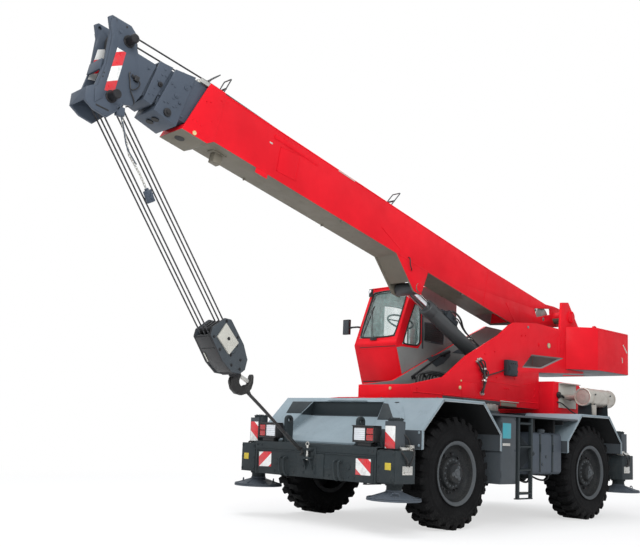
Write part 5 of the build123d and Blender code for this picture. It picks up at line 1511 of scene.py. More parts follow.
class CRANE_OT_between(bpy.types.Operator):
    """Fill the room between the mast plates: valve bank, hoses, rods and brackets"""
    bl_idname = "crane.between"
    bl_label = "Hydraulics between the masts"

    def execute(self, context):
        bank = [box((-0.33, -0.62, PLATFORM_TOP), (-0.13, -0.18, PLATFORM_TOP + 0.03), 0.004)]
        for i in range(6):
            y = -0.59 + i * 0.068
            bank.append(box((-0.31, y, PLATFORM_TOP + 0.028), (-0.15, y + 0.06, PLATFORM_TOP + 0.15), 0.006))
            bank.append(
                bar((-0.23, y + 0.03, PLATFORM_TOP + 0.148), (-0.23, y + 0.03, PLATFORM_TOP + 0.19), 0.018,
                    18, 0.003))
        manifold = merged(lathe([(0, 0), (0, 0.13), (0.02, 0.13), (0.024, 0.095), (0.15, 0.09), (0.156, 0.08),
                                 (0.2, 0.06), (0.2, 0)], (0, 0, PLATFORM_TOP), "Z", 40),
                          bolt_circle((0, 0, PLATFORM_TOP + 0.02), UP, 0.112, 10, 0.01, 0.01))
        done(merged(*bank, manifold), "valve_bank", "turntable", "iron", "dark_iron")
        hoses = []
        for i in range(6):
            y = -0.56 + i * 0.068
            lift = 0.06 + 0.018 * (i % 3)
            hoses.append(tube([(-0.23, y, PLATFORM_TOP + 0.185), (-0.225, y, PLATFORM_TOP + 0.24 + lift),
                    (-0.15, y + 0.08, PLATFORM_TOP + 0.27 + lift),
                    (-0.06 + 0.02 * i, -0.1, PLATFORM_TOP + 0.22 + lift),
                    (-0.05 + 0.022 * i, -0.02, PLATFORM_TOP + 0.215),
                    (-0.05 + 0.02 * i, 0.0, PLATFORM_TOP + 0.165)], 0.012, 10))
        for i, x in enumerate((-0.34, -0.3, 0.3, 0.34)):
            hoses.append(tube([(x, -1.0, PLATFORM_TOP + 0.03), (x, -0.2, PLATFORM_TOP + 0.045),
                    (x * 0.98, 0.4, PLATFORM_TOP + 0.06 + 0.01 * i), (x, 0.9, PLATFORM_TOP + 0.1),
                    (x, 1.3, PLATFORM_TOP + 0.12), (x * 0.96, 1.43, PLATFORM_TOP + 0.09)], 0.013, 10))
        done(merged(*hoses), "hydraulic_hoses", "turntable", "hose", "black_plastic")
        rods = merged(
            bar((MAST_INSIDE + 0.01, -0.45, 1.877), (MAST_INSIDE + 0.01, 0.192, 2.23), 0.013, 16, 0.002),
            bar((MAST_INSIDE + 0.01, 0.192, 2.23), (MAST_INSIDE + 0.05, 0.36, 2.3), 0.02, 16, 0.003),
            *[disc((MAST_INSIDE - 0.001, y, z), LEFT, radius, 0.022)
                for y, z, radius in ((-0.402, 1.881, 0.02),
                (-0.37, 1.866, 0.014), (-0.43, 1.86, 0.014), (-0.18, 1.928, 0.022), (-0.145, 1.905, 0.015),
                (0.073, 1.947, 0.018), (0.1, 1.925, 0.013), (0.29, 2.24, 0.02), (0.35, 2.28, 0.014))])
        done(rods, "mast_rod_and_fittings", "turntable", "iron", "dark_iron")
        plates = merged(side_plate([(-0.118, 2.16), (0.403, 2.33), (0.44, 2.25), (0.273, 2.12), (0.11, 2.06)],
                MAST_INSIDE - 0.001, MAST_INSIDE + 0.007),
            side_plate([(0.48, 2.3), (0.9, 2.48), (1.15, 2.48), (1.15, 2.3)], MAST_INSIDE - 0.001,
                MAST_INSIDE + 0.005),
            side_plate([(-1.25, 1.62), (-0.6, 1.62), (-0.6, 1.72), (-1.0, 1.7)], MAST_INSIDE - 0.001,
                MAST_INSIDE + 0.006))
        done(plates, "mast_inner_plates", "turntable", "slate_grey", "red_paint")
        stays = [bar((-0.412, y, z), (0.412, y, z), 0.034, 24, 0.003) for y, z in ((0.7, 1.66), (1.9, 2.42))]
        lugs = bolts(
            [(0.208, CYLINDER_BASE.y + shift, CYLINDER_BASE.z) for shift in (0.058, -0.058)], LEFT, 0.01,
            0.01)
        keeper = both_sides(merged(box((0.198, 1.235, 1.832), (0.208, 1.365, 1.868), 0.003), lugs))
        done(merged(*stays, keeper), "mast_cross_stays", "turntable", "shade", "red_paint")
        return {"FINISHED"}


class CRANE_OT_cylinder(bpy.types.Operator):
    """Add the gland, holding valve, pipes and clamps of the lift cylinder"""
    bl_idname = "crane.cylinder"
    bl_label = "Lift cylinder details"

    def execute(self, context):
        gland = merged(
            ring([(2.07, 0.098), (2.07, 0.108), (2.08, 0.112), (2.17, 0.112), (2.18, 0.108), (2.196, 0.108),
                  (2.204, 0.1), (2.204, 0.0715), (2.19, 0.0715), (2.19, 0.098)], ORIGIN, "Y", 48),
            ring([(0.13, 0.098), (0.13, 0.11), (0.16, 0.11), (0.168, 0.098)], ORIGIN, "Y", 48))
        gland.data.transform(TO_REAR)
        gland.data.flip_normals()
        slots = []
        for i in range(8):
            turn = 2 * math.pi * i / 8
            slots.append(bar(on_cylinder(0.112 * math.cos(turn), 2.125, 0.112 * math.sin(turn)),
                             on_cylinder(0.1135 * math.cos(turn), 2.125, 0.1135 * math.sin(turn)), 0.011, 16))
        done(merged(gland, *slots), "cylinder_gland", "lift_barrel", "barrel", "dark_paint", matrix=CYLINDER)
        valve = merged(
            box((-0.06, -1.8, 0.09), (0.06, -1.6, 0.196), 0.008, 3),
            box((-0.045, -1.6, 0.1), (0.045, -1.52, 0.18), 0.006),
            *[bar(*path(on_cylinder, start, end), radius, 6, bevel) for start, end, radius, bevel in (
                ((0, 1.84, 0.15), (0, 1.79, 0.15), 0.034, 0.003),
                ((0, 1.88, 0.15), (0, 1.835, 0.15), 0.022, 0.002),
                ((0.02, 1.74, 0.19), (0.02, 1.74, 0.224), 0.024, 0.002),
                ((-0.02, 1.66, 0.19), (-0.02, 1.66, 0.222), 0.024, 0.002),
                ((0.055, 1.66, 0.15), (0.085, 1.66, 0.15), 0.02, 0.002),
                ((0.0, 1.56, 0.175), (0.0, 1.56, 0.2), 0.017, 0.002))])
        done(valve, "holding_valve", "lift_barrel", "slate_box", "dark_iron", matrix=CYLINDER)
        hoses = merged(tube(path(on_cylinder, (0.03, 1.74, 0.2), (0.06, 1.738, 0.222), (0.09, 1.67, 0.22),
                (0.09, 1.56, 0.212), (0.06, 1.46, 0.19), (0.05, 1.4, 0.15), (0.05, 1.3, 0.13)), 0.014, 12),
            tube(path(on_cylinder, (-0.03, 1.66, 0.2), (-0.06, 1.655, 0.222), (-0.08, 1.6, 0.22),
                (-0.07, 1.5, 0.204), (-0.05, 1.43, 0.17), (-0.045, 1.35, 0.135), (-0.045, 1.25, 0.13)), 0.012,
                12),
            tube(path(on_cylinder, (0.083, 1.66, 0.15), (0.118, 1.65, 0.15), (0.122, 1.56, 0.12),
                (0.1, 1.45, 0.1), (0.085, 1.35, 0.1)), 0.01, 10))
        done(hoses, "cylinder_hoses", "lift_barrel", "hose", "black_plastic", matrix=CYLINDER)
        pipes = merged(tube(path(on_cylinder, (0.05, 1.32, 0.13), (0.05, 0.9, 0.128), (0.05, 0.4, 0.128),
                (0.05, 0.26, 0.128), (0.048, 0.23, 0.09)), 0.012, 12),
            tube(path(on_cylinder, (-0.045, 1.27, 0.13), (-0.045, 0.9, 0.128), (-0.045, 0.4, 0.128),
                (-0.045, 0.23, 0.128), (-0.044, 0.2, 0.09)), 0.012, 12),
            tube(path(on_cylinder, (0.02, 1.85, 0.112), (0.02, 2.0, 0.116), (0.02, 2.06, 0.116),
                (0.02, 2.085, 0.106)), 0.01, 10))
        done(pipes, "cylinder_pipes", "lift_barrel", "barrel", "dark_paint", matrix=CYLINDER)
        clamps = []
        for along in (0.42, 0.86, 1.18):
            clamps.append(box((-0.08, -along - 0.018, 0.092), (0.08, -along + 0.018, 0.112), 0.003))
            clamps.append(box((-0.072, -along - 0.014, 0.14), (0.072, -along + 0.014, 0.146), 0.002))
            clamps.append(bolts([(0, -along, 0.145)], UP, 0.01, 0.01))
        done(merged(*clamps), "cylinder_clamps", "lift_barrel", "bright", "bare_steel", matrix=CYLINDER)
        cap = merged(
            *[disc((side * 0.157, -CYLINDER_LENGTH, 0), (side, 0, 0), 0.06, 0.005) for side in (-1, 1)])
        nipple = merged(bar((0.0, -CYLINDER_LENGTH, 0.083), (0.0, -CYLINDER_LENGTH, 0.1), 0.009, 6, 0.001),
            bar((0.0, -CYLINDER_LENGTH, 0.098), (0.0, -CYLINDER_LENGTH, 0.11), 0.005, 10))
        done(merged(cap, nipple), "rod_eye_details", "lift_rod", "iron", "chromed_rod", matrix=CYLINDER)
        pin = merged(*[disc((side * 0.18, -3.319, -0.758), (side, 0, 0), 0.046, 0.014) for side in (-1, 1)])
        done(pin, "lift_pin_caps", "boom_base", "iron", "red_paint", matrix=BOOM)
        return {"FINISHED"}


# ------------------------------------------------------------------ cab
KNEE = Vector((0, -0.73, 2.32))
SCREEN_UP, SCREEN_OUT = Vector((0, 0.3696, 0.9292)), Vector((0, -0.9292, 0.3696))
PANEL_DOWN, PANEL_OUT = Vector((0, 0.328, -0.9447)), Vector((0, -0.9447, -0.328))
STEERING = tilted((SEAT_X, -0.31, 2.435), -25)


def on_screen(x, up, out=0.0):
    """Point on the windscreen's plane, measured up from the cab's knee."""
    return Vector((x, 0, 0)) + KNEE + SCREEN_UP * up + SCREEN_OUT * out


def on_panel(x, down, out=0.0):
    """Point on the lower front panel, measured down from the cab's knee."""
    return Vector((x, 0, 0)) + KNEE + PANEL_DOWN * down + PANEL_OUT * out


def front_strip(x0, x1, top, foot, thickness, bevel):
    """Flat piece on the lower front panel, between two distances down from the cab's knee."""
    return plate(path(on_panel, (x0, top), (x1, top), (x1, foot), (x0, foot)), PANEL_OUT * thickness, bevel)


def frame_of(corners, radius, cut=0.05):
    """Moulding that runs round an opening with cut corners."""
    points = []
    corners = [Vector(c) for c in corners]
    for i, corner in enumerate(corners):
        for other in (corners[i - 1], corners[(i + 1) % len(corners)]):
            toward = other - corner
            points.append(corner + toward.normalized() * min(cut, toward.length / 3))
    return tube(points, radius, 8, 3, closed=True)


class CRANE_OT_cab(bpy.types.Operator):
    """Add the cab's seals, panels, wiper, lamps, roof guard and side fittings"""
    bl_idname = "crane.cab"
    bl_label = "Cab outside"

    def execute(self, context):
        left, right = -1.19, -0.53
        screen = path(on_screen, (left, 0.114), (right, 0.114), (right, 0.881), (left, 0.881))
        side = [(-0.469, y, z)
            for y, z in ((-0.59, 2.33), (-0.325, 2.96), (-0.215, 2.96), (-0.195, 2.4), (-0.25, 2.33))]
        rear = [(x, 0.651, z) for x, z in ((-1.13, 2.35), (-0.59, 2.35), (-0.59, 3.05), (-1.13, 3.05))]
        top = [(x, y, 3.201) for x, y in ((-1.13, -0.12), (-0.59, -0.12), (-0.59, 0.45), (-1.13, 0.45))]
        seals = [frame_of(screen, 0.012, 0.045), frame_of(side, 0.011, 0.035), frame_of(rear, 0.012),
            frame_of(top, 0.011)]
        seals.append(frame_of([p - SCREEN_OUT * 0.045 for p in screen], 0.009, 0.045))
        done(merged(*seals), "cab_window_seals", "turntable", "seal", "black_plastic")
        done(frame_of(rectangle(-1.251, -0.14, 0.47, 2.29, 3.0), 0.011), "door_window_seal", "cab_door",
            "seal", "black_plastic")
        done(frame_of(rectangle(-1.2515, -0.23, 0.56, 1.66, 3.09), 0.005, 0.03), "door_gap_seal", "turntable",
            "seal", "black_plastic")

        panel = front_strip(-1.215, -0.5, 0.07, 0.52, 0.004, 0.002)
        lower = front_strip(-1.215, -0.5, 0.552, 0.74, 0.004, 0.002)
        corner = plate(
            [on_screen(x, u) for x, u in ((-1.246, 0.01), (-0.474, 0.01), (-0.474, 0.06), (-1.246, 0.06))],
            SCREEN_OUT * 0.003, 0.002)
        gutter = tube([(-1.252, -0.37, 3.192), (-1.252, 0.2, 3.194), (-1.252, 0.652, 3.19)], 0.008, 8, 2)
        brow = tube(
            path(on_screen, (-1.245, 0.94, 0.004), (-0.86, 0.942, 0.006), (-0.475, 0.94, 0.004)), 0.009, 8, 2)
        bolts_low = bolts(
            [on_panel(x, d, 0.003) for x in (-1.17, -0.545) for d in (0.11, 0.48)], PANEL_OUT, 0.008, 0.007)
        done(merged(panel, lower, corner, gutter, brow, bolts_low), "cab_front_panels", "turntable", "red",
            "red_paint")
        grooves = merged(front_strip(-1.15, -0.48, 0.03, 0.038, 0.002, 0),
            front_strip(-1.215, -0.49, 0.528, 0.544, 0.003, 0))
        done(grooves, "cab_front_grooves", "turntable", "seal", "red_paint")

        # Painted shade: a thin grey plate over the cab's near side, which lies in the boom's shade.
        wall = side_plate(
            [(-0.708, 2.268), (-0.497, 1.665), (0.64, 1.665), (0.64, 3.188), (-0.2, 3.188), (-0.178, 2.975),
                (-0.16, 2.39), (-0.238, 2.295), (-0.6, 2.29)],
            -0.4705, -0.4665, 0.001)
        done(wall, "cab_side_cladding", "turntable", "shade", "red_paint")
        trims = merged(
            side_plate([(-0.158, 2.3), (-0.128, 2.3), (-0.15, 2.975), (-0.176, 2.975)], -0.468, -0.462,
                0.002),
            side_plate([(-0.118, 2.69), (0.06, 2.4), (0.34, 2.4), (0.34, 2.69)], -0.467, -0.4655, 0.001),
            frame_of(rectangle(-0.466, -0.118, 0.34, 2.41, 2.69), 0.006, 0.03))
        done(trims, "cab_side_trims", "turntable", "slate_grey", "red_paint")
        hatch = side_panel(-0.1, 0.325, 2.425, 2.675, -0.4665, -0.4645, 0.001)
        louvres = [box((-0.4655, -0.08, 2.445 + i * 0.03), (-0.458, 0.305, 2.457 + i * 0.03), 0.002)
            for i in range(7)]
        done(merged(hatch, *louvres), "cab_side_louvres", "turntable", "black", "black_plastic")

        wiper = merged(disc(on_screen(-0.899, 0.1, 0.0), SCREEN_OUT, 0.02, 0.034),
            tube(path(on_screen, (-0.899, 0.1, 0.03), (-0.94, 0.22, 0.044), (-1.02, 0.42, 0.04),
                (-1.084, 0.6, 0.028)), 0.006, 8),
            tube(path(on_screen, (-0.93, 0.095, 0.026), (-0.965, 0.21, 0.04), (-1.045, 0.41, 0.038),
                (-1.096, 0.56, 0.028)), 0.004, 8),
            bar(on_screen(-1.118, 0.18, 0.018), on_screen(-1.072, 0.63, 0.018), 0.007, 10, 0.001),
            bar(on_screen(-1.119, 0.18, 0.008), on_screen(-1.073, 0.63, 0.008), 0.0035, 6),
            box(on_screen(-0.96, 0.068, 0.004), on_screen(-0.84, 0.1, 0.03), 0.004))
        done(wiper, "cab_wiper", "turntable", "black", "black_plastic")
        lamp = merged(box(on_screen(-1.24, 0.8, 0.01), on_screen(-1.165, 0.9, 0.075), 0.01, 3),
                      bar(on_screen(-1.203, 0.85, 0.0), on_screen(-1.203, 0.85, 0.02), 0.012, 14, 0.001))
        done(lamp, "cab_work_lamp", "turntable", "black", "black_plastic")
        face = disc(on_screen(-1.203, 0.853, 0.0735), SCREEN_OUT, 0.028, 0.006)
        done(face, "cab_work_lamp_lens", "turntable", "clear", "window_glass")

        dress("cab_mirror", FINISHES["black"], 0.006, 3)
        cover = box((-1.528, -0.6815, 2.514), (-1.432, -0.678, 2.706), 0.0015)
        done(cover, "mirror_back_cover", "turntable", "slate_grey", "black_plastic")
        glass = box((-1.532, -0.6365, 2.51), (-1.428, -0.6345, 2.71), 0.0008)
        clampbit = merged(disc((-1.46, -0.632, 2.6), BACK, 0.022, 0.02),
            bar((-1.475, -0.64, 2.6), (-1.4, -0.64, 2.6), 0.015, 14, 0.002))
        done(glass, "mirror_glass_pane", "turntable", "mirror", "window_glass")
        done(clampbit, "mirror_clamp", "turntable", "iron", "black_plastic")

        guard = [
            tube([(x, -0.15, 3.195), (x, -0.14, 3.232), (x, 0.16, 3.24), (x, 0.47, 3.232), (x, 0.48, 3.195)],
                0.008, 8)
            for x in (-1.06, -0.96, -0.86, -0.76, -0.66)]
        guard += [bar((-1.12, y, 3.23), (-0.6, y, 3.23), 0.008, 12, 0.001) for y in (-0.11, 0.44)]
        roof_ribs = [
            box((-1.18, 0.52 + i * 0.045, 3.198), (-0.54, 0.54 + i * 0.045, 3.206), 0.003) for i in range(2)]
        done(merged(*guard), "roof_guard", "turntable", "black", "black_plastic")
        done(merged(*roof_ribs), "roof_ribs", "turntable", "red", "red_paint")
        vents = [
            box((-1.05, 0.648, 1.8 + i * 0.05), (-0.67, 0.66, 1.818 + i * 0.05), 0.003) for i in range(7)]
        done(merged(*vents), "cab_rear_vents", "turntable", "shade", "red_paint")

        handle = merged(box((-1.262, -0.17, 2.06), (-1.249, -0.05, 2.12), 0.004, 3),
            tube([(-1.258, -0.16, 2.09), (-1.284, -0.15, 2.09), (-1.284, -0.09, 2.09), (-1.26, -0.07, 2.09)],
                0.008, 8))
        done(handle, "door_handle", "cab_door", "black", "black_plastic")
        rail = tube([(-1.25, 0.4, 1.75), (-1.29, 0.395, 1.77), (-1.292, 0.385, 1.95), (-1.29, 0.375, 2.16),
                (-1.25, 0.37, 2.18)],
            0.011, 10)
        door_panel = side_panel(-0.19, 0.52, 1.7, 2.23, -1.253, -1.2495, 0.0015)
        done(door_panel, "door_lower_panel", "cab_door", "red", "red_paint")
        done(rail, "door_grab_rail", "cab_door", "black", "black_plastic")
        hinge_caps = merged(*[bar((-1.264, 0.56, z - 0.004), (-1.264, 0.56, z + 0.054), 0.0125, 20,
                0.002) for z in (1.9, 2.75)],
            *[bolts([(-1.2685, 0.585, z + dz) for z in (1.9, 2.75) for dz in (0.013, 0.037)], (-1, 0, 0),
                0.005, 0.004)])
        done(hinge_caps, "door_hinge_caps", "turntable", "iron", "red_paint")
        return {"FINISHED"}


def crowned(size, pull=0.01, cuts=6):
    """Slab for a cushion before it is filled: rounded, with sides that pull in between its corners."""
    clear()
    bpy.ops.mesh.primitive_cube_add(size=1, location=ORIGIN, scale=size)
    obj = settle(bpy.context.object)
    pick(obj)
    bpy.ops.object.mode_set(mode="EDIT")
    bpy.ops.mesh.select_all(action="SELECT")
    bpy.ops.mesh.subdivide(number_cuts=cuts)
    bpy.ops.object.mode_set(mode="OBJECT")
    half = [v / 2 for v in size]
    for vertex in obj.data.vertices:
        x, y, z = vertex.co
        u, v, w = x / half[0], y / half[1], z / half[2]
        vertex.co.x -= u * pull * (1 - v * v)
        vertex.co.y -= v * pull * (1 - u * u)
        vertex.co.z += w * half[2] * 0.1 * (1 - u * u) * (1 - v * v)
    return soften(obj, min(half) * 0.55, 4, 40)


def filled(obj, pressure=4.0, cap=0.012, voxel=0.009, steps=20):
    """Fill a cushion by a short cloth simulation, with how far a point may move held to the cap."""
    pick(obj)
    remesh = obj.modifiers.new("skin", "REMESH")
    remesh.mode = "VOXEL"
    remesh.voxel_size = voxel
    bpy.ops.object.modifier_apply(modifier=remesh.name)
    before = [v.co.copy() for v in obj.data.vertices]
    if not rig.quick():
        cloth = obj.modifiers.new("fill", "CLOTH")
        cloth.settings.quality = 5
        cloth.settings.mass = 0.3
        cloth.settings.use_pressure = True
        cloth.settings.uniform_pressure_force = pressure
        cloth.settings.effector_weights.gravity = 0
        scene = bpy.context.scene
        for frame_number in range(1, steps + 1):
            scene.frame_set(frame_number)
        shape = obj.evaluated_get(bpy.context.evaluated_depsgraph_get()).data
        after = [v.co.copy() for v in shape.vertices]
        obj.modifiers.clear()
        scene.frame_set(1)
        for vertex, old, new in zip(obj.data.vertices, before, after):
            move = new - old
            if move.length > cap:
                move = move.normalized() * cap
            vertex.co = old + move
    return obj


def channelled(obj, lines, depth=0.007, width=0.01, top=0.0):
    """Press sewn channels into the upper side: x positions of lines that run along Y."""
    for vertex in obj.data.vertices:
        if vertex.co.z > top:
            for x in lines:
                vertex.co.z -= depth * math.exp(-((vertex.co.x - x) / width) ** 2)
    pick(obj)
    smooth = obj.modifiers.new("round", "SUBSURF")
    smooth.levels = smooth.render_levels = 1
    bpy.ops.object.modifier_apply(modifier=smooth.name)
    return obj


def piping(size, height):
    """Welt cord round a cushion's upper edge."""
    a, b = size[0] / 2 - 0.004, size[1] / 2 - 0.004
    corners = [(-a, -b, height), (a, -b, height), (a, b, height), (-a, b, height)]
    return frame_of(corners, 0.0045, 0.05)


class CRANE_OT_cab_inside(bpy.types.Operator):
    """Build the seat, the console with its wheel and levers, and the cab's inner trim"""
    bl_idname = "crane.cab_inside"
    bl_label = "Cab inside"

    def execute(self, context):
        size = (0.452, 0.428, 0.105)
        cushion = channelled(filled(crowned(size)), (-0.09, 0.09), top=0.02)
        cushion.data.transform(Matrix.Translation((SEAT_X, 0.28, 2.205)))
        done(cushion, "seat_cushion", "turntable", "seat", "seat_fabric", replaces=("seat",))
        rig.padded(cushion, fill=0.8)
        welt = copy_of(piping(size, 0.046), Matrix.Translation((SEAT_X, 0.28, 2.205)))
        size = (0.43, 0.6, 0.08)
        lean = Matrix.Translation((SEAT_X, 0.488, 2.585)) @ Matrix.Rotation(math.radians(83), 4, "X")
        back = channelled(filled(crowned(size)), (-0.085, 0.085), top=0.015)
        back.data.transform(lean)
        done(back, "seat_back", "turntable", "seat", "seat_fabric")
        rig.padded(back, fill=0.8)
        welt_back = copy_of(piping(size, 0.034), lean)
        for spare in [
            o for o in bpy.data.objects if o.name.startswith("NurbsPath") and o not in (welt, welt_back)]:
            bpy.data.objects.remove(spare)
        done(merged(welt, welt_back), "seat_piping", "turntable", "black", "seat_fabric")
        base = merged(box((SEAT_X - 0.18, 0.11, 2.09), (SEAT_X + 0.18, 0.45, 2.15), 0.012, 3),
            box((SEAT_X - 0.14, 0.15, 1.7), (SEAT_X + 0.14, 0.39, 2.09), 0.016, 3),
            box((SEAT_X - 0.175, 0.13, 1.646), (SEAT_X + 0.175, 0.42, 1.7), 0.006),
            *[box((SEAT_X + side * 0.245 - 0.022, 0.15, 2.33), (SEAT_X + side * 0.245 + 0.022, 0.44, 2.372),
                0.014, 4) for side in (-1, 1)],
            *[bar((SEAT_X + side * 0.245, 0.43, 2.15), (SEAT_X + side * 0.245, 0.43, 2.34), 0.014, 16,
                0.002) for side in (-1, 1)],
            *[box((SEAT_X + side * 0.235 - 0.05, 0.415, 2.145), (SEAT_X + side * 0.235 + 0.012, 0.455, 2.165),
                0.004) for side in (-1, 1)],
            *[bar((SEAT_X - 0.15, 0.165, 1.73 + i * 0.06), (SEAT_X + 0.15, 0.165, 1.73 + i * 0.06), 0.026, 20,
                0.004) for i in range(5)])
        done(base, "seat_base", "turntable", "black", "black_plastic")
        levers = []
        for side in (-1, 1):
            for y in (0.17, 0.215):
                levers.append(
                    bar((SEAT_X + side * 0.245, y, 2.37), (SEAT_X + side * 0.245, y - 0.03, 2.45), 0.005, 12,
                        0.001))
                levers.append(lathe([(0, 0), (0.004, 0.012), (0.018, 0.017), (0.032, 0.012), (0.038, 0)],
                                    (SEAT_X + side * 0.245, y - 0.03, 2.445), "Z", 20))
        done(merged(*levers), "control_levers", "turntable", "black", "black_plastic")

        console = merged(box((SEAT_X - 0.095, -0.374, 1.646), (SEAT_X + 0.095, -0.252, 2.33), 0.012, 3),
            box((SEAT_X - 0.165, -0.4, 2.3), (SEAT_X + 0.165, -0.25, 2.44), 0.022, 4),
            box((SEAT_X - 0.105, -0.255, 1.76), (SEAT_X + 0.105, -0.245, 2.26), 0.004),
            *[bolts([(SEAT_X + x, -0.245, z) for x in (-0.09, 0.09) for z in (1.79, 2.23)], BACK, 0.006,
                0.004)])
        done(console, "console_housing", "turntable", "trim", "black_plastic", replaces=("steering_column",))
        dials = []
        for x, z, radius in (
            (-0.11, 2.385, 0.032), (-0.035, 2.385, 0.032), (0.04, 2.385, 0.032), (0.11, 2.395, 0.02),
            (0.11, 2.355, 0.012)):
            dials.append(disc((SEAT_X + x, -0.252, z), BACK, radius, 0.007))
        for i in range(5):
            dials.append(
                box((SEAT_X - 0.12 + i * 0.03, -0.252, 2.322), (SEAT_X - 0.104 + i * 0.03, -0.24, 2.338),
                    0.002))
        done(merged(*dials), "console_dials", "turntable", "black", "black_plastic")
        shaft = lathe([(-0.01, 0), (-0.01, 0.05), (0.02, 0.048), (0.028, 0.036), (0.05, 0.04), (0.06, 0.03),
                (0.29, 0.026), (0.296, 0.034), (0.318, 0.034), (0.324, 0.028), (0.326, 0)],
            ORIGIN, "Z", 32)
        section = [(0.3 + 0.014 * math.sin(i * math.pi / 5), 0.19 + 0.014 * math.cos(i * math.pi / 5))
            for i in range(10)]
        wheel = [ring(section, ORIGIN, "Z", 56)]
        for turn in (90, 210, 330):
            c, s = math.cos(math.radians(turn)), math.sin(math.radians(turn))
            wheel.append(
                bar((c * 0.03, s * 0.03, 0.305), (c * 0.186, s * 0.186, 0.3), 0.01, 12, 0.001, 0.008))
        stalk = tube([(0.03, 0, 0.23), (0.09, 0.01, 0.235), (0.15, 0.015, 0.25)], 0.006, 8)
        done(merged(shaft, *wheel, stalk), "steering_wheel", "turntable", "black", "black_plastic",
            matrix=STEERING)
        pedals = merged(*[plate([(SEAT_X + x - 0.035, -0.3, 1.7), (SEAT_X + x + 0.035, -0.3, 1.7),
                (SEAT_X + x + 0.035, -0.345, 1.79), (SEAT_X + x - 0.035, -0.345, 1.79)], (0, 0.01, 0.006),
                0.003) for x in (-0.2, 0.19)],
            *[bar((SEAT_X + x, -0.36, 1.66), (SEAT_X + x, -0.32, 1.745), 0.009, 12) for x in (-0.2, 0.19)])
        done(pedals, "pedals", "turntable", "black", "black_plastic")
        floor_mat = [box((-1.195, -0.42, 1.6455), (-0.525, 0.59, 1.652), 0.002)]
        floor_mat += [
            box((-1.18 + i * 0.05, -0.4, 1.65), (-1.165 + i * 0.05, 0.58, 1.656), 0.002) for i in range(13)]
        done(merged(*floor_mat), "floor_mat", "turntable", "black", "black_plastic")
        return {"FINISHED"}


# ------------------------------------------------------------------ carrier
def hex_row(y, z, xs, radius=0.012):
    """Bolt heads in a row on the front of the bumper."""
    return bolts([(x, y, z) for x in xs], FORWARD, radius, 0.01)


def front_and_rear(obj):
    """The piece at the front and at the rear, as one object."""
    return merged(obj, copy_of(obj, TO_REAR))


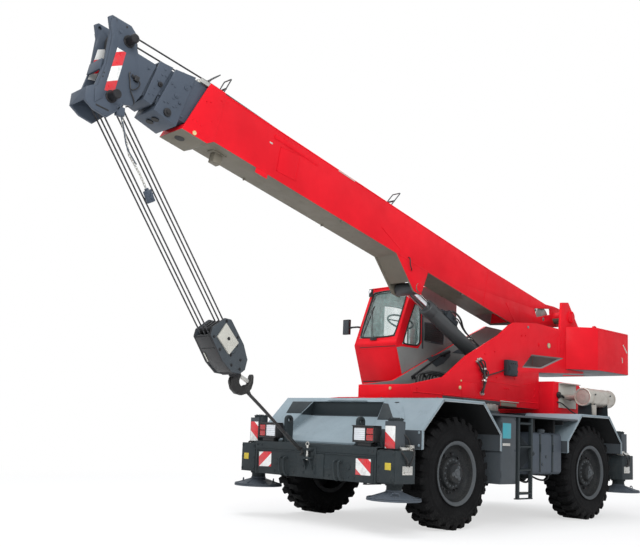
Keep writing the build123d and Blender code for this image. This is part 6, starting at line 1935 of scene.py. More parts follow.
class CRANE_OT_bumpers(bpy.types.Operator):
    """Add the bumper's bands, hazard plates, covers, hooks, jaw and lamps, front and rear"""
    bl_idname = "crane.bumpers"
    bl_label = "Bumpers and lamps"

    def execute(self, context):
        y = BUMPER_FACE
        band = merged(box((-1.0, y - 0.006, 0.835), (1.0, y + 0.002, 0.925), 0.003),
            box((-1.0, y - 0.01, 0.818), (1.0, y + 0.002, 0.832), 0.002),
            box((-0.35, y - 0.004, 0.64), (0.36, y + 0.002, 0.69), 0.002),
            box((-0.23, y - 0.012, 0.545), (0.21, y + 0.002, 0.812), 0.003),
            *[box((x - 0.006, y - 0.012, 0.535), (x + 0.006, y + 0.002, 0.815),
                0.002) for x in (-0.965, 0.965)],
            *[plate([(side * x, y + 0.1, z) for x, z in ((0.96, 0.925), (1.0, 0.925), (0.96, 1.06))],
                (0, 0.02, 0), 0.002) for side in (-1, 1)],
            *[plate([(side * x, y + 0.12, z) for x, z in ((0.645, 0.925), (0.54, 0.925), (0.64, 1.01))],
                (0, 0.02, 0), 0.002) for side in (-1, 1)])
        done(front_and_rear(band), "bumper_bands", "carrier", "dark", "dark_paint")
        covers = merged(*[disc((x, y, 0.687), FORWARD, 0.036, 0.01) for x in (-0.602, 0.589)],
            *[bolt_circle((x, y - 0.009, 0.687), FORWARD, 0.024, 4, 0.005, 0.005) for x in (-0.602, 0.589)],
            hex_row(y, 0.575, (-0.64, -0.56, 0.6, 0.68, -0.3, 0.29)),
            hex_row(y - 0.006, 0.88, (-0.96, -0.88, 0.88, 0.96), 0.009))
        done(front_and_rear(covers), "bumper_covers", "carrier", "dark", "dark_paint")
        left = plate(
            [(x, y - 0.0005, z) for x, z in ((-0.93, 0.792), (-0.705, 0.8), (-0.7, 0.622), (-0.925, 0.614))],
            (0, -0.003, 0), 0.0008)
        right = plate(
            [(x, y - 0.0005, z) for x, z in ((0.704, 0.79), (0.925, 0.79), (0.925, 0.612), (0.704, 0.612))],
            (0, -0.003, 0), 0.0008)
        about = Matrix.Rotation(math.pi, 4, "Z")
        done(merged(left, copy_of(left, about)), "bumper_hazard_left", "carrier", "stripe_left", "dark_paint")
        done(merged(right, copy_of(right, about)), "bumper_hazard_right", "carrier", "stripe_right",
            "dark_paint")

        hooks = []
        for x in (-0.505, -0.43, 0.405, 0.48):
            hooks.append(tube([(x, y + 0.002, 0.745), (x, y - 0.045, 0.75), (x, y - 0.052, 0.69),
                    (x + 0.004, y - 0.046, 0.61), (x + 0.022, y - 0.05, 0.56), (x + 0.034, y - 0.03, 0.532),
                    (x + 0.03, y + 0.004, 0.545)], 0.013, 12))
            hooks.append(disc((x, y, 0.745), FORWARD, 0.024, 0.006))
        done(front_and_rear(merged(*hooks)), "lashing_hooks", "carrier", "dark", "dark_paint")
        jaw = merged(box((-0.135, y - 0.02, 0.56), (0.085, y + 0.002, 0.88), 0.006),
            box((-0.1, y - 0.085, 0.845), (0.06, y - 0.015, 0.872), 0.006),
            box((-0.1, y - 0.085, 0.745), (0.06, y - 0.015, 0.772), 0.006),
            box((-0.096, y - 0.03, 0.77), (0.056, y - 0.018, 0.846), 0.003),
            plate([(-0.08, y - 0.018, 0.745), (-0.08, y - 0.08, 0.745), (-0.08, y - 0.018, 0.6)],
                (0.014, 0, 0), 0.002),
            plate([(0.03, y - 0.018, 0.745), (0.03, y - 0.08, 0.745), (0.03, y - 0.018, 0.6)], (0.014, 0, 0),
                0.002),
            bolts([(x, y - 0.02, z) for x in (-0.115, 0.065) for z in (0.585, 0.66, 0.8)], FORWARD, 0.012,
                0.01))
        done(front_and_rear(jaw), "tow_jaws", "carrier", "dark", "dark_paint")
        pin = merged(bar((-0.02, y - 0.052, 0.735), (-0.02, y - 0.052, 0.905), 0.016, 20, 0.003),
            ring([(-0.004 + 0.005 * math.sin(i * math.pi / 4),
                0.024 + 0.005 * math.cos(i * math.pi / 4)) for i in range(8)], (-0.02, y - 0.052, 0.918), "Y",
                24))
        done(front_and_rear(pin), "tow_pins", "carrier", "bright", "bare_steel")

        x0, x1 = 0.64, 0.96
        housing = both_sides(merged(box((x0, y + 0.012, 0.968), (x1, y + 0.13, 1.15), 0.01, 3),
                box((x0, y - 0.004, 0.968), (x1, y + 0.016, 0.984), 0.003),
                box((x0, y - 0.004, 1.134), (x1, y + 0.016, 1.15), 0.003),
                box((x0, y - 0.004, 0.968), (x0 + 0.014, y + 0.016, 1.15), 0.003),
                box((x1 - 0.014, y - 0.004, 0.968), (x1, y + 0.016, 1.15), 0.003),
                box((0.825, y - 0.002, 0.972), (0.839, y + 0.016, 1.146), 0.002),
                box((x0 - 0.01, y - 0.012, 1.148), (x1 + 0.01, y + 0.11, 1.156), 0.003),
                box((0.7, y + 0.02, 0.925), (0.9, y + 0.11, 0.97), 0.004)))
        done(front_and_rear(housing), "lamp_housings", "carrier", "black", "dark_paint",
            replaces=("lamp_clusters",))
        clear_lens = both_sides(box((0.658, y - 0.001, 0.99), (0.822, y + 0.014, 1.128), 0.01, 4))
        done(front_and_rear(clear_lens), "clear_lamps", "carrier", "clear", "dark_paint")
        red_lens = both_sides(merged(box((0.843, y - 0.001, 1.062), (0.942, y + 0.014, 1.128), 0.006, 3),
                                     box((0.843, y - 0.001, 0.99), (0.942, y + 0.014, 1.054), 0.006, 3)))
        done(front_and_rear(red_lens), "red_lamps", "carrier", "red_lens", "dark_paint")
        rings = [ring([(-0.001, 0.058), (0.004, 0.062), (0.006, 0.068), (-0.001, 0.07)],
                (side * 0.74, y + 0.002, 1.059), "Y", 32)
            for side in (-1, 1)]
        done(merged(*rings), "lamp_rings", "carrier", "bright", "dark_paint")
        loops = [
            ring([(-0.024, 0.0285), (-0.024, 0.034), (0.024, 0.034), (0.024, 0.0285)], (x, end, 1.195), "X",
                28)
            for x in (-0.6, 0.6) for end in (JACK_Y, -JACK_Y)]
        done(merged(*loops), "lifting_eye_rims", "carrier", "black", "dark_paint")
        return {"FINISHED"}


def round_jack(degrees, point):
    """Place of a point given in axes that are turned about the jack's own line."""
    return Vector((JACK_X, JACK_Y, 0)) + Matrix.Rotation(math.radians(degrees), 3, "Z") @ Vector(point)


class CRANE_OT_outriggers(bpy.types.Operator):
    """Add the plates, stripes, valve, hoses and pads of the outriggers"""
    bl_idname = "crane.outriggers"
    bl_label = "Outriggers"

    def execute(self, context):
        head = merged(box((1.012, BUMPER_FACE - 0.003, 0.555), (1.262, BUMPER_FACE + 0.006, 0.885), 0.004),
            *[bolts([(px, BUMPER_FACE - 0.003, pz) for px in (1.03, 1.244) for pz in (0.58, 0.72, 0.862)],
                FORWARD, 0.01, 0.009)],
            ring([(0.88, 0.086), (0.88, 0.104), (0.896, 0.104), (0.904, 0.096), (0.904, 0.086)],
                (JACK_X, JACK_Y, 0), "Z", 40),
            ring([(0.52, 0.086), (0.52, 0.1), (0.546, 0.1), (0.546, 0.086)], (JACK_X, JACK_Y, 0), "Z", 40),
            lathe([(1.228, 0), (1.228, 0.087), (1.236, 0.09), (1.243, 0.086), (1.246, 0.04), (1.252, 0.036),
                (1.252, 0)], (JACK_X, JACK_Y, 0), "Z", 40),
            bolt_circle((JACK_X, JACK_Y, 1.244), UP, 0.064, 6, 0.008, 0.008),
            box((1.02, BUMPER_FACE + 0.02, 0.895), (1.06, BUMPER_FACE + 0.31, 0.903), 0.002))
        post = merged(
            box((1.052, JACK_Y - 0.098, 0.912), (1.204, JACK_Y - 0.084, 1.212), 0.004),
            box((1.196, JACK_Y - 0.098, 0.912), (1.209, JACK_Y + 0.06, 1.212), 0.004))
        face = box((1.058, JACK_Y - 0.1005, 0.918), (1.2, JACK_Y - 0.097, 1.16), 0.001)
        blank = box((1.13, BUMPER_FACE - 0.0062, 0.69), (1.215, BUMPER_FACE - 0.002, 0.765), 0.001)
        valve = merged(box((1.18, -2.47, 0.896), (1.262, -2.4, 0.96), 0.006),
            bar((1.236, -2.6, 0.915), (1.236, -2.48, 0.915), 0.022, 20, 0.003),
            bolts([(1.262, -2.435, 0.925), (1.262, -2.455, 0.945)], LEFT, 0.008, 0.01),
            bar((1.236, -2.61, 0.915), (1.236, -2.6, 0.915), 0.026, 6, 0.002),
            box((1.262, -2.61, 0.64), (1.275, -2.44, 0.735), 0.004),
            box((1.27, -2.59, 0.655), (1.29, -2.46, 0.67), 0.002))
        hoses = merged(
            tube([(1.23, -2.62, 0.915), (1.262, -2.64, 0.9), (1.292, -2.6, 0.84), (1.3, -2.56, 0.79),
                (1.282, -2.54, 0.745), (1.268, -2.54, 0.735)], 0.011, 10),
            tube([(1.262, -2.43, 0.925), (1.3, -2.44, 0.9), (1.312, -2.48, 0.83), (1.3, -2.5, 0.77),
                (1.27, -2.5, 0.73)], 0.011, 10),
            tube([(1.225, -2.44, 0.958), (1.225, -2.45, 1.01), (1.215, -2.5, 1.06), (1.19, -2.54, 1.08),
                (1.17, -2.55, 1.1)], 0.01, 10))
        foot = merged(ring([(0.452, 0.066), (0.452, 0.092), (0.47, 0.092), (0.478, 0.08), (0.478, 0.066)],
                (JACK_X, JACK_Y, 0), "Z", 36),
            ring([(0.378, 0.284), (0.384, 0.296), (0.392, 0.298), (0.396, 0.29), (0.384, 0.284)],
                (JACK_X, JACK_Y, 0), "Z", 64),
            *[plate([round_jack(a, (r, -0.006, z))
                     for r, z in ((0.078, 0.46), (0.078, 0.398), (0.278, 0.386), (0.27, 0.398))],
                Matrix.Rotation(math.radians(a), 3, "Z") @ Vector((0, 0.012, 0)),
                0.003) for a in range(15, 375, 60)],
            *[tube([round_jack(a, p) for p in ((0.19, -0.045, 0.405), (0.19, -0.045, 0.445), (0.19, 0, 0.452),
                (0.19, 0.045, 0.445), (0.19, 0.045, 0.405))], 0.007, 8) for a in (-45, 135)])
        pieces = (
            (head, "outrigger_head_plates", "dark", "dark_paint", "outrigger_beam"),
            (post, "outrigger_post_boards", "slate_grey", "dark_paint", "outrigger_beam"),
            (face, "outrigger_post_stripes", "stripe_post", "dark_paint", "outrigger_beam"),
            (blank, "outrigger_blank_labels", "gold", "dark_paint", "outrigger_beam"),
            (valve, "outrigger_valves", "bright", "bare_steel", "outrigger_beam"),
            (hoses, "outrigger_hoses", "hose", "black_plastic", "outrigger_beam"),
            (foot, "jack_pad_ribs", "jack", "dark_paint", "jack"))
        for obj, name, look, slot, body in pieces:
            for corner, matrix in CORNERS.items():
                done(copy_of(obj, matrix), f"{name}_{corner}", f"{body}_{corner}", look, slot)
            bpy.data.objects.remove(obj)
        return {"FINISHED"}


SLOPE = 3.4515


def on_slope(pairs):
    """Thin plate on the sloping front of the fenders, with an outline of (x, z) points."""
    return plate([(x, z - SLOPE, z) for x, z in pairs], (0, -0.0022, 0.0022), 0.0008)


class CRANE_OT_fenders(bpy.types.Operator):
    """Add the fenders' rolled edges as lighter strips of painted highlight, the gussets, the dark plates of painted
    shadow under the hood's lip, and the bolts of the fenders and the front hood
    """
    bl_idname = "crane.fenders"
    bl_label = "Fenders and hoods"

    def execute(self, context):
        # Painted shadow: dark plates over the hood's recess under its top lip, over the tops of the fenders' sloping
        # fronts beside it, and over the far cheek.
        lip = merged(plate([(-0.775, -1.9765, 1.445), (0.47, -1.9765, 1.445), (0.53, -1.9765, 1.278),
                (-0.825, -1.9765, 1.278)], (0, -0.003, 0), 0.001),
            plate([(-0.56, -1.985, 1.447), (0.18, -1.985, 1.447), (0.18, -2.0, 1.462), (-0.47, -2.0, 1.462)],
                (0, 0.003, 0.002), 0.001),
            on_slope([(-1.132, 1.447), (-0.762, 1.447), (-0.812, 1.29), (-1.085, 1.29)]),
            on_slope([(0.462, 1.433), (0.545, 1.426), (0.8, 1.233), (0.548, 1.233)]),
            plate([(-0.7465, -2.005, 1.446), (-0.7465, -1.972, 1.446), (-0.8005, -1.972, 1.278),
                (-0.8005, -2.172, 1.278)], (0.0025, 0, -0.0008), 0.0006))
        done(lip, "hood_dark_band", "carrier", "dark", "carrier_paint")
        drip = tube([(-0.81, -1.981, 1.276), (-0.2, -1.982, 1.274), (0.525, -1.981, 1.276)], 0.005, 8, 2)
        done(drip, "hood_lip_edge", "carrier", "slate_grey", "carrier_paint")
        # Painted highlight: thin strips of lighter grey along the outer edges of the fenders' sides.
        rolls, knees = [], (
            (-2.318, 0.92), (-2.318, 1.13), (-1.946, 1.494), (-1.154, 1.494), (-0.782, 1.13), (-0.782, 0.92))
        for (y0, z0), (y1, z1) in zip(knees, knees[1:]):
            inward = Vector((0, z1 - z0, y0 - y1)).normalized() * 0.03
            rolls.append(side_plate([(y0, z0), (y1, z1), (y1 + inward.y, z1 + inward.z),
                    (y0 + inward.y, z0 + inward.z)], 1.293, 1.299, 0.001))
        front = merged(*rolls)
        drop = Matrix.Translation((0, 0, -0.05)) @ TO_REAR
        rear = copy_of(front, drop)
        for vertex in rear.data.vertices:
            if vertex.co.z < 0.95:
                vertex.co.z += 0.05
        done(both_sides(merged(front, rear)), "fender_edge_rolls", "carrier", "roll", "carrier_paint")
        fold_line = plate(
            [(x, z - SLOPE, z) for x, z in ((0.79, 1.402), (0.9, 1.18), (1.03, 1.165))], (0, -0.006, 0.006),
            0.004)
        done(fold_line, "fender_front_fold", "carrier", "grey", "carrier_paint")
        slot = plate(
            [(0.64, -2.004, 1.449), (0.7, -2.004, 1.449), (0.69, -2.014, 1.439), (0.632, -2.014, 1.439)],
            (0, -0.0015, 0.0015), 0.0005)
        done(slot, "fender_front_slot", "carrier", "under", "carrier_paint")
        heads = merged(
            bolts([(x, -2.328, z) for x in (0.99, 1.26) for z in (0.96, 1.1)], FORWARD, 0.011, 0.009),
            bolts([(1.3, y, z) for y, z in ((-2.3, 1.1), (-1.96, 1.47), (-1.14, 1.47), (-0.8, 1.1))], LEFT,
                0.008, 0.006))
        done(both_sides(heads), "fender_bolts", "carrier", "grey", "carrier_paint")
        return {"FINISHED"}


class CRANE_OT_sides(bpy.types.Operator):
    """Add the lockers' doors, ladders' treads, tanks' straps, lights and hoses of the carrier's sides"""
    bl_idname = "crane.sides"
    bl_label = "Carrier sides"

    def execute(self, context):
        door = merged(
            box((CARRIER_SIDE - 0.002, -0.765, 0.535), (CARRIER_SIDE + 0.004, -0.452, 1.325), 0.003),
            *[box((CARRIER_SIDE + 0.003, -0.77, z), (CARRIER_SIDE + 0.012, -0.748, z + 0.07),
                0.003) for z in (0.6, 1.2)],
            box((0.962, -0.779, 0.56), (1.262, -0.772, 1.32), 0.003),
            bolts([(CARRIER_SIDE + 0.004, y, z) for y in (-0.752, -0.466) for z in (0.55, 0.93, 1.31)], LEFT,
                0.008, 0.006))
        done(both_sides(door), "locker_doors", "carrier", "slate_grey", "carrier_paint")
        handle = merged(
            box((CARRIER_SIDE + 0.004, -0.745, 0.985), (CARRIER_SIDE + 0.01, -0.58, 1.018), 0.003),
            tube([(CARRIER_SIDE + 0.008, -0.72, 1.0), (CARRIER_SIDE + 0.032, -0.7, 1.0),
                (CARRIER_SIDE + 0.034, -0.625, 1.0), (CARRIER_SIDE + 0.008, -0.605, 1.0)], 0.006, 8))
        done(both_sides(handle), "locker_handles", "carrier", "bright", "bare_steel")
        label = both_sides(
            box((CARRIER_SIDE + 0.003, -0.74, 1.075), (CARRIER_SIDE + 0.0055, -0.56, 1.262), 0.001))
        done(label, "locker_blank_labels", "carrier", "teal", "carrier_paint")

        treads = []
        for z in (0.4, 0.69, 0.98, 1.27):
            treads.append(box((1.244, -0.37, z + 0.01), (1.29, -0.1, z + 0.02), 0.002))
            treads.append(box((1.284, -0.372, z - 0.006), (1.29, -0.098, z + 0.02), 0.002))
        for y in (-0.4, -0.105):
            treads.append(box((1.284, y - 0.002, 0.34), (1.29, y + 0.037, 1.345), 0.002))
        treads.append(box((1.235, -0.41, 0.33), (1.292, -0.062, 0.344), 0.003))
        done(both_sides(merged(*treads)), "ladder_treads", "carrier", "dark", "carrier_paint")
        grid = both_sides(box((1.25, -0.33, 0.4185), (1.288, -0.16, 0.4235), 0.001))
        done(grid, "ladder_pale_plates", "carrier", "pale", "bare_steel")

        straps = []
        for y in (0.164, 0.468):
            for lo, hi in (
                ((1.236, y, 0.66), (1.246, y + 0.04, 1.15)), ((0.93, y, 1.165), (1.215, y + 0.04, 1.176)),
                ((0.93, y, 0.622), (1.215, y + 0.04, 0.633))):
                straps.append(box(lo, hi, 0.003))
            straps.append(bar((1.25, y + 0.02, 0.92), (1.25, y + 0.02, 1.02), 0.008, 12, 0.001))
        done(both_sides(merged(*straps)), "tank_straps", "carrier", "dark", "carrier_paint")
        tank_parts = merged(
            lathe([(1.168, 0), (1.168, 0.046), (1.186, 0.046), (1.19, 0.052), (1.206, 0.052), (1.21, 0.046),
                (1.21, 0)], (1.18, 0.3, 0), "Z", 24),
            box((1.15, 0.285, 1.208), (1.21, 0.315, 1.218), 0.003),
            lathe([(-0.034, 0), (-0.034, 0.235), (-0.04, 0.245), (-0.046, 0.236), (-0.046, 0)],
                (1.065, 0, 0.9), "Y", 4),
            *[disc((1.24, y, z), LEFT, 0.02, 0.01) for y, z in ((0.337, 0.86), (0.244, 0.761))])
        done(both_sides(tank_parts), "tank_fittings", "carrier", "slate_grey", "carrier_paint")
        piping_run = both_sides(
            merged(tube([(1.18, 0.04, 0.64), (1.185, 0.02, 0.56), (1.1, 0.1, 0.52), (0.9, 0.26, 0.53),
                (0.7, 0.34, 0.62), (0.56, 0.36, 0.78)], 0.014, 8), tube([(1.12, 0.6, 0.64),
                (1.12, 0.61, 0.56), (0.98, 0.6, 0.53), (0.76, 0.58, 0.64), (0.6, 0.56, 0.8)], 0.012, 8),
                tube([(0.64, -1.2, 0.86), (0.76, -1.1, 0.8), (0.9, -0.9, 0.78), (0.93, -0.5, 0.9),
                (0.9, 0.0, 0.96)], 0.012, 8)))
        done(piping_run, "carrier_hoses", "carrier", "hose", "black_plastic")
        lamp = both_sides(box((1.23, 2.326, 1.01), (1.29, 2.345, 1.07), 0.005, 3))
        done(lamp, "side_marker_lamps", "carrier", "amber", "carrier_paint")
        brackets = both_sides(box((1.222, 2.322, 1.0), (1.298, 2.334, 1.08), 0.004))
        done(brackets, "marker_lamp_brackets", "carrier", "black", "carrier_paint")
        return {"FINISHED"}


class CRANE_OT_deck(bpy.types.Operator):
    """Add the deck's front cover and tread plates, the shafts under the frame and the slew ring's bolts"""
    bl_idname = "crane.deck"
    bl_label = "Deck and underside"

    def execute(self, context):
        lid = plate([(-1.15, -1.5, DECK_TOP), (-0.42, -1.88, DECK_TOP), (0.06, -1.93, DECK_TOP),
                (0.06, -1.5, DECK_TOP)],
            (0, 0, 0.016), 0.005)
        done(lid, "deck_front_cover", "carrier", "red", "carrier_paint")
        top = merged(box((0.25, -1.9, DECK_TOP), (1.18, -1.25, 1.506), 0.003),
            bolts([(px, py, 1.506) for px in (0.29, 1.14) for py in (-1.86, -1.29)], UP, 0.011, 0.008),
            box((-0.3, -1.56, DECK_TOP), (0.18, -1.23, 1.507), 0.003))
        done(top, "deck_tread_plates", "carrier", "slate_grey", "carrier_paint")
        shafts = merged(bar((0, -1.34, 0.66), (0, -0.42, 0.8), 0.045, 24, 0.004),
            bar((0, 1.34, 0.66), (0, 0.42, 0.8), 0.045, 24, 0.004),
            *[bar((0, sign * 1.345, 0.66), (0, sign * 1.25, 0.674), 0.075, 24, 0.008) for sign in (-1, 1)],
            *[bar((0, sign * 0.5, 0.788), (0, sign * 0.4, 0.803), 0.075, 24, 0.008) for sign in (-1, 1)],
            box((-0.2, -0.4, 0.69), (0.2, 0.4, 0.93), 0.02, 3))
        done(shafts, "drive_shafts", "carrier", "iron", "engine_iron")
        heads = bolt_circle((0, 0, 1.518), UP, 0.56, 48, 0.013, 0.014)
        done(heads, "slew_ring_bolts", "carrier", "machined", "bare_steel")
        return {"FINISHED"}


class CRANE_OT_engine(bpy.types.Operator):
    """Add the muffler's rim, straps and elbow, and the hood's louvres, handles and hoses"""
    bl_idname = "crane.engine"
    bl_label = "Engine side"

    def execute(self, context):
        cx, cz, r, y0, y1 = 0.98, 1.72, 0.13, 1.76, 2.5
        cans = merged(ring([(y0 - 0.006, r - 0.022), (y0 - 0.01, r - 0.006), (y0 - 0.004, r + 0.003),
                (y0 + 0.016, r + 0.004), (y0 + 0.016, r - 0.01), (y0 + 0.002, r - 0.022)], (cx, 0, cz), "Y",
                56),
            ring([(y1 + 0.006, r - 0.022), (y1 + 0.01, r - 0.006), (y1 + 0.004, r + 0.003),
                (y1 - 0.016, r + 0.004), (y1 - 0.016, r - 0.01), (y1 - 0.002, r - 0.022)], (cx, 0, cz), "Y",
                56),
            *[ring([(y - 0.002, r - 0.002), (y - 0.002, r + 0.003), (y + 0.04, r + 0.003),
                (y + 0.04, r - 0.002)], (cx, 0, cz), "Y", 56) for y in (1.86, 2.3)],
            lathe([(y0 - 0.004, 0), (y0 - 0.009, 0.03), (y0 - 0.008, 0.06), (y0 - 0.003, 0.1),
                (y0 + 0.002, 0.104), (y0 + 0.002, 0)], (cx, 0, cz), "Y", 40),
            lathe([(y1, 0.048), (y1 + 0.05, 0.048), (y1 + 0.05, 0.042), (y1, 0.042)], (cx, 0, cz), "Y", 32),
            bar((0.59, 2.075, 1.72), (0.625, 2.075, 1.72), 0.052, 28, 0.004),
            bolt_circle((0.624, 2.075, 1.72), LEFT, 0.043, 4, 0.007, 0.007))
        done(cans, "muffler_rims", "carrier", "silver", "muffler_steel")
        cradle = merged(box((0.85, 1.84, 1.448), (1.11, 1.905, 1.462), 0.003),
            box((0.85, 2.0, 1.448), (1.11, 2.25, 1.462), 0.003),
            *[plate([(0.87, y, 1.46), (0.88, y, 1.64), (0.9, y, 1.64), (0.93, y, 1.6), (1.03, y, 1.6),
                (1.06, y, 1.64), (1.08, y, 1.64), (1.09, y, 1.46)], (0, 0.012, 0),
                0.002) for y in (1.82, 1.93, 2.3)],
            bolts([(1.118, y, 1.76) for y in (1.88, 2.32)], LEFT, 0.01, 0.01))
        done(cradle, "muffler_cradle", "carrier", "dark", "muffler_steel")
        shield = merged(box((0.604, 1.74, 1.56), (0.612, 2.24, 1.925), 0.003),
                        box((0.604, 1.74, 1.915), (0.69, 2.24, 1.925), 0.003))
        done(shield, "heat_shield", "carrier", "pale", "muffler_steel")
        hoses = merged(
            tube([(ENGINE_SIDE, 1.73, 1.745), (0.64, 1.76, 1.745), (0.65, 1.85, 1.7), (0.66, 1.96, 1.69),
                (0.69, 2.06, 1.702), (0.64, 2.16, 1.71), (0.606, 2.23, 1.715)], 0.018, 10),
            disc((ENGINE_SIDE, 1.73, 1.745), LEFT, 0.048, 0.03),
            disc((0.632, 1.73, 1.745), LEFT, 0.026, 0.014),
            tube([(ENGINE_SIDE, 1.7, 1.64), (0.64, 1.74, 1.64), (0.7, 1.82, 1.56), (0.78, 1.87, 1.48),
                (0.86, 1.88, 1.46)], 0.01, 8))
        done(hoses, "engine_hoses", "carrier", "hose", "black_plastic")
        slats = []
        for i in range(9):
            slats.append(box((-0.42 + 0.095 * i, 2.478, 1.56), (-0.35 + 0.095 * i, 2.486, 1.86), 0.002))
            slats.append(box((-0.605, 1.74 + 0.075 * i, 1.56), (-0.597, 1.79 + 0.075 * i, 1.85), 0.002))
        done(merged(*slats), "engine_louvres", "carrier", "under", "carrier_paint")
        frames = merged(box((-0.56, 1.68, 1.938), (0.56, 1.69, 1.946), 0.002),
            box((-0.56, 2.4, 1.938), (0.56, 2.41, 1.946), 0.002),
            box((0.598, 1.64, 1.5), (0.604, 1.65, 1.9), 0.001),
            *[tube([(px, 2.484, 1.5), (px, 2.515, 1.505), (px + 0.1, 2.515, 1.505), (px + 0.12, 2.484, 1.5)],
                0.008, 8) for px in (-0.45, 0.3)],
            *[bar((px, 1.606, 1.93), (px + 0.06, 1.606, 1.93), 0.01, 14, 0.001) for px in (-0.4, 0.3)])
        done(frames, "engine_hood_trims", "carrier", "red", "carrier_paint")
        return {"FINISHED"}


class CRANE_OT_weight(bpy.types.Operator):
    """Add the counterweight's reflectors, lifting lugs, seams and rear lamps"""
    bl_idname = "crane.weight"
    bl_label = "Counterweight details"

    def execute(self, context):
        bars = both_sides(
            merged(plate([(WEIGHT_SIDE, 3.372, 2.64), (WEIGHT_SIDE, 3.392, 2.646), (WEIGHT_SIDE, 3.528, 2.53),
                (WEIGHT_SIDE, 3.508, 2.512)], (0.004, 0, 0), 0.001), plate([(WEIGHT_SIDE, 3.335, 2.432),
                (WEIGHT_SIDE, 3.355, 2.434), (WEIGHT_SIDE, 3.375, 2.352), (WEIGHT_SIDE, 3.352, 2.35)],
                (0.004, 0, 0), 0.001)))
        done(bars, "counterweight_reflectors", "turntable", "pale", "red_paint")
        seams = merged(both_sides(merged(box((0.797, 2.58, 2.186), (0.8025, 3.54, 2.192), 0.001),
                box((0.797, 2.58, 2.802), (0.8025, 3.54, 2.808), 0.001))),
            box((-0.7, WEIGHT_REAR, 2.2), (0.7, 3.6195, 2.206), 0.001),
            box((-0.006, WEIGHT_REAR, 2.21), (0.006, 3.6195, 2.8), 0.001),
            *[plate([(px, 2.86, 2.826), (px, 2.88, 2.9), (px, 2.93, 2.915), (px, 2.98, 2.9),
                (px, 3.0, 2.826)], (0.03, 0, 0), 0.006) for px in (-0.56, 0.53)],
            *[bolts([(px, py, 2.829) for py in (2.7, 3.4)], UP, 0.024, 0.02) for px in (-0.3, 0.3)])
        done(seams, "counterweight_seams", "turntable", "red", "red_paint")
        lamps = both_sides(box((0.56, 3.606, 2.26), (0.72, 3.6195, 2.33), 0.004, 3))
        done(lamps, "counterweight_red_lamps", "turntable", "red_lens", "red_paint")
        holes = both_sides(bar((0.528, 2.93, 2.872), (0.562, 2.93, 2.872), 0.021, 24))
        done(holes, "counterweight_lug_holes", "turntable", "seal", "red_paint")
        return {"FINISHED"}


LINK_RADIUS, LINK_WIRE, LINK_STRETCH, LINK_PITCH = 0.012, 0.0038, 1.75, 0.031


class CRANE_OT_rigging(bpy.types.Operator):
    """Add the sling that holds the hook to the front, and the weight and chain of the hoist's stop switch"""
    bl_idname = "crane.rigging"
    bl_label = "Rigging"

    def execute(self, context):
        sling = merged(
            tube([(-0.004, -3.8, 1.5), (-0.006, -3.765, 1.478), (-0.02, -3.5, 1.3), (-0.05, -3.15, 1.055),
                (-0.078, -2.85, 0.862)], 0.015, 10),
            tube([(0.01, -3.82, 1.497), (0.03, -3.7, 1.4), (0.024, -3.45, 1.225), (-0.02, -3.12, 1.0),
                (-0.072, -2.845, 0.846)], 0.015, 10),
            tube([(-0.034, -3.775, 1.44), (-0.03, -3.815, 1.512), (0.0, -3.8, 1.532), (0.03, -3.78, 1.512),
                (0.034, -3.745, 1.44)], 0.015, 10),
            bar((-0.05, -3.12, 1.028), (-0.078, -2.85, 0.856), 0.024, 20, 0.004))
        done(sling, "hook_sling", "hook_block", "hose", "wire_rope")
        clasp = merged(
            tube([(-0.076, -2.88, 0.876), (-0.08, -2.83, 0.88), (-0.086, -2.796, 0.84), (-0.086, -2.806, 0.8),
                (-0.08, -2.835, 0.795)], 0.015, 10),
            bar((-0.11, -2.87, 0.868), (-0.045, -2.87, 0.868), 0.014, 18, 0.002))
        done(clasp, "sling_end_hook", "hook_block", "forged", "dark_iron")
        route = [Vector(p) for p in ((0.12, -5.625, 4.08), (0.12, -5.596, 3.947), (0.12, -5.504, 3.675),
                                     (0.12, -5.371, 3.516), (0.12, -5.274, 3.368))]
        link = ring([(LINK_WIRE * math.sin(i * math.pi / 3),
                LINK_RADIUS + LINK_WIRE * math.cos(i * math.pi / 3)) for i in range(6)],
            ORIGIN, "Y", 14)
        link = settle(link, Matrix.Diagonal((1, 1, LINK_STRETCH, 1)))
        places, spare = [], 0.0
        for start, end in zip(route, route[1:]):
            along = end - start
            turn = along.to_track_quat("Z", "X").to_matrix().to_4x4()
            while spare < along.length:
                spin = Matrix.Rotation(math.pi / 2 * (len(places) % 2), 4, "Z")
                places.append(Matrix.Translation(start + along.normalized() * spare) @ turn @ spin)
                spare += LINK_PITCH
            spare -= along.length
        done(repeated(link, places), "stop_switch_chain", "boom_tip", "bright", "dark_iron")
        heavy = merged(bar((0.12, -5.276, 3.372), (0.12, -5.214, 3.262), 0.044, 28, 0.008),
            bar((0.12, -5.286, 3.39), (0.12, -5.274, 3.368), 0.022, 20, 0.003),
            box((0.06, -5.262, 3.285), (0.18, -5.236, 3.345), 0.005),
            box((0.098, -5.69, 4.03), (0.15, -5.6, 4.12), 0.006),
            bar((0.12, -5.645, 4.1), (0.12, -5.62, 4.06), 0.02, 18, 0.003),
            tube([(0.135, -5.64, 4.05), (0.14, -5.585, 3.9), (0.13, -5.56, 3.76), (0.14, -5.47, 3.64),
                (0.128, -5.42, 3.6)], 0.006, 8))
        done(heavy, "stop_switch_weight", "boom_tip", "slate", "dark_iron")
        return {"FINISHED"}


# ------------------------------------------------------------------ stage
CAMERA_PLACE = Vector((7.3288, -9.8998, 1.0706))
CAMERA_YAW, CAMERA_PITCH, CAMERA_ROLL = 2.3808, 0.124529, 0.040635
FOCAL_PIXELS, PRINCIPAL = 869.68, (305.08, 321.74)
IMAGE = (640, 547)
SKY_COLOUR = (0.93, 0.96, 1.0)
SHADOW_NEAR, SHADOW_FAR = 5.0, 11.0


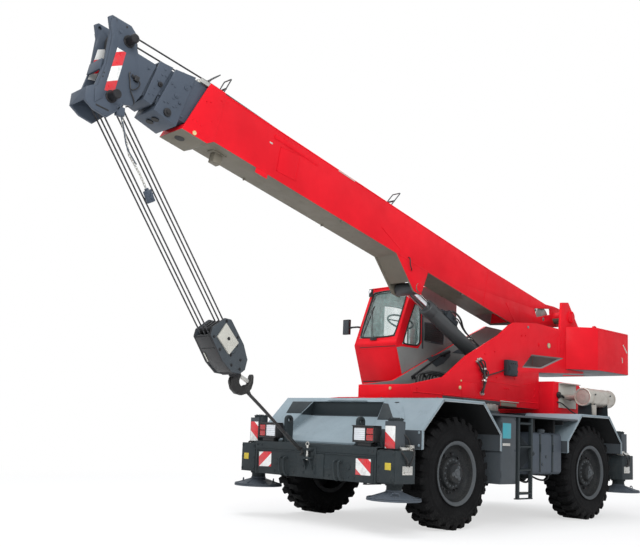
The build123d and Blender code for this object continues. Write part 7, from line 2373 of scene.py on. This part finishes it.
def make_camera():
    """Camera at the viewing angle of the reference view."""
    ahead = Vector((math.cos(CAMERA_YAW) * math.cos(CAMERA_PITCH),
                    math.sin(CAMERA_YAW) * math.cos(CAMERA_PITCH), math.sin(CAMERA_PITCH)))
    right = ahead.cross(Vector(UP)).normalized()
    up = right.cross(ahead)
    rolled_right = right * math.cos(CAMERA_ROLL) + up * math.sin(CAMERA_ROLL)
    rolled_up = -right * math.sin(CAMERA_ROLL) + up * math.cos(CAMERA_ROLL)
    data = bpy.data.cameras.new("view")
    data.sensor_width = 36
    data.lens = FOCAL_PIXELS / IMAGE[0] * data.sensor_width
    data.shift_x = (IMAGE[0] / 2 - PRINCIPAL[0]) / IMAGE[0]
    data.shift_y = (PRINCIPAL[1] - IMAGE[1] / 2) / IMAGE[0]
    data.clip_end = 200
    camera = bpy.data.objects.new("view", data)
    bpy.context.collection.objects.link(camera)
    camera.matrix_world = Matrix.Translation(CAMERA_PLACE) @ Matrix(
        (rolled_right, rolled_up, -ahead)).transposed().to_4x4()
    bpy.context.scene.camera = camera


def area_light(name, place, target, size, power):
    """Soft square light that faces a point."""
    data = bpy.data.lights.new(name, "AREA")
    data.size = size
    data.energy = power
    lamp = bpy.data.objects.new(name, data)
    bpy.context.collection.objects.link(lamp)
    lamp.location = place
    lamp.rotation_euler = (Vector(target) - Vector(place)).to_track_quat("-Z", "Y").to_euler()


def seen_directly(tree):
    """1 for rays from the camera or through glass, and 0 for all others."""
    rays = add_node(tree, "ShaderNodeLightPath").outputs
    return add_node(tree, "ShaderNodeMath", {0: rays["Is Camera Ray"], 1: rays["Is Transmission Ray"]},
                    operation="MAXIMUM").outputs[0]


def mixed(tree, share, one, other, output):
    """Mix two shaders into the tree's output."""
    mix = add_node(tree, "ShaderNodeMixShader", {0: share, 1: one.outputs[0], 2: other.outputs[0]})
    add_node(tree, output, {0: mix.outputs[0]})


def make_world(level):
    """Even studio light, seen as plain white by the camera and through glass."""
    world = bpy.data.worlds.new("studio")
    bpy.context.scene.world = world
    world.use_nodes = True
    tree = world.node_tree
    tree.nodes.clear()
    light = add_node(tree, "ShaderNodeBackground", {0: SKY_COLOUR, 1: level})
    white = add_node(tree, "ShaderNodeBackground", {0: (1, 1, 1)})
    mixed(tree, seen_directly(tree), light, white, "ShaderNodeOutputWorld")


def make_floor():
    """Plain white floor that keeps the shadow near the crane."""
    bpy.ops.mesh.primitive_plane_add(size=120, location=(0, 0, -0.001))
    floor = bpy.context.object
    floor.name = "floor"
    look = bpy.data.materials.new("floor_white")
    look.use_nodes = True
    tree = look.node_tree
    tree.nodes.clear()
    place = add_node(tree, "ShaderNodeTexCoord").outputs["Object"]
    distance = add_node(tree, "ShaderNodeVectorMath", {0: place}, operation="LENGTH").outputs["Value"]
    fade = add_node(tree, "ShaderNodeMapRange", {
        "Value": distance, "From Min": SHADOW_NEAR, "From Max": SHADOW_FAR, "To Min": 0.62, "To Max": 1.0},
        interpolation_type="SMOOTHSTEP").outputs["Result"]
    share = add_node(
        tree, "ShaderNodeMath", {0: seen_directly(tree), 1: fade}, operation="MULTIPLY").outputs[0]
    base = add_node(tree, "ShaderNodeBsdfDiffuse", {0: (0.8, 0.8, 0.8)})
    glow = add_node(tree, "ShaderNodeEmission")
    mixed(tree, share, base, glow, "ShaderNodeOutputMaterial")
    floor.data.materials.append(look)
    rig.stage(floor)


class CRANE_OT_stage(bpy.types.Operator):
    """Set up the floor, the soft light and the camera"""
    bl_idname = "crane.stage"
    bl_label = "Stage"

    def execute(self, context):
        clear()
        make_camera()
        make_world(context.scene.crane_look.sky)
        make_floor()
        power = context.scene.crane_look.lamp
        area_light("key", (9, -9, 9), (0, -1, 1.5), 7, power)
        area_light("top", (-2, -3, 12), (0, -1, 1.5), 9, power * 0.9)
        area_light("back", (-8, 9, 7), (0, 0, 2), 7, power * 0.35)
        context.scene.view_settings.view_transform = "Standard"
        return {"FINISHED"}


# ------------------------------------------------------------------ settings, panel and registration
def colour_setting(name, default, words):
    """Colour property with its name, default and description."""
    return bpy.props.FloatVectorProperty(
        name=name, description=words, default=default, subtype="COLOR", size=3, min=0, max=1)


def length_setting(name, default, words):
    """Length property in metres."""
    return bpy.props.FloatProperty(name=name, description=words, default=default, unit="LENGTH", min=0)


class CraneLook(bpy.types.PropertyGroup):
    """Colours and light that a user may change"""
    red: colour_setting("Red paint", (0.7, 0.006, 0.016), "Paint of the boom, turntable, cab and engine hood")
    carrier: colour_setting("Carrier grey", (0.225, 0.285, 0.32), "Paint of the fenders and the front hood")
    slate: colour_setting("Slate", (0.062, 0.078, 0.104), "Paint of the inner boom sections and the head")
    dark: colour_setting(
        "Frame grey", (0.02, 0.028, 0.032), "Paint of the frame, axles and outrigger housings")
    glass: colour_setting("Glass tint", (0.36, 0.56, 0.53), "Tint of the cab windows")
    sky: bpy.props.FloatProperty(
        name="Sky light", description="Strength of the even light", default=0.78, min=0)
    lamp: bpy.props.FloatProperty(
        name="Lamp power", description="Power of the key light", default=900, min=0, unit="POWER")


class CraneSizes(bpy.types.PropertyGroup):
    """Sizes that a user may change"""
    edge: length_setting("Edge radius", 0.004, "Rounding of plate and housing edges")
    lug_count: bpy.props.IntProperty(
        name="Lugs", description="Tread lugs on each side of a tyre", default=26, min=8, max=60)


OPERATORS = [value for name, value in list(globals().items()) if name.startswith("CRANE_OT_")]
STEPS = [value.bl_idname.split(".")[1] for value in OPERATORS]


class CRANE_PT_panel(bpy.types.Panel):
    """Panel that lists the steps and settings"""
    bl_idname = "CRANE_PT_panel"
    bl_label = "Mobile crane"
    bl_space_type = "VIEW_3D"
    bl_region_type = "UI"
    bl_category = "Crane"

    def draw(self, context):
        for group in (context.scene.crane_look, context.scene.crane_sizes):
            for key in group.__annotations__:
                self.layout.prop(group, key)
        for operator in OPERATORS:
            self.layout.operator(operator.bl_idname)


CLASSES = [CraneLook, CraneSizes, *OPERATORS, CRANE_PT_panel]


def register():
    """Register the classes and their settings."""
    for item in CLASSES:
        bpy.utils.register_class(item)
    bpy.types.Scene.crane_look = bpy.props.PointerProperty(type=CraneLook)
    bpy.types.Scene.crane_sizes = bpy.props.PointerProperty(type=CraneSizes)


def unregister():
    """Remove what register added."""
    del bpy.types.Scene.crane_look
    del bpy.types.Scene.crane_sizes
    for item in reversed(CLASSES):
        bpy.utils.unregister_class(item)


def main():
    """Build every piece in order and write the two boxes."""
    register()
    for step in STEPS:
        getattr(bpy.ops.crane, step)()
    clear()
    model_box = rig.bounds()
    with open("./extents.json", "w") as file:
        json.dump({"cad": [list(corner) for corner in CAD_BOX],
                   "visual": [list(corner) for corner in model_box]}, file)


if __name__ == "__main__":
    main()
